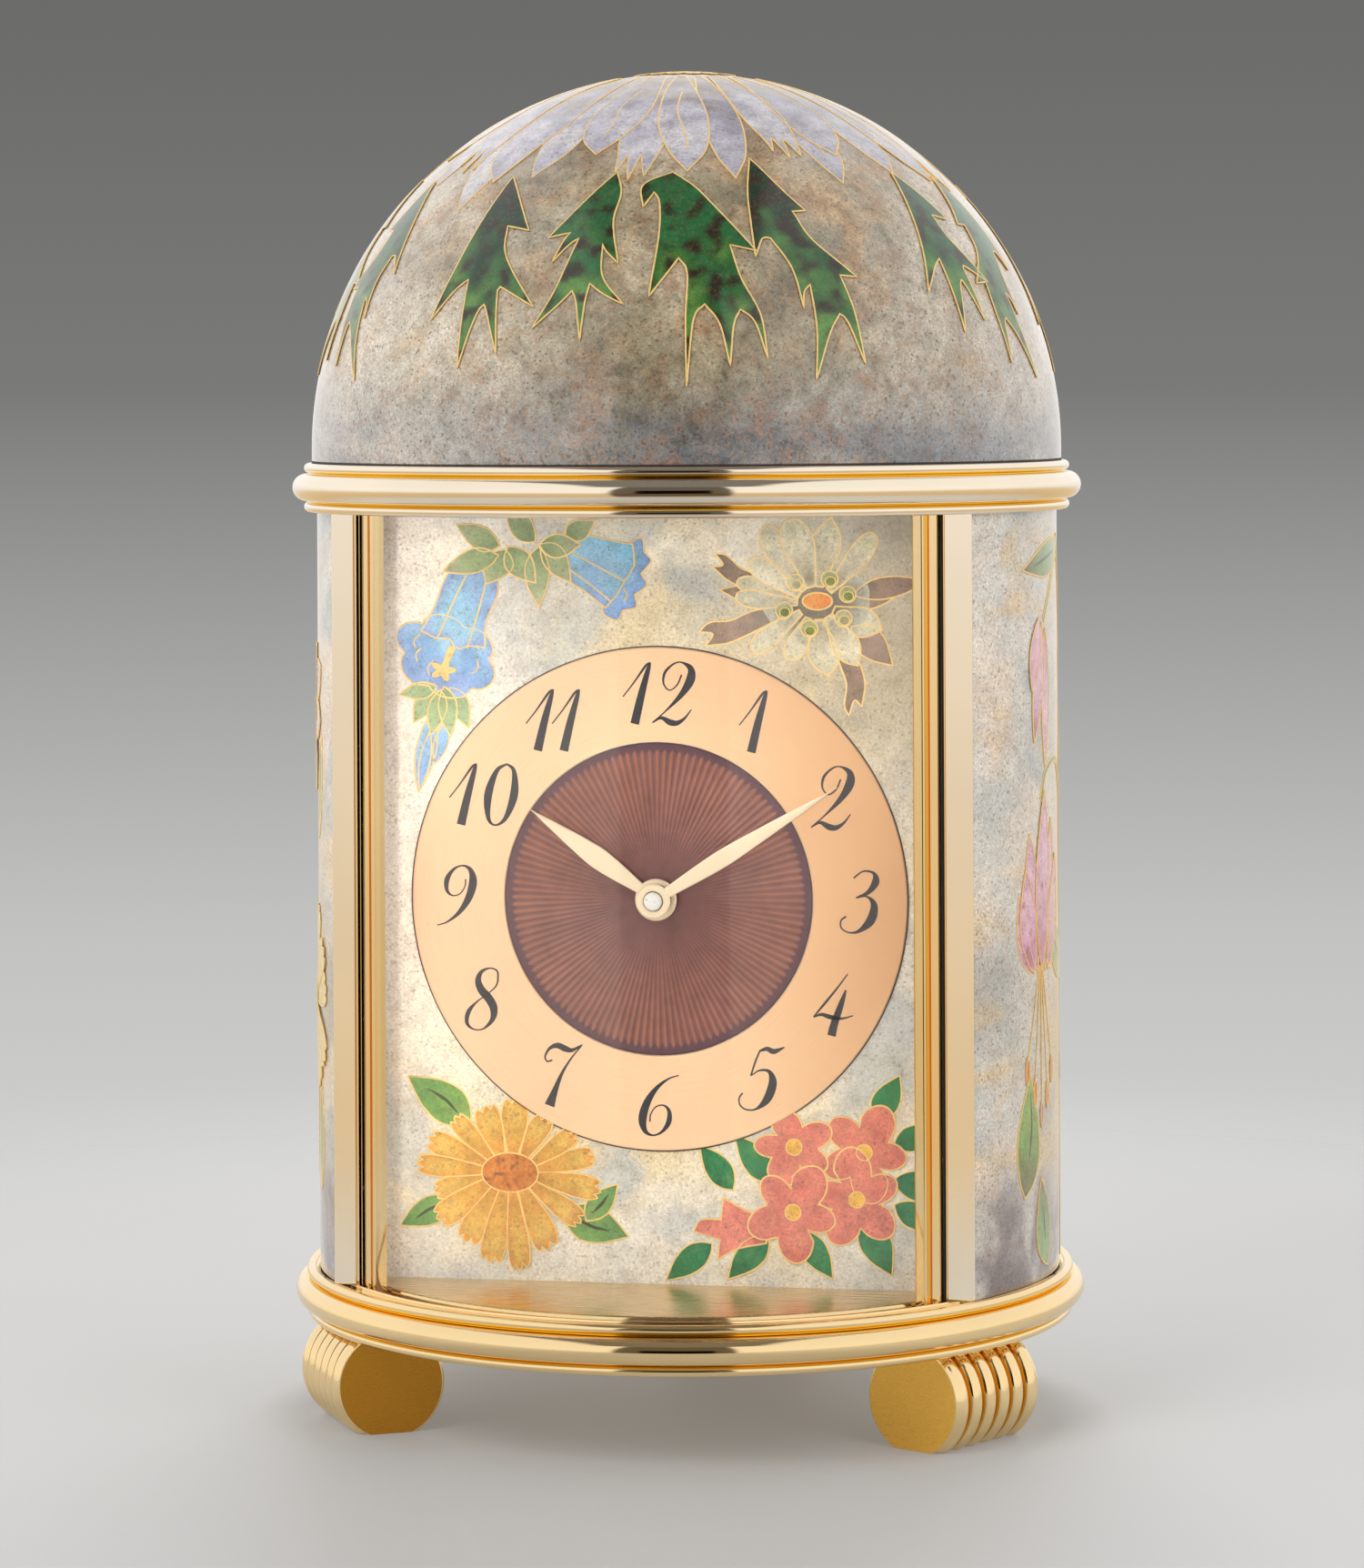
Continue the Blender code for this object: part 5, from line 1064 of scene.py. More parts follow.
def blossom(m, at, c, r, turn, layer, seed, lobes=5, squash=1.0, col=None):
    out = []
    n = 75
    for i in range(n):
        t = 2 * math.pi * i / n
        x = (i * lobes / n) % 1 - 0.5
        k = abs(2 * x)
        q = int(i * lobes / n)
        amp = 1 + 0.10 * math.sin(q * 2.4 + seed)
        rr = r * (amp - 0.44 * k ** 1.7)
        out.append((c[0] + rr * math.cos(t + math.radians(turn)), c[1] + rr * math.sin(t + math.radians(turn)) * squash))
    m.cell(at, out, layer, col or (lambda u, v, d: mixc(mixc(R_C, R_A, 0.55 + 0.55 * n2(u, v, 2.6, seed)), R_B, 0.3 + 0.5 * n2(u, v, 1.1, seed + 5))), w=0.27)
    m.cell(at, disc(c[0], c[1], 1.25, 1.25, 24), layer + 1, lambda u, v, d: mixc(lin(222, 160, 60), lin(236, 186, 90), 0.5 + n2(u, v, 0.8, seed)), grid=0.6, w=0.22)


tube = [(10.2, -46.8, 1), (13.2, -48.4), (17.4, -50.2, 1), (17.0, -53.8, 1), (12.4, -54.8), (9.2, -56.6, 1), (9.6, -53.4, 1), (5.4, -52.2, 1), (6.6, -50.4), (9.8, -50.2, 1)]
dm.cell(on_dial, spline(tube), 2, shade([R_B, lin(224, 134, 116), R_A], (6, -52), (17, -52), 3.0, na=0.5))
throat = [(20.4, -44.0), (24.6, -41.6), (25.4, -46.2), (27.2, -48.2, 1), (23.2, -50.0)]
dm.cell(on_dial, spline(throat), 2, shade([R_A, R_B], (22, -42), (25, -50), 6.0))
blossom(dm, on_dial, (32.6, -39.2), 7.4, 28, 3, 1.0)
blossom(dm, on_dial, (31.4, -46.6), 7.6, 62, 4, 2.0)
blossom(dm, on_dial, (21.5, -38.6), 6.9, 70, 5, 3.0, squash=0.86)
blossom(dm, on_dial, (21.3, -48.8), 7.6, 95, 6, 4.0)
dm.build()

# ---- dome: a ring of lilac petals round the top and jagged leaves below them
om = Motif("dome_motif", "case", 5)
LI_A, LI_B, LI_C = lin(178, 176, 190), lin(208, 204, 208), lin(148, 146, 162)
CAM_AZ = 10.3
rr_ = random.Random(21)
for i in range(38):
    ph = CAM_AZ + 360 / 38 * (i + 0.35 * rr_.uniform(-1, 1))
    t0 = 11.0 + rr_.uniform(0, 3)
    t1 = 51.0 + rr_.uniform(-4.0, 5.0) if i % 2 else 46.5 + rr_.uniform(-4, 4)
    at = dome_at(ph)
    w = (3.6 if i % 2 else 4.0) + rr_.uniform(-0.5, 0.4)
    tipx = rr_.uniform(-1.0, 1.0)
    sweep = rr_.uniform(-4.5, 4.5)
    f = lambda x, t: (x * w + sweep * (t ** 2), t0 + (t1 - t0) * t)
    if i % 5 == 2:
        sh = [(-0.18, 0.0, 1), (-0.72, 0.35), (-0.95, 0.66), (-0.72, 0.86), (-0.66, 0.95, 1), (-0.34, 0.84, 1), (-0.05, 1.0, 1), (0.18, 0.84, 1), (0.55, 0.98, 1), (0.88, 0.80), (1.0, 0.62), (0.70, 0.33), (0.18, 0.0, 1)]
    else:
        sh = [(-0.18, 0.0, 1), (-0.66, 0.32), (-1.0, 0.64), (-0.74, 0.86), (tipx * 0.3, 1.0, 1), (0.74, 0.84), (1.0, 0.60), (0.66, 0.30), (0.18, 0.0, 1)]
    pts = spline([f(p[0], p[1]) + tuple(p[2:]) for p in sh], step=0.6)
    tone = rr_.uniform(0, 1)
    az = (ph - CAM_AZ + 180) % 360 - 180
    # painted shade: petals about 42 degrees right of the camera are drawn up to 22% darker
    painted_shade_dim = 1.0 - 0.22 * math.exp(-((az - 42) / 30) ** 2)
    pet = [tuple(q * painted_shade_dim for q in c) for c in (lin(122, 108, 100), lin(150, 140, 138), mixc(LI_C, LI_A, tone), mixc(LI_A, LI_B, 0.2 + 0.8 * tone), mixc(LI_C, LI_A, 0.7))]
    om.cell(at, pts, 0 if i % 2 else 2, shade(pet, (0, t0), (0, t1), i * 1.37, ns=4.0, na=0.30), grid=1.3, w=0.25)
    if i % 3 == 0:
        om.wire(at, spline([f(0.05, 0.30), f(-0.18, 0.52), f(0.02, 0.74), f(0.0, 0.84)], False, 0.6), 0 if i % 2 else 2, w=0.24)
# small florets at the top
for ring_r, n, lay in ((6.6, 15, 3), (3.4, 9, 4)):
    for k in range(n):
        at = dome_at(360 * k / n + 7 * lay)
        om.cell(at, disc(0, ring_r, 1.35, 1.6, 18, 0, 0.1, k), lay, shade([lin(190, 166, 110), lin(150, 120, 84)], (0, ring_r - 1.5), (0, ring_r + 1.5), k * 0.7), grid=0.9, w=0.22)
om.cell(dome_at(0), disc(0, 0, 1.7, 1.7, 20), 5, lambda u, v, d: lin(176, 150, 96), grid=0.8, w=0.22)

SPIKE_A = [(0.0, 0.0, 1), (0.22, 0.12), (0.62, 0.36, 1), (0.24, 0.34, 1), (0.34, 0.52), (0.92, 0.80, 1), (0.34, 0.70), (0.30, 0.72, 1), (0.36, 1.06, 1), (0.16, 0.84), (0.10, 0.80, 1), (-0.02, 0.86), (-0.30, 1.14, 1), (-0.26, 0.84), (-0.24, 0.66, 1), (-0.46, 0.72), (-0.86, 0.88, 1), (-0.52, 0.58), (-0.26, 0.30)]
SPIKE_B = [(0.0, 0.0, 1), (0.14, 0.16), (0.12, 0.36), (0.30, 0.62, 1), (0.08, 0.54), (0.02, 0.50, 1), (0.10, 0.70), (0.46, 0.86, 1), (0.14, 0.80), (-0.08, 0.74, 1), (-0.12, 0.84), (-0.14, 1.06, 1), (-0.26, 0.84), (-0.34, 0.78, 1), (-0.54, 0.86), (-0.90, 0.98, 1), (-0.62, 0.78), (-0.42, 0.54), (-0.36, 0.46, 1), (-0.50, 0.50), (-0.72, 0.60, 1), (-0.58, 0.46), (-0.50, 0.42, 1), (-0.84, 0.44, 1), (-0.52, 0.28)]
SPIKE_C = [(-0.10, 0.0, 1), (0.18, 0.10), (0.46, 0.24), (0.92, 0.46, 1), (0.58, 0.44, 1), (0.70, 0.62), (0.92, 0.80), (0.98, 1.02, 1), (0.84, 0.84), (0.66, 0.78, 1), (0.56, 0.86), (0.48, 1.06, 1), (0.38, 0.86), (0.20, 0.76, 1), (0.04, 0.84), (-0.10, 1.16, 1), (-0.06, 0.84), (0.00, 0.60), (-0.10, 0.52, 1), (-0.22, 0.58), (-0.52, 0.72, 1), (-0.34, 0.40), (-0.30, 0.20), (-0.36, 0.13, 1), (-0.52, 0.22, 1), (-0.50, 0.08)]
SPIKE_D = [(0.0, 0.0, 1), (0.26, 0.20), (0.50, 0.33, 1), (0.30, 0.34, 1), (0.46, 0.50), (0.98, 0.68, 1), (0.72, 0.68, 1), (0.80, 0.86), (0.80, 1.12, 1), (0.66, 0.92), (0.56, 0.88, 1), (0.34, 0.98), (0.0, 1.20, 1), (0.16, 0.96), (0.22, 0.74, 1), (0.10, 0.78), (0.04, 0.86, 1), (0.02, 0.66), (-0.16, 0.50, 1), (-0.28, 0.50), (-0.46, 0.60, 1), (-0.36, 0.40), (-0.24, 0.22)]
LEAF_AZ = [-66, -38, -14, -1, 14, 49, 65.5, 87, 105, 124, 146, 168, 190, 211, 233, 254, 278]
for i, az in enumerate(LEAF_AZ):
    shp = (SPIKE_D, SPIKE_A, SPIKE_B, SPIKE_C, SPIKE_D, SPIKE_A)[i % 6]
    mir = -1 if i in (0, 6, 9, 12, 14) else 1
    at = dome_at(CAM_AZ + az)
    k = (1.0, 1.0, 0.95, 1.0, 0.98, 0.86)[i % 6] * rr_.uniform(0.95, 1.05)
    lean = 2.2 * math.sin(math.radians(az)) + {0: 7.0, 1: 6.0, 3: 2.0, 4: 4.0}.get(i, 0.0)
    t0, L = (44.5 if i == 4 else 48.0) + rr_.uniform(-1.0, 1.0), (34.0 if i == 4 else 31.0) * k
    pts = spline([(mir * p[0] * 11.2 * k + lean * p[1], t0 + L * p[1]) + tuple(p[2:]) for p in shp], step=0.6)
    dark = 0.4 + 0.6 * math.sin(i * 1.9)
    cols = [mixc(lin(40, 92, 50), lin(8, 38, 22), dark), mixc(lin(32, 100, 54), lin(10, 52, 28), dark), lin(48, 98, 44), lin(88, 132, 60)]
    om.cell(at, pts, 4, shade(cols, (0, t0), (0, t0 + L), i * 2.1, ns=4.0, na=0.55, spot=(lin(40, 34, 18), 2.2, 0.04, 3.0)), grid=0.8, w=0.27)
om.build()


# ------------------------------------------------------------------ side panels and door
PK_A, PK_B, PK_C = lin(214, 158, 188), lin(222, 180, 200), lin(178, 104, 132)


def lily(m, at, c, s, seed, turned=1):
    """A hanging lily: petals swept up from a throat, freckled, with long stamens below."""
    spot = (lin(150, 56, 84), 1.1, 0.34, 3.2)
    for dx, ang, L, w, lay, bend in ((-1.8, 104, 24, 3.6, 1, 0.10), (-3.6, 110, 18, 3.6, 2, 0.16), (2.2, 74, 26, 3.4, 1, -0.10), (4.0, 62, 20, 3.6, 2, -0.18), (0.4, 88, 31, 3.9, 3, 0.02), (-5.0, 122, 14, 2.6, 0, 0.24), (5.4, 50, 15, 2.6, 0, -0.24)):
        a = ang if turned > 0 else 180 - ang
        leaf(m, at, (c[0] + dx * s * turned, c[1]), a, L * s, w * s, lay, [PK_C, PK_A, PK_B, PK_A], bend=bend * turned, shape=SLIM, seed=seed + dx, edge=(lin(206, 140, 172), 0.7), spot=spot)
    for k, (dx, L) in enumerate(((-5.2, 15), (-2.6, 19), (0.2, 23), (2.8, 20), (5.2, 16))):
        x1, y1 = c[0] + dx * s * 1.25, c[1] - L * s
        m.wire(at, spline([(c[0] + dx * 0.15 * s, c[1] + 1.0), (c[0] + dx * 0.7 * s, c[1] - L * 0.5 * s), (x1, y1)], False), 1, w=0.24)
        col = lin(226, 122, 44) if k != 2 else lin(196, 140, 170)
        m.cell(at, disc(x1, y1 - 1.6 * s, 0.75 * s, 2.3 * s, 22), 2, lambda u, v, d, q=col: q, grid=0.8, w=0.22)


def bud(m, at, c, L, w, seed, ang=262):
    leaf(m, at, c, ang, L, w, 2, [PK_A, PK_B, PK_C], shape=SLIM, seed=seed, bend=0.06)
    leaf(m, at, (c[0] + 2.0, c[1] - 1.0), ang + 9, L * 1.15, w * 0.8, 1, [PK_C, PK_B, PK_A], shape=SLIM, seed=seed + 2, bend=0.03)
    leaf(m, at, (c[0] - 1.5, c[1] + 0.8), ang - 10, L * 0.62, w * 0.9, 3, [PK_B, PK_A], shape=SLIM, seed=seed + 5, bend=-0.04)


def stem(m, at, pts, layer=0, w=0.5):
    line = spline(pts, False, 0.8)
    n = len(line)
    L, R = [], []
    for i, p in enumerate(line):
        q, r = line[max(i - 1, 0)], line[min(i + 1, n - 1)]
        tx, ty = r[0] - q[0], r[1] - q[1]
        k = math.hypot(tx, ty) or 1
        L.append((p[0] - ty / k * w, p[1] + tx / k * w))
        R.append((p[0] + ty / k * w, p[1] - tx / k * w))
    m.cell(at, L + R[::-1], layer, shade([lin(120, 150, 84), lin(96, 130, 72)], pts[0][:2], pts[-1][:2], 1.0), grid=1.0, w=0.24)


SP = [lin(150, 176, 104), lin(124, 160, 88), lin(112, 104, 70)]
SR = (lin(52, 72, 46))
def on_right(u, v, h):
    return on_body(u - 8.5, v, h)


sr = Motif("side_motif_right", "case", 31)
bud(sr, on_right, (91.5, 126.5), 19, 2.6, 2.0)
lily(sr, on_right, (90.5, 71.5), 0.92, 4.0)
leaf(sr, on_right, (83.2, 36.5), 71, 19, 4.4, 1, SP[::-1], rib=(0.3, 0.85, 0.3, SR), seed=1.0, bend=-0.22)
leaf(sr, on_right, (93.5, 24.6), 112, 14.5, 3.6, 1, SP, rib=(0.3, 0.7, 0.25, SR), seed=2.0, bend=0.16)
stem(sr, on_right, [(104.0, 140.0), (97.0, 132.0), (92.8, 127.0)])
stem(sr, on_right, [(108.0, 24.0), (112.0, 60.0), (108.0, 96.0), (112.0, 118.0), (104.0, 139.0)], 0, 0.6)
stem(sr, on_right, [(109.0, 96.0), (102.0, 104.0), (94.0, 103.0), (91.0, 98.5)], 0)
lily(sr, on_right, (120.5, 96.0), 0.86, 9.0, -1)
leaf(sr, on_right, (110.6, 52.0), 40, 22, 4.2, 1, SP, rib=(0.2, 0.8, 0.3, SR), seed=3.0, bend=0.18)
leaf(sr, on_right, (109.6, 70.0), 158, 20, 3.6, 1, SP, rib=(0.2, 0.8, 0.3, SR), seed=4.0, bend=0.12)
leaf(sr, on_right, (109.6, 30.0), 32, 21, 4.0, 1, SP, rib=(0.2, 0.8, 0.3, SR), seed=5.0, bend=0.2)
leaf(sr, on_right, (111.6, 116.0), 66, 20, 3.4, 1, SP, rib=(0.2, 0.8, 0.3, SR), seed=6.0, bend=-0.1)
leaf(sr, on_right, (105.0, 139.0), 196, 22, 2.8, 1, SP, rib=(0.2, 0.8, 0.3, SR), seed=7.0, bend=0.1)
sr.build()

sl = Motif("side_motif_left", "case", 41)
YL = [lin(214, 176, 84), lin(228, 198, 112), lin(236, 214, 150)]
VI = [lin(132, 118, 170), lin(168, 156, 200), lin(190, 180, 214)]


def bloom(m, at, c, r, n, w, stops, seed, layer=2, core=(lin(176, 112, 52), lin(110, 66, 36)), shape=POINTED, rc=0.24):
    for k in range(n):
        a = 360 * (k + 0.18 * math.sin(k * 2.3 + seed)) / n + seed * 13
        t = math.radians(a)
        L = r * (0.86 + 0.10 * math.sin(k * 1.9 + seed))
        leaf(m, at, (c[0] + rc * r * 0.7 * math.cos(t), c[1] + rc * r * 0.7 * math.sin(t)), a, L, w, layer + (k * 2) % 5, stops, shape=shape, seed=seed + k, bend=0.04 * math.sin(k + seed))
    m.cell(at, disc(c[0], c[1], rc * r, rc * r * 0.94, 32), layer + 5, lambda u, v, d: mixc(core[0], core[1], 0.35 + 0.9 * n2(u, v, 1.0, seed)), grid=0.7)


bloom(sl, on_body, (-84.0, 112.0), 13.5, 9, 3.4, VI, 2.0, core=(lin(226, 186, 96), lin(170, 120, 60)))
bloom(sl, on_body, (-104.0, 92.0), 15.0, 10, 3.4, VI, 5.0, core=(lin(226, 186, 96), lin(170, 120, 60)))
bloom(sl, on_body, (-80.0, 66.0), 14.0, 11, 2.8, YL, 8.0, shape=NOTCHED)
bloom(sl, on_body, (-112.0, 122.0), 11.5, 8, 3.0, VI, 3.0, core=(lin(226, 186, 96), lin(170, 120, 60)))
stem(sl, on_body, [(-92.0, 24.0), (-90.0, 40.0), (-85.0, 54.0), (-81.0, 60.0)])
stem(sl, on_body, [(-92.0, 24.0), (-98.0, 50.0), (-101.0, 70.0), (-103.0, 86.0)])
stem(sl, on_body, [(-99.0, 56.0), (-94.0, 80.0), (-88.0, 98.0), (-85.0, 106.0)])
stem(sl, on_body, [(-104.0, 92.0), (-110.0, 104.0), (-111.5, 116.0)])
for k, (b, d, L, w, be) in enumerate((((-92.0, 28.0), 140, 22, 3.6, 0.15), ((-91.5, 30.0), 48, 24, 3.8, -0.15), ((-97.5, 46.0), 150, 21, 3.4, 0.12), ((-90.0, 42.0), 30, 16, 3.0, -0.1), ((-97.0, 70.0), 165, 17, 2.8, 0.1), ((-72.0, 36.0), 96, 18, 3.0, 0.1), ((-96.0, 86.0), 60, 15, 2.6, 0.1),
                                     ((-74.0, 92.0), 84, 17, 2.4, 0.1))):
    leaf(sl, on_body, b, d, L, w, 0, SP, rib=(0.2, 0.8, 0.28, SR), seed=11.0 + k, bend=be)
sl.build()

# motifs on the door ride with it
dr = Motif("door_motif", "door", 51)
U = R_BODY * math.pi
bloom(dr, on_body, (U - 12.0, 108.0), 14.5, 13, 2.6, [OR_A, OR_B, OR_C], 3.0, shape=NOTCHED, core=(lin(170, 96, 44), lin(96, 56, 34)))
bloom(dr, on_body, (U + 11.0, 82.0), 15.5, 14, 2.7, [OR_A, OR_B, OR_C], 6.0, shape=NOTCHED, core=(lin(170, 96, 44), lin(96, 56, 34)))
bloom(dr, on_body, (U - 13.0, 60.0), 11.0, 12, 2.2, [R_A, R_B, R_C], 4.0, core=(lin(226, 186, 96), lin(170, 120, 60)))
stem(dr, on_body, [(U + 1.0, 26.0), (U + 4.0, 46.0), (U + 8.0, 62.0), (U + 10.5, 74.0)])
stem(dr, on_body, [(U + 1.0, 26.0), (U - 3.0, 60.0), (U - 5.0, 82.0), (U - 10.5, 101.0)])
stem(dr, on_body, [(U + 1.0, 27.0), (U - 6.0, 42.0), (U - 11.5, 52.0)])
for k, (b, d, L, w, be) in enumerate((((U + 2.0, 32.0), 38, 22, 4.0, 0.16), ((U - 0.5, 34.0), 148, 22, 3.8, -0.14), ((U + 6.5, 56.0), 24, 17, 3.2, 0.1), ((U - 4.0, 76.0), 150, 17, 3.0, -0.1), ((U - 4.4, 86.0), 58, 18, 3.0, 0.1), ((U - 12.0, 122.0), 70, 13, 2.8, 0.1), ((U + 11.0, 98.0), 100, 17, 3.0, 0.1))):
    leaf(dr, on_body, b, d, L, w, 0, SP, rib=(0.2, 0.8, 0.28, SR), seed=21.0 + k, bend=be)
dr.build()


# ------------------------------------------------------------------ chapter ring, numerals, centre, hands
def turned_y(name, profile, mat, segs=256, angle=30, cx=0.0, cz=None):
    """Profile of (radius, y) turned round an axis along Y through the dial centre, closed on itself."""
    cz = Z_DIAL if cz is None else cz
    verts, faces = [], []
    n = len(profile)
    for r, y in profile:
        verts += [((cx + r * math.sin(2 * math.pi * k / segs)) * MM, y * MM, (cz + r * math.cos(2 * math.pi * k / segs)) * MM) for k in range(segs)]
    for i in range(n):
        a, b = i * segs, ((i + 1) % n) * segs
        for k in range(segs):
            k2 = (k + 1) % segs
            faces.append((a + k, a + k2, b + k2, b + k))
    return fix_normals(obj_from(name, verts, faces, mat, True, angle))


def ring_metal(name, base, rough):
    """Gold with fine circular brushing about the dial centre; the right half is painted darker and more amber as shade,
    and the left side is painted pinker for the light there.
    """
    m, nt, b = start(name)
    g = nt.nodes.new("ShaderNodeTexCoord")
    s = node(nt, "ShaderNodeSeparateXYZ", {"Vector": g.outputs["Object"]})
    zc = math_(nt, "SUBTRACT", s.outputs["Z"], Z_DIAL * MM)
    r = math_(nt, "SQRT", math_(nt, "ADD", math_(nt, "MULTIPLY", s.outputs["X"], s.outputs["X"]), math_(nt, "MULTIPLY", zc, zc)))
    th = math_(nt, "ARCTAN2", s.outputs["X"], zc)
    v = node(nt, "ShaderNodeCombineXYZ", {"X": math_(nt, "MULTIPLY", r, 9000.0), "Y": math_(nt, "MULTIPLY", th, 3.2), "Z": 0.0}).outputs[0]
    fine = node(nt, "ShaderNodeTexNoise", {"Vector": v, "Scale": 1.0, "Detail": 2.0, "Roughness": 0.6}).outputs["Fac"]
    v2 = node(nt, "ShaderNodeCombineXYZ", {"X": math_(nt, "MULTIPLY", r, 5200.0), "Y": math_(nt, "MULTIPLY", th, 34.0), "Z": 3.0}).outputs[0]
    tick = node(nt, "ShaderNodeTexNoise", {"Vector": v2, "Scale": 1.0, "Detail": 0.0}).outputs["Fac"]
    col = ramp(nt, fine, [(0.25, tuple(c * 0.93 for c in base)), (0.75, tuple(min(1, c * 1.05) for c in base))])
    col = mix(nt, math_(nt, "MULTIPLY", ramp(nt, tick, [(0.76, grey(0)), (0.80, grey(1))]), 0.35), col, tuple(c * 0.62 for c in base))
    # painted shade: the right half is drawn darker and deeper amber
    right_painted_shade = node(nt, "ShaderNodeMapRange", {"Value": math_(nt, "ADD", s.outputs["X"], math_(nt, "MULTIPLY", zc, 0.12)), "From Min": 0.0, "From Max": 0.040}, interpolation_type="SMOOTHSTEP").outputs[0]
    col = mix(nt, math_(nt, "MULTIPLY", right_painted_shade, 0.9), col, tuple(c * k for c, k in zip(base, (0.72, 0.61, 0.50))))
    # painted light: the left side is given a pinker tone, standing in for the light falling there
    lf = node(nt, "ShaderNodeMapRange", {"Value": s.outputs["X"], "From Min": -0.006, "From Max": -0.034}, interpolation_type="SMOOTHSTEP").outputs[0]
    col = mix(nt, math_(nt, "MULTIPLY", lf, 0.9), col, mix(nt, 1.0, col, (1.0, 0.90, 0.92, 1), "MULTIPLY"))
    nt.links.new(col, b.inputs["Base Color"])
    b.inputs["Metallic"].default_value = 0.35
    nt.links.new(math_(nt, "ADD", math_(nt, "MULTIPLY", fine, 0.10), rough - 0.05), b.inputs["Roughness"])
    nt.links.new(node(nt, "ShaderNodeBump", {"Height": fine, "Strength": 0.10, "Distance": 0.0001}).outputs[0], b.inputs["Normal"])
    return m


M_RING = ring_metal("brushed_ring_gold", (0.94, 0.61, 0.37), 0.42)


def ink(name, c):
    m, nt, b = start(name)
    f = noise_tex(nt, coords(nt), 1500.0, 3.0)
    nt.links.new(ramp(nt, f, [(0.3, tuple(x * 0.8 for x in c)), (0.7, tuple(x * 1.25 for x in c))]), b.inputs["Base Color"])
    b.inputs["Roughness"].default_value = 0.42
    b.inputs["Coat Weight"].default_value = 0.3
    nt.links.new(node(nt, "ShaderNodeBump", {"Height": f, "Strength": 0.08, "Distance": 0.0001}).outputs[0], b.inputs["Normal"])
    return m


M_INK = ink("numeral_black", lin(52, 50, 54))
R0 = R_RING1 - 14.9
YF = bx("chapter_ring")[0].y
YB = bx("chapter_ring")[1].y
ring = turned_y("chapter_ring_gold", [(R0, YB), (R0, YF + 0.10), (R0 + 0.10, YF), (R_RING1 - 0.14, YF), (R_RING1, YF + 0.14), (R_RING1, YB)], M_RING, 320, 40)
take(ring, "case", "chapter_ring", slot="chapter_gilt")
edge = turned_y("chapter_ring_edge", [(R_RING1 + 0.02, YB), (R_RING1 + 0.02, YF + 0.16), (R_RING1 + 0.20, YF + 0.20), (R_RING1 + 0.20, YB)], M_INK, 320, 40)
take(edge, "case")

DIGITS = {
    "0": [[(0, 1.0, .03), (-.15, .88, .075), (-.215, .5, .135), (-.14, .12, .07), (0, 0, .03), (.15, .12, .075), (.215, .5, .135), (.14, .88, .07), (0, 1.0, .03)]],
    "1": [[(-.30, .44, .022), (-.17, .66, .026), (-.03, .93, .04), (.03, 1.0, .02)], [(.045, 1.0, .02), (.03, .88, .075), (.0, .5, .12), (-.02, .0, .145)]],
    "2": [[(.06, .80, .028), (.02, .64, .024), (-.09, .55, .022), (-.21, .66, .03), (-.22, .84, .045), (-.10, .98, .03), (.03, 1.0, .028), (.19, .90, .10), (.22, .72, .145), (.12, .48, .09), (-.08, .22, .028), (-.27, .02, .024)],
          [(-.27, .02, .02), (-.14, .10, .05), (.02, .03, .10), (.14, .02, .08), (.25, .10, .04), (.33, .24, .018)]],
    "3": [[(-.20, .88, .03), (-.06, .99, .028), (.11, .96, .05), (.17, .82, .12), (.08, .65, .07), (-.10, .56, .022)],
          [(-.10, .56, .022), (.08, .58, .03), (.22, .44, .11), (.21, .20, .145), (.06, .03, .06), (-.10, .0, .026), (-.24, .07, .026), (-.27, .19, .028), (-.20, .26, .032)]],
    "4": [[(.12, 1.0, .02), (.0, .78, .03), (-.16, .52, .04), (-.30, .30, .022)], [(-.30, .295, .022), (-.18, .34, .05), (-.02, .30, .075), (.16, .28, .04), (.34, .33, .018)], [(.14, .74, .03), (.11, .52, .09), (.06, .2, .125), (.05, .0, .14)]],
    "5": [[(-.10, .95, .03), (.02, .99, .07), (.14, .95, .085), (.30, 1.02, .02)], [(-.09, .96, .028), (-.13, .78, .03), (-.16, .55, .028)],
          [(-.16, .55, .02), (-.03, .64, .03), (.13, .62, .06), (.22, .44, .135), (.18, .18, .13), (.04, .02, .04), (-.12, .0, .026), (-.24, .07, .026), (-.28, .18, .026), (-.24, .27, .03)]],
    "6": [[(.24, .98, .018), (.08, .92, .03), (-.09, .76, .07), (-.20, .52, .12), (-.22, .26, .135), (-.14, .07, .075), (.0, 0, .03), (.14, .06, .045), (.22, .22, .085), (.19, .40, .06), (.08, .49, .026), (-.04, .46, .022), (-.10, .34, .022), (-.09, .22, .026)]],
    "7": [[(-.14, .74, .028), (-.22, .72, .026), (-.27, .80, .03), (-.22, .93, .05), (-.10, .98, .09), (.04, .93, .10), (.16, .91, .06), (.31, 1.0, .02)], [(.30, .985, .02), (.16, .76, .028), (.06, .52, .05), (.0, .24, .10), (-.04, .0, .17)]],
    "8": [[(.17, .80, .03), (.13, .95, .03), (.0, 1.0, .026), (-.13, .94, .06), (-.16, .80, .10), (-.08, .65, .13), (.08, .50, .14), (.19, .34, .13), (.20, .16, .08), (.08, .01, .03), (-.08, .0, .026), (-.21, .10, .06), (-.22, .28, .075), (-.12, .44, .03), (.04, .58, .022), (.15, .70, .025), (.17, .82, .028)]],
    "9": [],
}
DIGITS["9"] = [[(-x, 1 - y, w) for x, y, w in s] for s in DIGITS["6"]]
NUM_H = 9.7


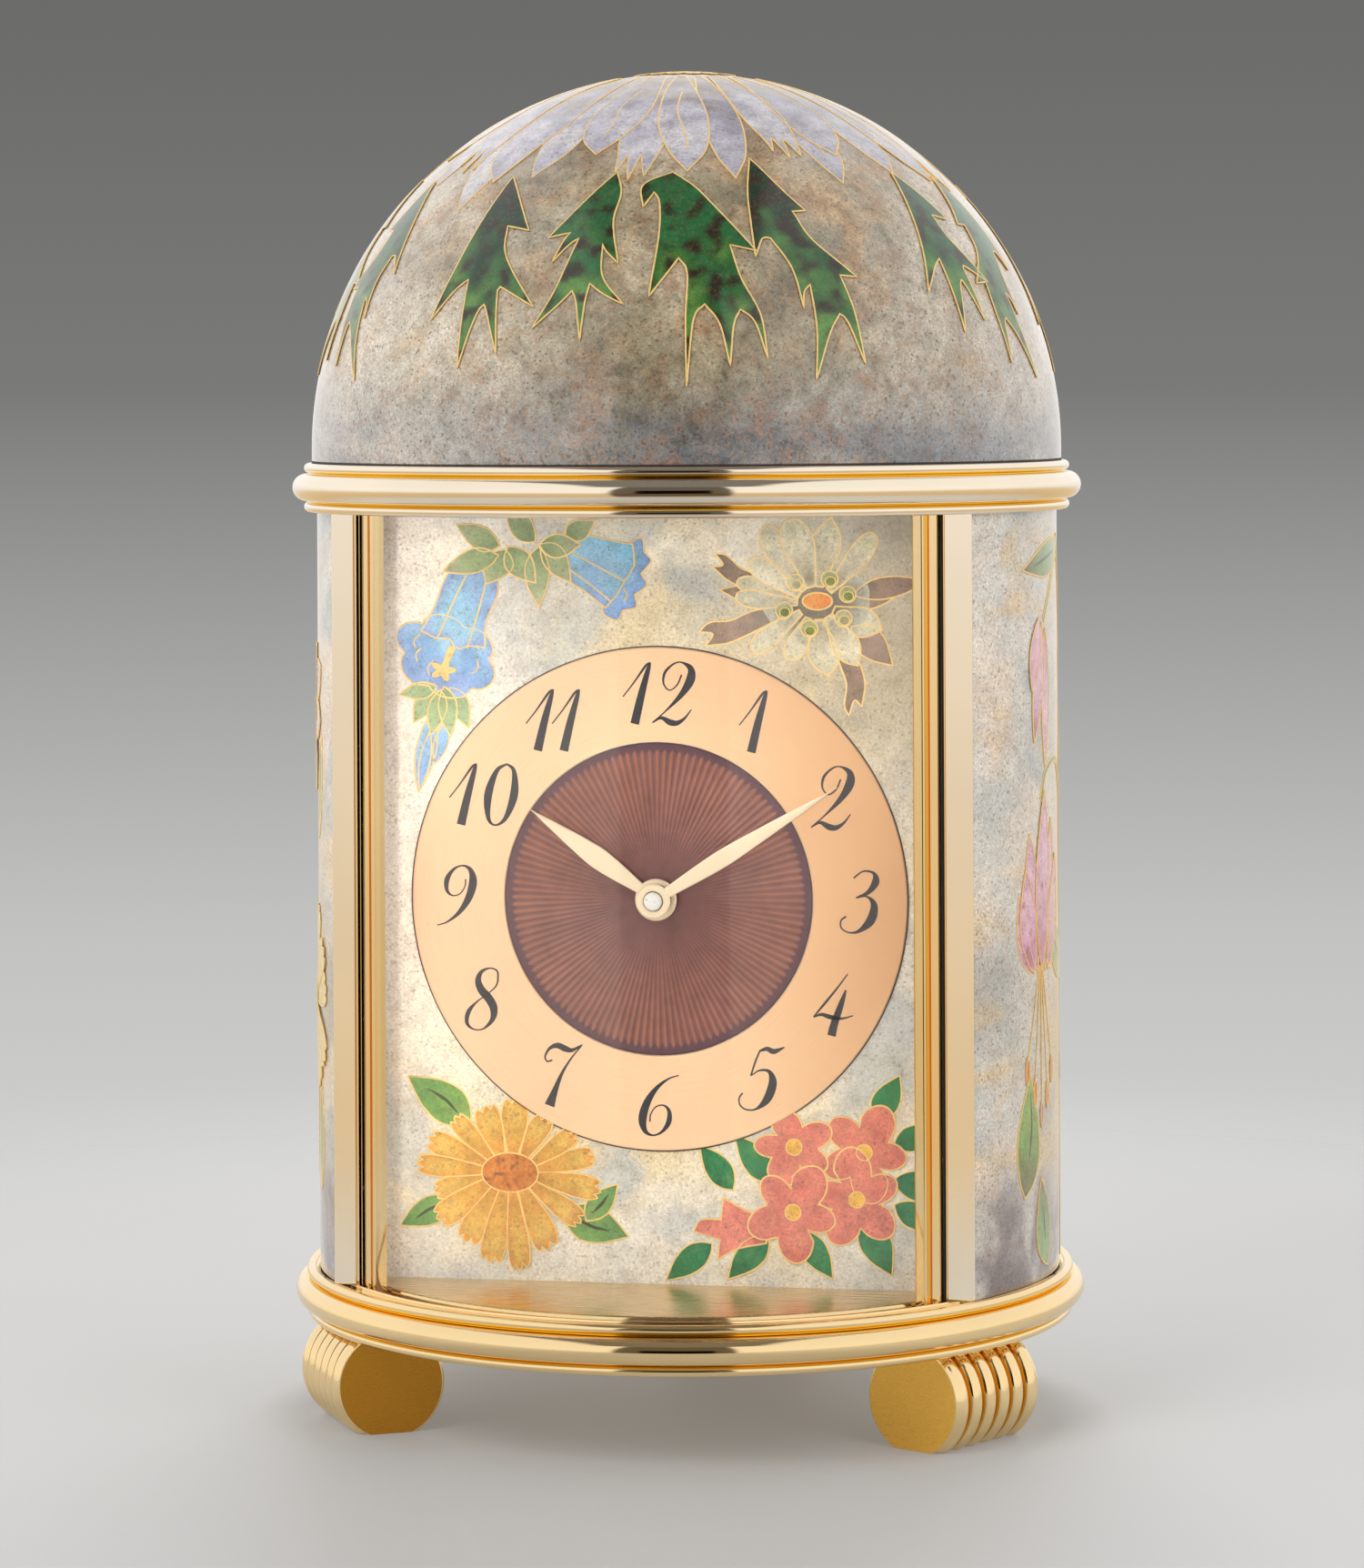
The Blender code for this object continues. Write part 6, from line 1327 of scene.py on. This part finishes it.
def stroke(verts, faces, pts, cx, cz, k=1.0, slant=0.20):
    q = [pts[0]] + pts + [pts[-1]]
    q[0] = tuple(2 * pts[0][j] - pts[1][j] for j in range(3))
    q[-1] = tuple(2 * pts[-1][j] - pts[-2][j] for j in range(3))
    out = []
    for i in range(1, len(q) - 2):
        a, b, c, d = q[i - 1], q[i], q[i + 1], q[i + 2]
        for s in range(9):
            t = s / 9
            out.append([0.5 * (2 * b[j] + (c[j] - a[j]) * t + (2 * a[j] - 5 * b[j] + 4 * c[j] - d[j]) * t * t + (3 * b[j] - a[j] - 3 * c[j] + d[j]) * t ** 3) for j in range(3)])
    out.append(list(pts[-1]))
    P = [(cx + (x + slant * (y - 0.5)) * NUM_H * k, cz + (y - 0.5) * NUM_H * k, max(w, 0.018) * NUM_H * k) for x, y, w in out]
    n = len(P)
    b0 = len(verts)
    yt, yb = YF - 0.05, YF + 0.02
    for i in range(n):
        p, r = P[max(i - 1, 0)], P[min(i + 1, n - 1)]
        tx, tz = r[0] - p[0], r[1] - p[1]
        L = math.hypot(tx, tz) or 1
        nx, nz = -tz / L, tx / L
        # a broad stem is cut square with the line of writing at its foot
        x, z, w = P[i]
        for o, y in ((-0.5, yb), (-0.5, yt), (0.5, yt), (0.5, yb)):
            verts.append(((x + nx * o * w) * MM, y * MM, (z + nz * o * w) * MM))
    for i in range(n - 1):
        a = b0 + 4 * i
        for j in range(4):
            faces.append((a + j, a + (j + 1) % 4, a + 4 + (j + 1) % 4, a + 4 + j))
    faces.append((b0 + 3, b0 + 2, b0 + 1, b0))
    e = b0 + 4 * (n - 1)
    faces.append((e, e + 1, e + 2, e + 3))


nv, nf = [], []
for h in range(1, 13):
    a = math.radians(30 * h)
    rn = 32.35
    cx, cz = rn * math.sin(a), Z_DIAL + rn * math.cos(a)
    t = str(h)
    gaps = {"10": 3.7, "11": 2.9, "12": 3.6}
    for i, ch in enumerate(t):
        off = 0 if len(t) == 1 else (i - 0.5) * gaps[t] * 1.45 + (0.2 if t != "11" else 0.25)
        for s in DIGITS[ch]:
            stroke(nv, nf, s, cx + off, cz)
num = fix_normals(obj_from("numerals", nv, nf, M_INK, False))
take(num, "case")

# engine-turned centre: fine rays cut in relief under brown enamel, a toothed rim round it
RC1 = R0 - 0.10
CB = [math.hypot(v.co.x / MM, v.co.z / MM - Z_DIAL) for v in NODES["dial_centre"].data.vertices]
RC0 = min(CB)
YC = bx("dial_centre")[0].y
YCB = bx("dial_centre")[1].y
rays, seg = 120, 960
rad = [RC0, RC0 + 0.8, RC0 + 2.2, 7.5, 10.0, 12.5, 15.0, 17.5, 20.0, 21.6, 22.4, 22.8, 23.1, 23.4, 23.7, 24.0, 24.3, RC1]
gv, gc, gf = [], [], []
mauve, copper, purple = lin(114, 77, 76), lin(160, 101, 82), lin(90, 65, 76)
for i, r in enumerate(rad):
    for k in range(seg):
        a = 2 * math.pi * k / seg
        wv = 0.5 + 0.5 * math.cos(rays * a)
        amp = 0.075 * min(1.0, (r - RC0) / 12)
        z = YC + 0.09 - amp * wv
        tri = abs(((a * rays / 2 / math.pi) % 1) - 0.5) * 2
        rim = r > 22.75 + 0.85 * tri
        k_ = 0.5 + 0.5 * math.cos(rays * a)
        lobe = 0.55 + 0.45 * n2(math.cos(a) * 2.2, math.sin(a) * 2.2, 1.0, 4.0) + 0.22 * math.sin(a * 14 + 1.3 * math.sin(a * 5))
        c = mixc(mauve, copper, (0.15 + 0.85 * k_ ** 2) * min(1.0, 0.25 + r / 26) * (0.72 + 0.5 * lobe))
        c = mixc(mixc(mauve, purple, 0.25), c, min(1.0, 0.35 + r / 22))
        if rim:
            c = mixc(purple, mauve, 0.25)
            z = YC + 0.05
        if i >= len(rad) - 1:
            c = lin(70, 50, 56)
        gv.append((r * math.sin(a) * MM, z * MM, (Z_DIAL + r * math.cos(a)) * MM))
        gc.append((*c, 1))
nr = len(rad)
for r in (RC1, RC0):
    for k in range(seg):
        a = 2 * math.pi * k / seg
        gv.append((r * math.sin(a) * MM, YCB * MM, (Z_DIAL + r * math.cos(a)) * MM))
        gc.append((0.1, 0.06, 0.05, 1))
for i in range(nr + 2):
    a, b = i * seg, ((i + 1) % (nr + 2)) * seg
    for k in range(seg):
        k2 = (k + 1) % seg
        gf.append((a + k, a + k2, b + k2, b + k))


def guilloche():
    m, nt, b = start("engine_turned_enamel")
    at = node(nt, "ShaderNodeAttribute", attribute_name="cell")
    v = coords(nt)
    mot = noise_tex(nt, v, 300.0, 3.0, 0.6)
    col = mix(nt, 0.6, at.outputs["Color"], ramp(nt, mot, [(0.30, grey(0.75)), (0.5, grey(1.0)), (0.70, grey(1.2))]), "MULTIPLY")
    nt.links.new(col, b.inputs["Base Color"])
    b.inputs["Metallic"].default_value = 0.30
    b.inputs["Roughness"].default_value = 0.42
    b.inputs["Coat Weight"].default_value = 1.0
    b.inputs["Coat Roughness"].default_value = 0.05
    return m


M_GUIL = guilloche()
cen = obj_from("engine_turned_centre", gv, gf, M_GUIL, True, 60)
ca = cen.data.color_attributes.new(name="cell", type="FLOAT_COLOR", domain="POINT")
ca.data.foreach_set("color", np.array(gc, np.float32).ravel())
fix_normals(cen)
take(cen, "case", "dial_centre", slot="brown_enamel")
M_HUBRING = M_HAND


def make_hand(name, cad, body, length, width, widest, hub, deg):
    co = [v.co / MM for v in NODES[cad].data.vertices]
    y0, y1 = min(c.y for c in co), max(c.y for c in co)
    bore = min(math.hypot(c.x, c.z - Z_DIAL) for c in co)
    neck = 0.80
    st = math.sqrt(hub * hub - neck * neck)
    n = 44
    rows = []
    for i in range(n + 1):
        t = i / n
        if t < widest:
            w = neck + (width / 2 - neck) * math.sin(math.pi / 2 * t / widest) ** 1.15
        else:
            f = (t - widest) / (1 - widest)
            w = width / 2 * (1 - f) ** 1.05 * (1 + 0.35 * f)
        rows.append((max(w, 0.10), st - 0.25 + (length - st + 0.25) * t))
    d = math.radians(deg)
    ed = 0.16

    def P(x, l, y):
        return ((x * math.cos(d) + l * math.sin(d)) * MM, y * MM, (Z_DIAL - x * math.sin(d) + l * math.cos(d)) * MM)
    verts, faces = [], []
    for w, l in rows:
        e = min(ed, w * 0.5)
        verts += [P(-w, l, y1), P(-w, l, y0 + 0.17), P(-w + e, l, y0 + 0.08), P(0, l, y0), P(w - e, l, y0 + 0.08), P(w, l, y0 + 0.17), P(w, l, y1)]
    m = 7
    for i in range(n):
        for j in range(m):
            a, b = i * m + j, i * m + (j + 1) % m
            faces.append((a, b, b + m, a + m))
    faces.append(tuple(range(m)))
    faces.append(tuple(n * m + j for j in reversed(range(m))))
    # boss: a flat turned ring with a bevelled rim
    seg_ = 72
    prof = [(bore, y1), (bore, y0 - 0.02), (hub - 0.22, y0 - 0.02), (hub, y0 + 0.16), (hub, y1)]
    b0 = len(verts)
    for r, y in prof:
        verts += [(r * math.sin(2 * math.pi * k / seg_) * MM, y * MM, (Z_DIAL + r * math.cos(2 * math.pi * k / seg_)) * MM) for k in range(seg_)]
    for i in range(5):
        a, b = b0 + i * seg_, b0 + ((i + 1) % 5) * seg_
        for k in range(seg_):
            k2 = (k + 1) % seg_
            faces.append((a + k, a + k2, b + k2, b + k))
    ob = fix_normals(obj_from(name, verts, faces, M_HAND, True, 14))
    take(ob, body, cad, slot="polished_gilt")


make_hand("minute_hand_gold", "minute_hand", "minute", 34.3, 2.75, 0.36, 2.75, 58.2)
make_hand("hour_hand_gold", "hour_hand", "hour", 24.3, 3.35, 0.42, 3.3, 304.85)
cy0, cy1 = bx("hand_cap")[0].y, bx("hand_cap")[1].y
cr = (bx("hand_cap")[1].x - bx("hand_cap")[0].x) / 2
cap = turned_y("hand_pin", [(0.02, cy1), (0.02, cy0 - 0.06), (cr * 0.55, cy0 - 0.06), (cr * 0.78, cy0 - 0.02), (cr * 0.86, cy0 + 0.06), (cr * 0.90, cy0 + 0.16), (cr - 0.06, cy0 + 0.18), (cr, cy0 + 0.26), (cr, cy1)], M_PIN, 64, 30)
take(cap, "minute", "hand_cap", slot="steel")

# ------------------------------------------------------------------ dial plate edge, rear knobs
def paint(nd, mat):
    ob = NODES[nd]
    if not ob.data.materials:
        ob.data.materials.append(mat)
    for s in ob.material_slots:
        s.material = mat


paint("dial_plate", M_DIAL)
MOVE = {
    M_BRASS: ["movement_front_plate", "movement_back_plate", "pillar_1", "pillar_2", "pillar_3", "dial_rail_right", "dial_rail_left", "balance_cock"],
    M_BRASS_W: ["barrel", "barrel_cover", "centre_wheel", "third_wheel", "fourth_wheel", "hour_wheel", "minute_wheel", "cannon_pinion", "balance_wheel"],
    M_MSTEEL: ["barrel_arbor", "ratchet_wheel", "mainspring", "escape_wheel", "pallet_fork", "setting_arbor", "motor_pinion", "winding_motor", "motor_bracket", "door_pin_lower", "door_pin_upper"],
    M_BLUED: ["hairspring", "pillar_screw_1", "pillar_screw_2", "pillar_screw_3"],
    M_BLACK: ["battery_holder", "wire_negative"],
    M_CELL: ["battery"],
    M_REDW: ["wire_positive"],
}
for mat, names in MOVE.items():
    for nn in names:
        paint(nn, mat)


# rear door knob: axis along the radius at its angle
def knob_on_case(name, cad, body):
    co = [v.co / MM for v in NODES[cad].data.vertices]
    ph = sum(math.atan2(c.x, -c.y) % (2 * math.pi) for c in co) / len(co)
    er, et = Vector((math.sin(ph), -math.cos(ph), 0)), Vector((math.cos(ph), math.sin(ph), 0))
    ds = [c.dot(er) for c in co]
    rr = max(math.hypot(c.dot(et), c.z - (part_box(cad)[0].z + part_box(cad)[1].z) / 2 / MM) for c in co)
    zc = (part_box(cad)[0].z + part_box(cad)[1].z) / 2 / MM
    d0, d1 = min(ds), max(ds)
    prof = [(0.0, d0), (0.95, d0), (0.80, d0 + 0.35), (0.80, d0 + 0.7), (1.1, d0 + 0.95), (rr - 0.15, d0 + 1.02), (rr, d0 + 1.2), (rr, d0 + 1.75), (rr - 0.2, d0 + 2.0), (rr * 0.6, d1 - 0.12), (rr * 0.25, d1), (0.0, d1)]
    seg_ = 72
    verts, faces, rings = [], [], []
    for r, d in prof:
        if r == 0:
            rings.append([len(verts)])
            verts.append((er * d + Vector((0, 0, zc))) * MM)
        else:
            rings.append(list(range(len(verts), len(verts) + seg_)))
            for k in range(seg_):
                a = 2 * math.pi * k / seg_
                q = r * (1 + (0.035 if d0 + 1.0 < d < d0 + 1.9 else 0) * math.cos(24 * a))
                verts.append((er * d + et * q * math.cos(a) + Vector((0, 0, zc + q * math.sin(a)))) * MM)
    for a, b in zip(rings, rings[1:]):
        for k in range(seg_):
            k2 = (k + 1) % seg_
            if len(a) == 1:
                faces.append((a[0], b[k], b[k2]))
            elif len(b) == 1:
                faces.append((a[k], a[k2], b[0]))
            else:
                faces.append((a[k], a[k2], b[k2], b[k]))
    ob = fix_normals(obj_from(name, verts, faces, M_GOLD, True, 30))
    take(ob, body, cad, slot="polished_gilt")


knob_on_case("rear_door_knob_gold", "rear_door_knob", "door")
co = [v.co / MM for v in NODES["setting_knob"].data.vertices]
kx = (min(c.x for c in co) + max(c.x for c in co)) / 2
kz = (min(c.z for c in co) + max(c.z for c in co)) / 2
ky0, ky1 = min(c.y for c in co), max(c.y for c in co)
kr = (max(c.x for c in co) - min(c.x for c in co)) / 2
kb = min(math.hypot(c.x - kx, c.z - kz) for c in co)
seg_ = 144
prof = [(max(kb, 0.05), ky0), (kr * 0.72, ky0), (kr - 0.25, ky0 + 0.3), (kr, ky0 + 0.7), (kr, ky1 - 0.6), (kr - 0.3, ky1 - 0.15), (kr * 0.6, ky1), (max(kb, 0.05), ky1)]
verts, faces = [], []
for r, y in prof:
    for k in range(seg_):
        a = 2 * math.pi * k / seg_
        q = r * (1 - (0.045 if r > kr - 0.1 else 0) * (0.5 + 0.5 * math.cos(36 * a)))
        verts.append(((kx + q * math.cos(a)) * MM, y * MM, (kz + q * math.sin(a)) * MM))
for i in range(len(prof)):
    a, b = i * seg_, ((i + 1) % len(prof)) * seg_
    for k in range(seg_):
        k2 = (k + 1) % seg_
        faces.append((a + k, a + k2, b + k2, b + k))
ob = fix_normals(obj_from("setting_knob_brass", verts, faces, M_BRASS_W, True, 30))
take(ob, "setting", "setting_knob", slot="brass")

# ------------------------------------------------------------------ studio: world, floor, lights
CAM_A = math.radians(10.3)
world = bpy.data.worlds.new("studio")
bpy.context.scene.world = world
world.use_nodes = True
nt = world.node_tree
nt.nodes.clear()
wo = nt.nodes.new("ShaderNodeOutputWorld")
tc = nt.nodes.new("ShaderNodeTexCoord")
nv_ = node(nt, "ShaderNodeVectorMath", {0: tc.outputs["Generated"]}, operation="NORMALIZE").outputs[0]
sp = node(nt, "ShaderNodeSeparateXYZ", {"Vector": nv_})


def dot_with(v):
    return node(nt, "ShaderNodeVectorMath", {0: nv_, 1: v}, operation="DOT_PRODUCT").outputs["Value"]


front = dot_with((math.sin(CAM_A), -math.cos(CAM_A), 0))
side_ = dot_with((math.cos(CAM_A), math.sin(CAM_A), 0))
az = math_(nt, "ARCTAN2", side_, front)           # radians, positive to the camera's right
el = math_(nt, "ARCSINE", sp.outputs["Z"])


def window(x, lo, hi, soft):
    a = node(nt, "ShaderNodeMapRange", {"Value": x, "From Min": lo - soft, "From Max": lo + soft}, interpolation_type="SMOOTHSTEP").outputs[0]
    b = node(nt, "ShaderNodeMapRange", {"Value": x, "From Min": hi - soft, "From Max": hi + soft}, interpolation_type="SMOOTHSTEP").outputs[0]
    return math_(nt, "SUBTRACT", a, b, clamp=True)


D = math.radians
tent = ramp(nt, node(nt, "ShaderNodeMapRange", {"Value": sp.outputs["Z"], "From Min": -1.0, "From Max": 1.0}).outputs[0],
            [(0.0, (0.62, 0.60, 0.57, 1)), (0.45, (0.80, 0.78, 0.75, 1)), (0.55, (0.98, 0.97, 0.95, 1)), (1.0, (0.92, 0.91, 0.90, 1))])
gap = math_(nt, "MULTIPLY", window(az, D(-22), D(13), D(1.2)), window(el, D(-47), D(50), D(1.5)))
slit = math_(nt, "MULTIPLY", window(az, D(-14.5), D(7), D(0.6)), window(el, D(-8), D(17), D(0.8)))
# a dim strip over the top keeps the dome's colours clear
over = math_(nt, "MULTIPLY", window(side_, -0.38, 0.30, 0.05), window(math_(nt, "MULTIPLY", sp.outputs["Z"], 1.0), 0.72, 1.2, 0.03))
light = mix(nt, gap, tent, (0.13, 0.11, 0.09, 1))
light = mix(nt, slit, light, (0.004, 0.004, 0.004, 1))
light = mix(nt, over, light, (0.20, 0.19, 0.18, 1))
bg = ramp(nt, node(nt, "ShaderNodeMapRange", {"Value": el, "From Min": D(-14), "From Max": D(6)}).outputs[0],
          [(0.0, (*lin(212, 212, 210), 1)), (0.30, (*lin(204, 204, 203), 1)), (0.40, (*lin(194, 194, 193), 1)), (0.52, (*lin(170, 170, 169), 1)), (0.70, (*lin(122, 122, 121), 1)), (0.90, (*lin(108, 108, 107), 1)), (1.0, (*lin(106, 106, 105), 1))])
lp = nt.nodes.new("ShaderNodeLightPath")
warm = ramp(nt, node(nt, "ShaderNodeMapRange", {"Value": sp.outputs["Z"], "From Min": -1.0, "From Max": 1.0}).outputs[0],
            [(0.0, (0.80, 0.52, 0.20, 1)), (0.42, (0.96, 0.78, 0.52, 1)), (0.49, (1.06, 1.05, 1.05, 1)), (1.0, (1.05, 1.05, 1.06, 1))])
lpg = nt.nodes.new("ShaderNodeLightPath")
light = mix(nt, lpg.outputs["Is Glossy Ray"], light, mix(nt, 1.0, light, warm, "MULTIPLY"))
b1 = node(nt, "ShaderNodeBackground", {"Color": light, "Strength": 1.0})
b2 = node(nt, "ShaderNodeBackground", {"Color": bg, "Strength": 1.0})
ms = node(nt, "ShaderNodeMixShader", {0: lp.outputs["Is Camera Ray"], 1: b1.outputs[0], 2: b2.outputs[0]})
nt.links.new(ms.outputs[0], wo.inputs["Surface"])

# floor: a matt pale sheet that fades into the backdrop's tone, with a faint glow of its own, a painted light that lifts
# its shadows
mf = bpy.data.materials.new("floor_sheet")
mf.use_nodes = True
nt = mf.node_tree
pb = nt.nodes["Principled BSDF"]
f = noise_tex(nt, coords(nt), 9.0, 2.0)
nt.links.new(ramp(nt, f, [(0.3, (0.385, 0.385, 0.383, 1)), (0.7, (0.400, 0.400, 0.398, 1))]), pb.inputs["Base Color"])
pb.inputs["Roughness"].default_value = 0.55
# painted light: a faint glow that lifts the floor's shadows
pb.inputs["Emission Color"].default_value = (1.0, 1.0, 0.99, 1)
pb.inputs["Emission Strength"].default_value = 0.14
pb.inputs["Specular IOR Level"].default_value = 0.25
g = nt.nodes.new("ShaderNodeTexCoord")
ln_ = node(nt, "ShaderNodeVectorMath", {0: g.outputs["Object"]}, operation="LENGTH").outputs["Value"]
al = node(nt, "ShaderNodeMapRange", {"Value": ln_, "From Min": 0.16, "From Max": 0.42, "To Min": 1.0, "To Max": 0.0}, interpolation_type="SMOOTHSTEP").outputs[0]
nt.links.new(al, pb.inputs["Alpha"])
fv, ff = [(0, 0, -0.00002)], []
NR, NS = 14, 96
for i in range(1, NR + 1):
    for k in range(NS):
        a = 2 * math.pi * k / NS
        fv.append((0.46 * i / NR * math.cos(a), 0.46 * i / NR * math.sin(a), -0.00002))
for k in range(NS):
    ff.append((0, 1 + k, 1 + (k + 1) % NS))
for i in range(NR - 1):
    for k in range(NS):
        a = 1 + i * NS
        ff.append((a + k, a + NS + k, a + NS + (k + 1) % NS, a + (k + 1) % NS))
floor = obj_from("floor_sheet", fv, ff, mf, True)
floor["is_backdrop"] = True


def area(name, loc, target, size, power, color=(1, 1, 1)):
    ld = bpy.data.lights.new(name, "AREA")
    ld.shape = "RECTANGLE"
    ld.size, ld.size_y = size
    ld.energy = power
    ld.color = color
    ob = bpy.data.objects.new(name, ld)
    ob.location = loc
    ob.rotation_euler = (Vector(target) - Vector(loc)).to_track_quat("-Z", "Y").to_euler()
    ob.visible_camera = False
    ob.visible_glossy = False
    bpy.context.scene.collection.objects.link(ob)
    return ob


area("key_soft", (-0.45, -0.75, 0.75), (0, 0, 0.1), (0.5, 0.5), 4.0, (1.0, 0.98, 0.95))
area("back_soft", (-0.05, 0.85, 1.15), (0, 0, 0.0), (0.55, 0.55), 11.0, (1.0, 1.0, 1.0))


def beam(name, x, z, w, h, power, spread, aim=None):
    """A gridded softbox straight in front of the dial."""
    ob = area(name, (x, -0.21, z), (x if aim is None else aim, -0.0266, z), (w, h), power, (1.0, 0.985, 0.96))
    ob.data.spread = math.radians(spread)


beam("dial_soft", -0.001, 0.082, 0.100, 0.118, 0.0215, 12)
beam("dial_soft_top", -0.004, 0.122, 0.090, 0.046, 0.0088, 16)
beam("dial_soft_left", 0.012, 0.084, 0.022, 0.118, 0.0040, 10, -0.0400)
area("fill_soft", (0.75, -0.55, 0.45), (0, 0, 0.1), (0.5, 0.6), 2.0, (0.96, 0.98, 1.0))

# ------------------------------------------------------------------ camera
cam_d = bpy.data.cameras.new("camera")
cam = bpy.data.objects.new("camera", cam_d)
bpy.context.scene.collection.objects.link(cam)
bpy.context.scene.camera = cam
cam_d.sensor_fit = "AUTO"
cam_d.sensor_width = 36.0
cam_d.lens = 116.3
CAM_LOC = (0.1472, -0.8101, 0.1638)
cam.location = CAM_LOC
cam.rotation_mode = "XYZ"
cam.rotation_euler = (math.radians(90), math.radians(0.26), math.radians(10.3))
cam_d.clip_start = 0.01
cam_d.clip_end = 20.0
SHIFT = (-0.0026, -0.252)


def shift_driver(attr, value):
    """The view camera's rise and fall: it holds only where the camera stands now, and is zero for a camera placed elsewhere."""
    d = cam_d.driver_add(attr).driver
    d.type = "SCRIPTED"
    for nm, tt in (("x", "LOC_X"), ("y", "LOC_Y"), ("z", "LOC_Z")):
        v = d.variables.new()
        v.name = nm
        v.type = "TRANSFORMS"
        v.targets[0].id = cam
        v.targets[0].transform_type = tt
        v.targets[0].transform_space = "WORLD_SPACE"
    d.expression = "%r if abs(x-%r)+abs(y-%r)+abs(z-%r) < 0.002 else 0.0" % (value, CAM_LOC[0], CAM_LOC[1], CAM_LOC[2])


shift_driver("shift_x", SHIFT[0])
shift_driver("shift_y", SHIFT[1])
cam_d.shift_x, cam_d.shift_y = SHIFT

sc = bpy.context.scene
sc.view_settings.view_transform = "Standard"
sc.view_settings.look = "None"
sc.view_settings.exposure = 0.0
sc.view_settings.gamma = 1.0

bpy.context.view_layer.update()
VIS_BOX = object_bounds()


def plain(b):
    return [[float(c) for c in v] for v in b] if hasattr(b[0], "__len__") else [float(c) for c in b]


{"cad_box": plain(CAD_BOX), "visual_box": plain(VIS_BOX)}
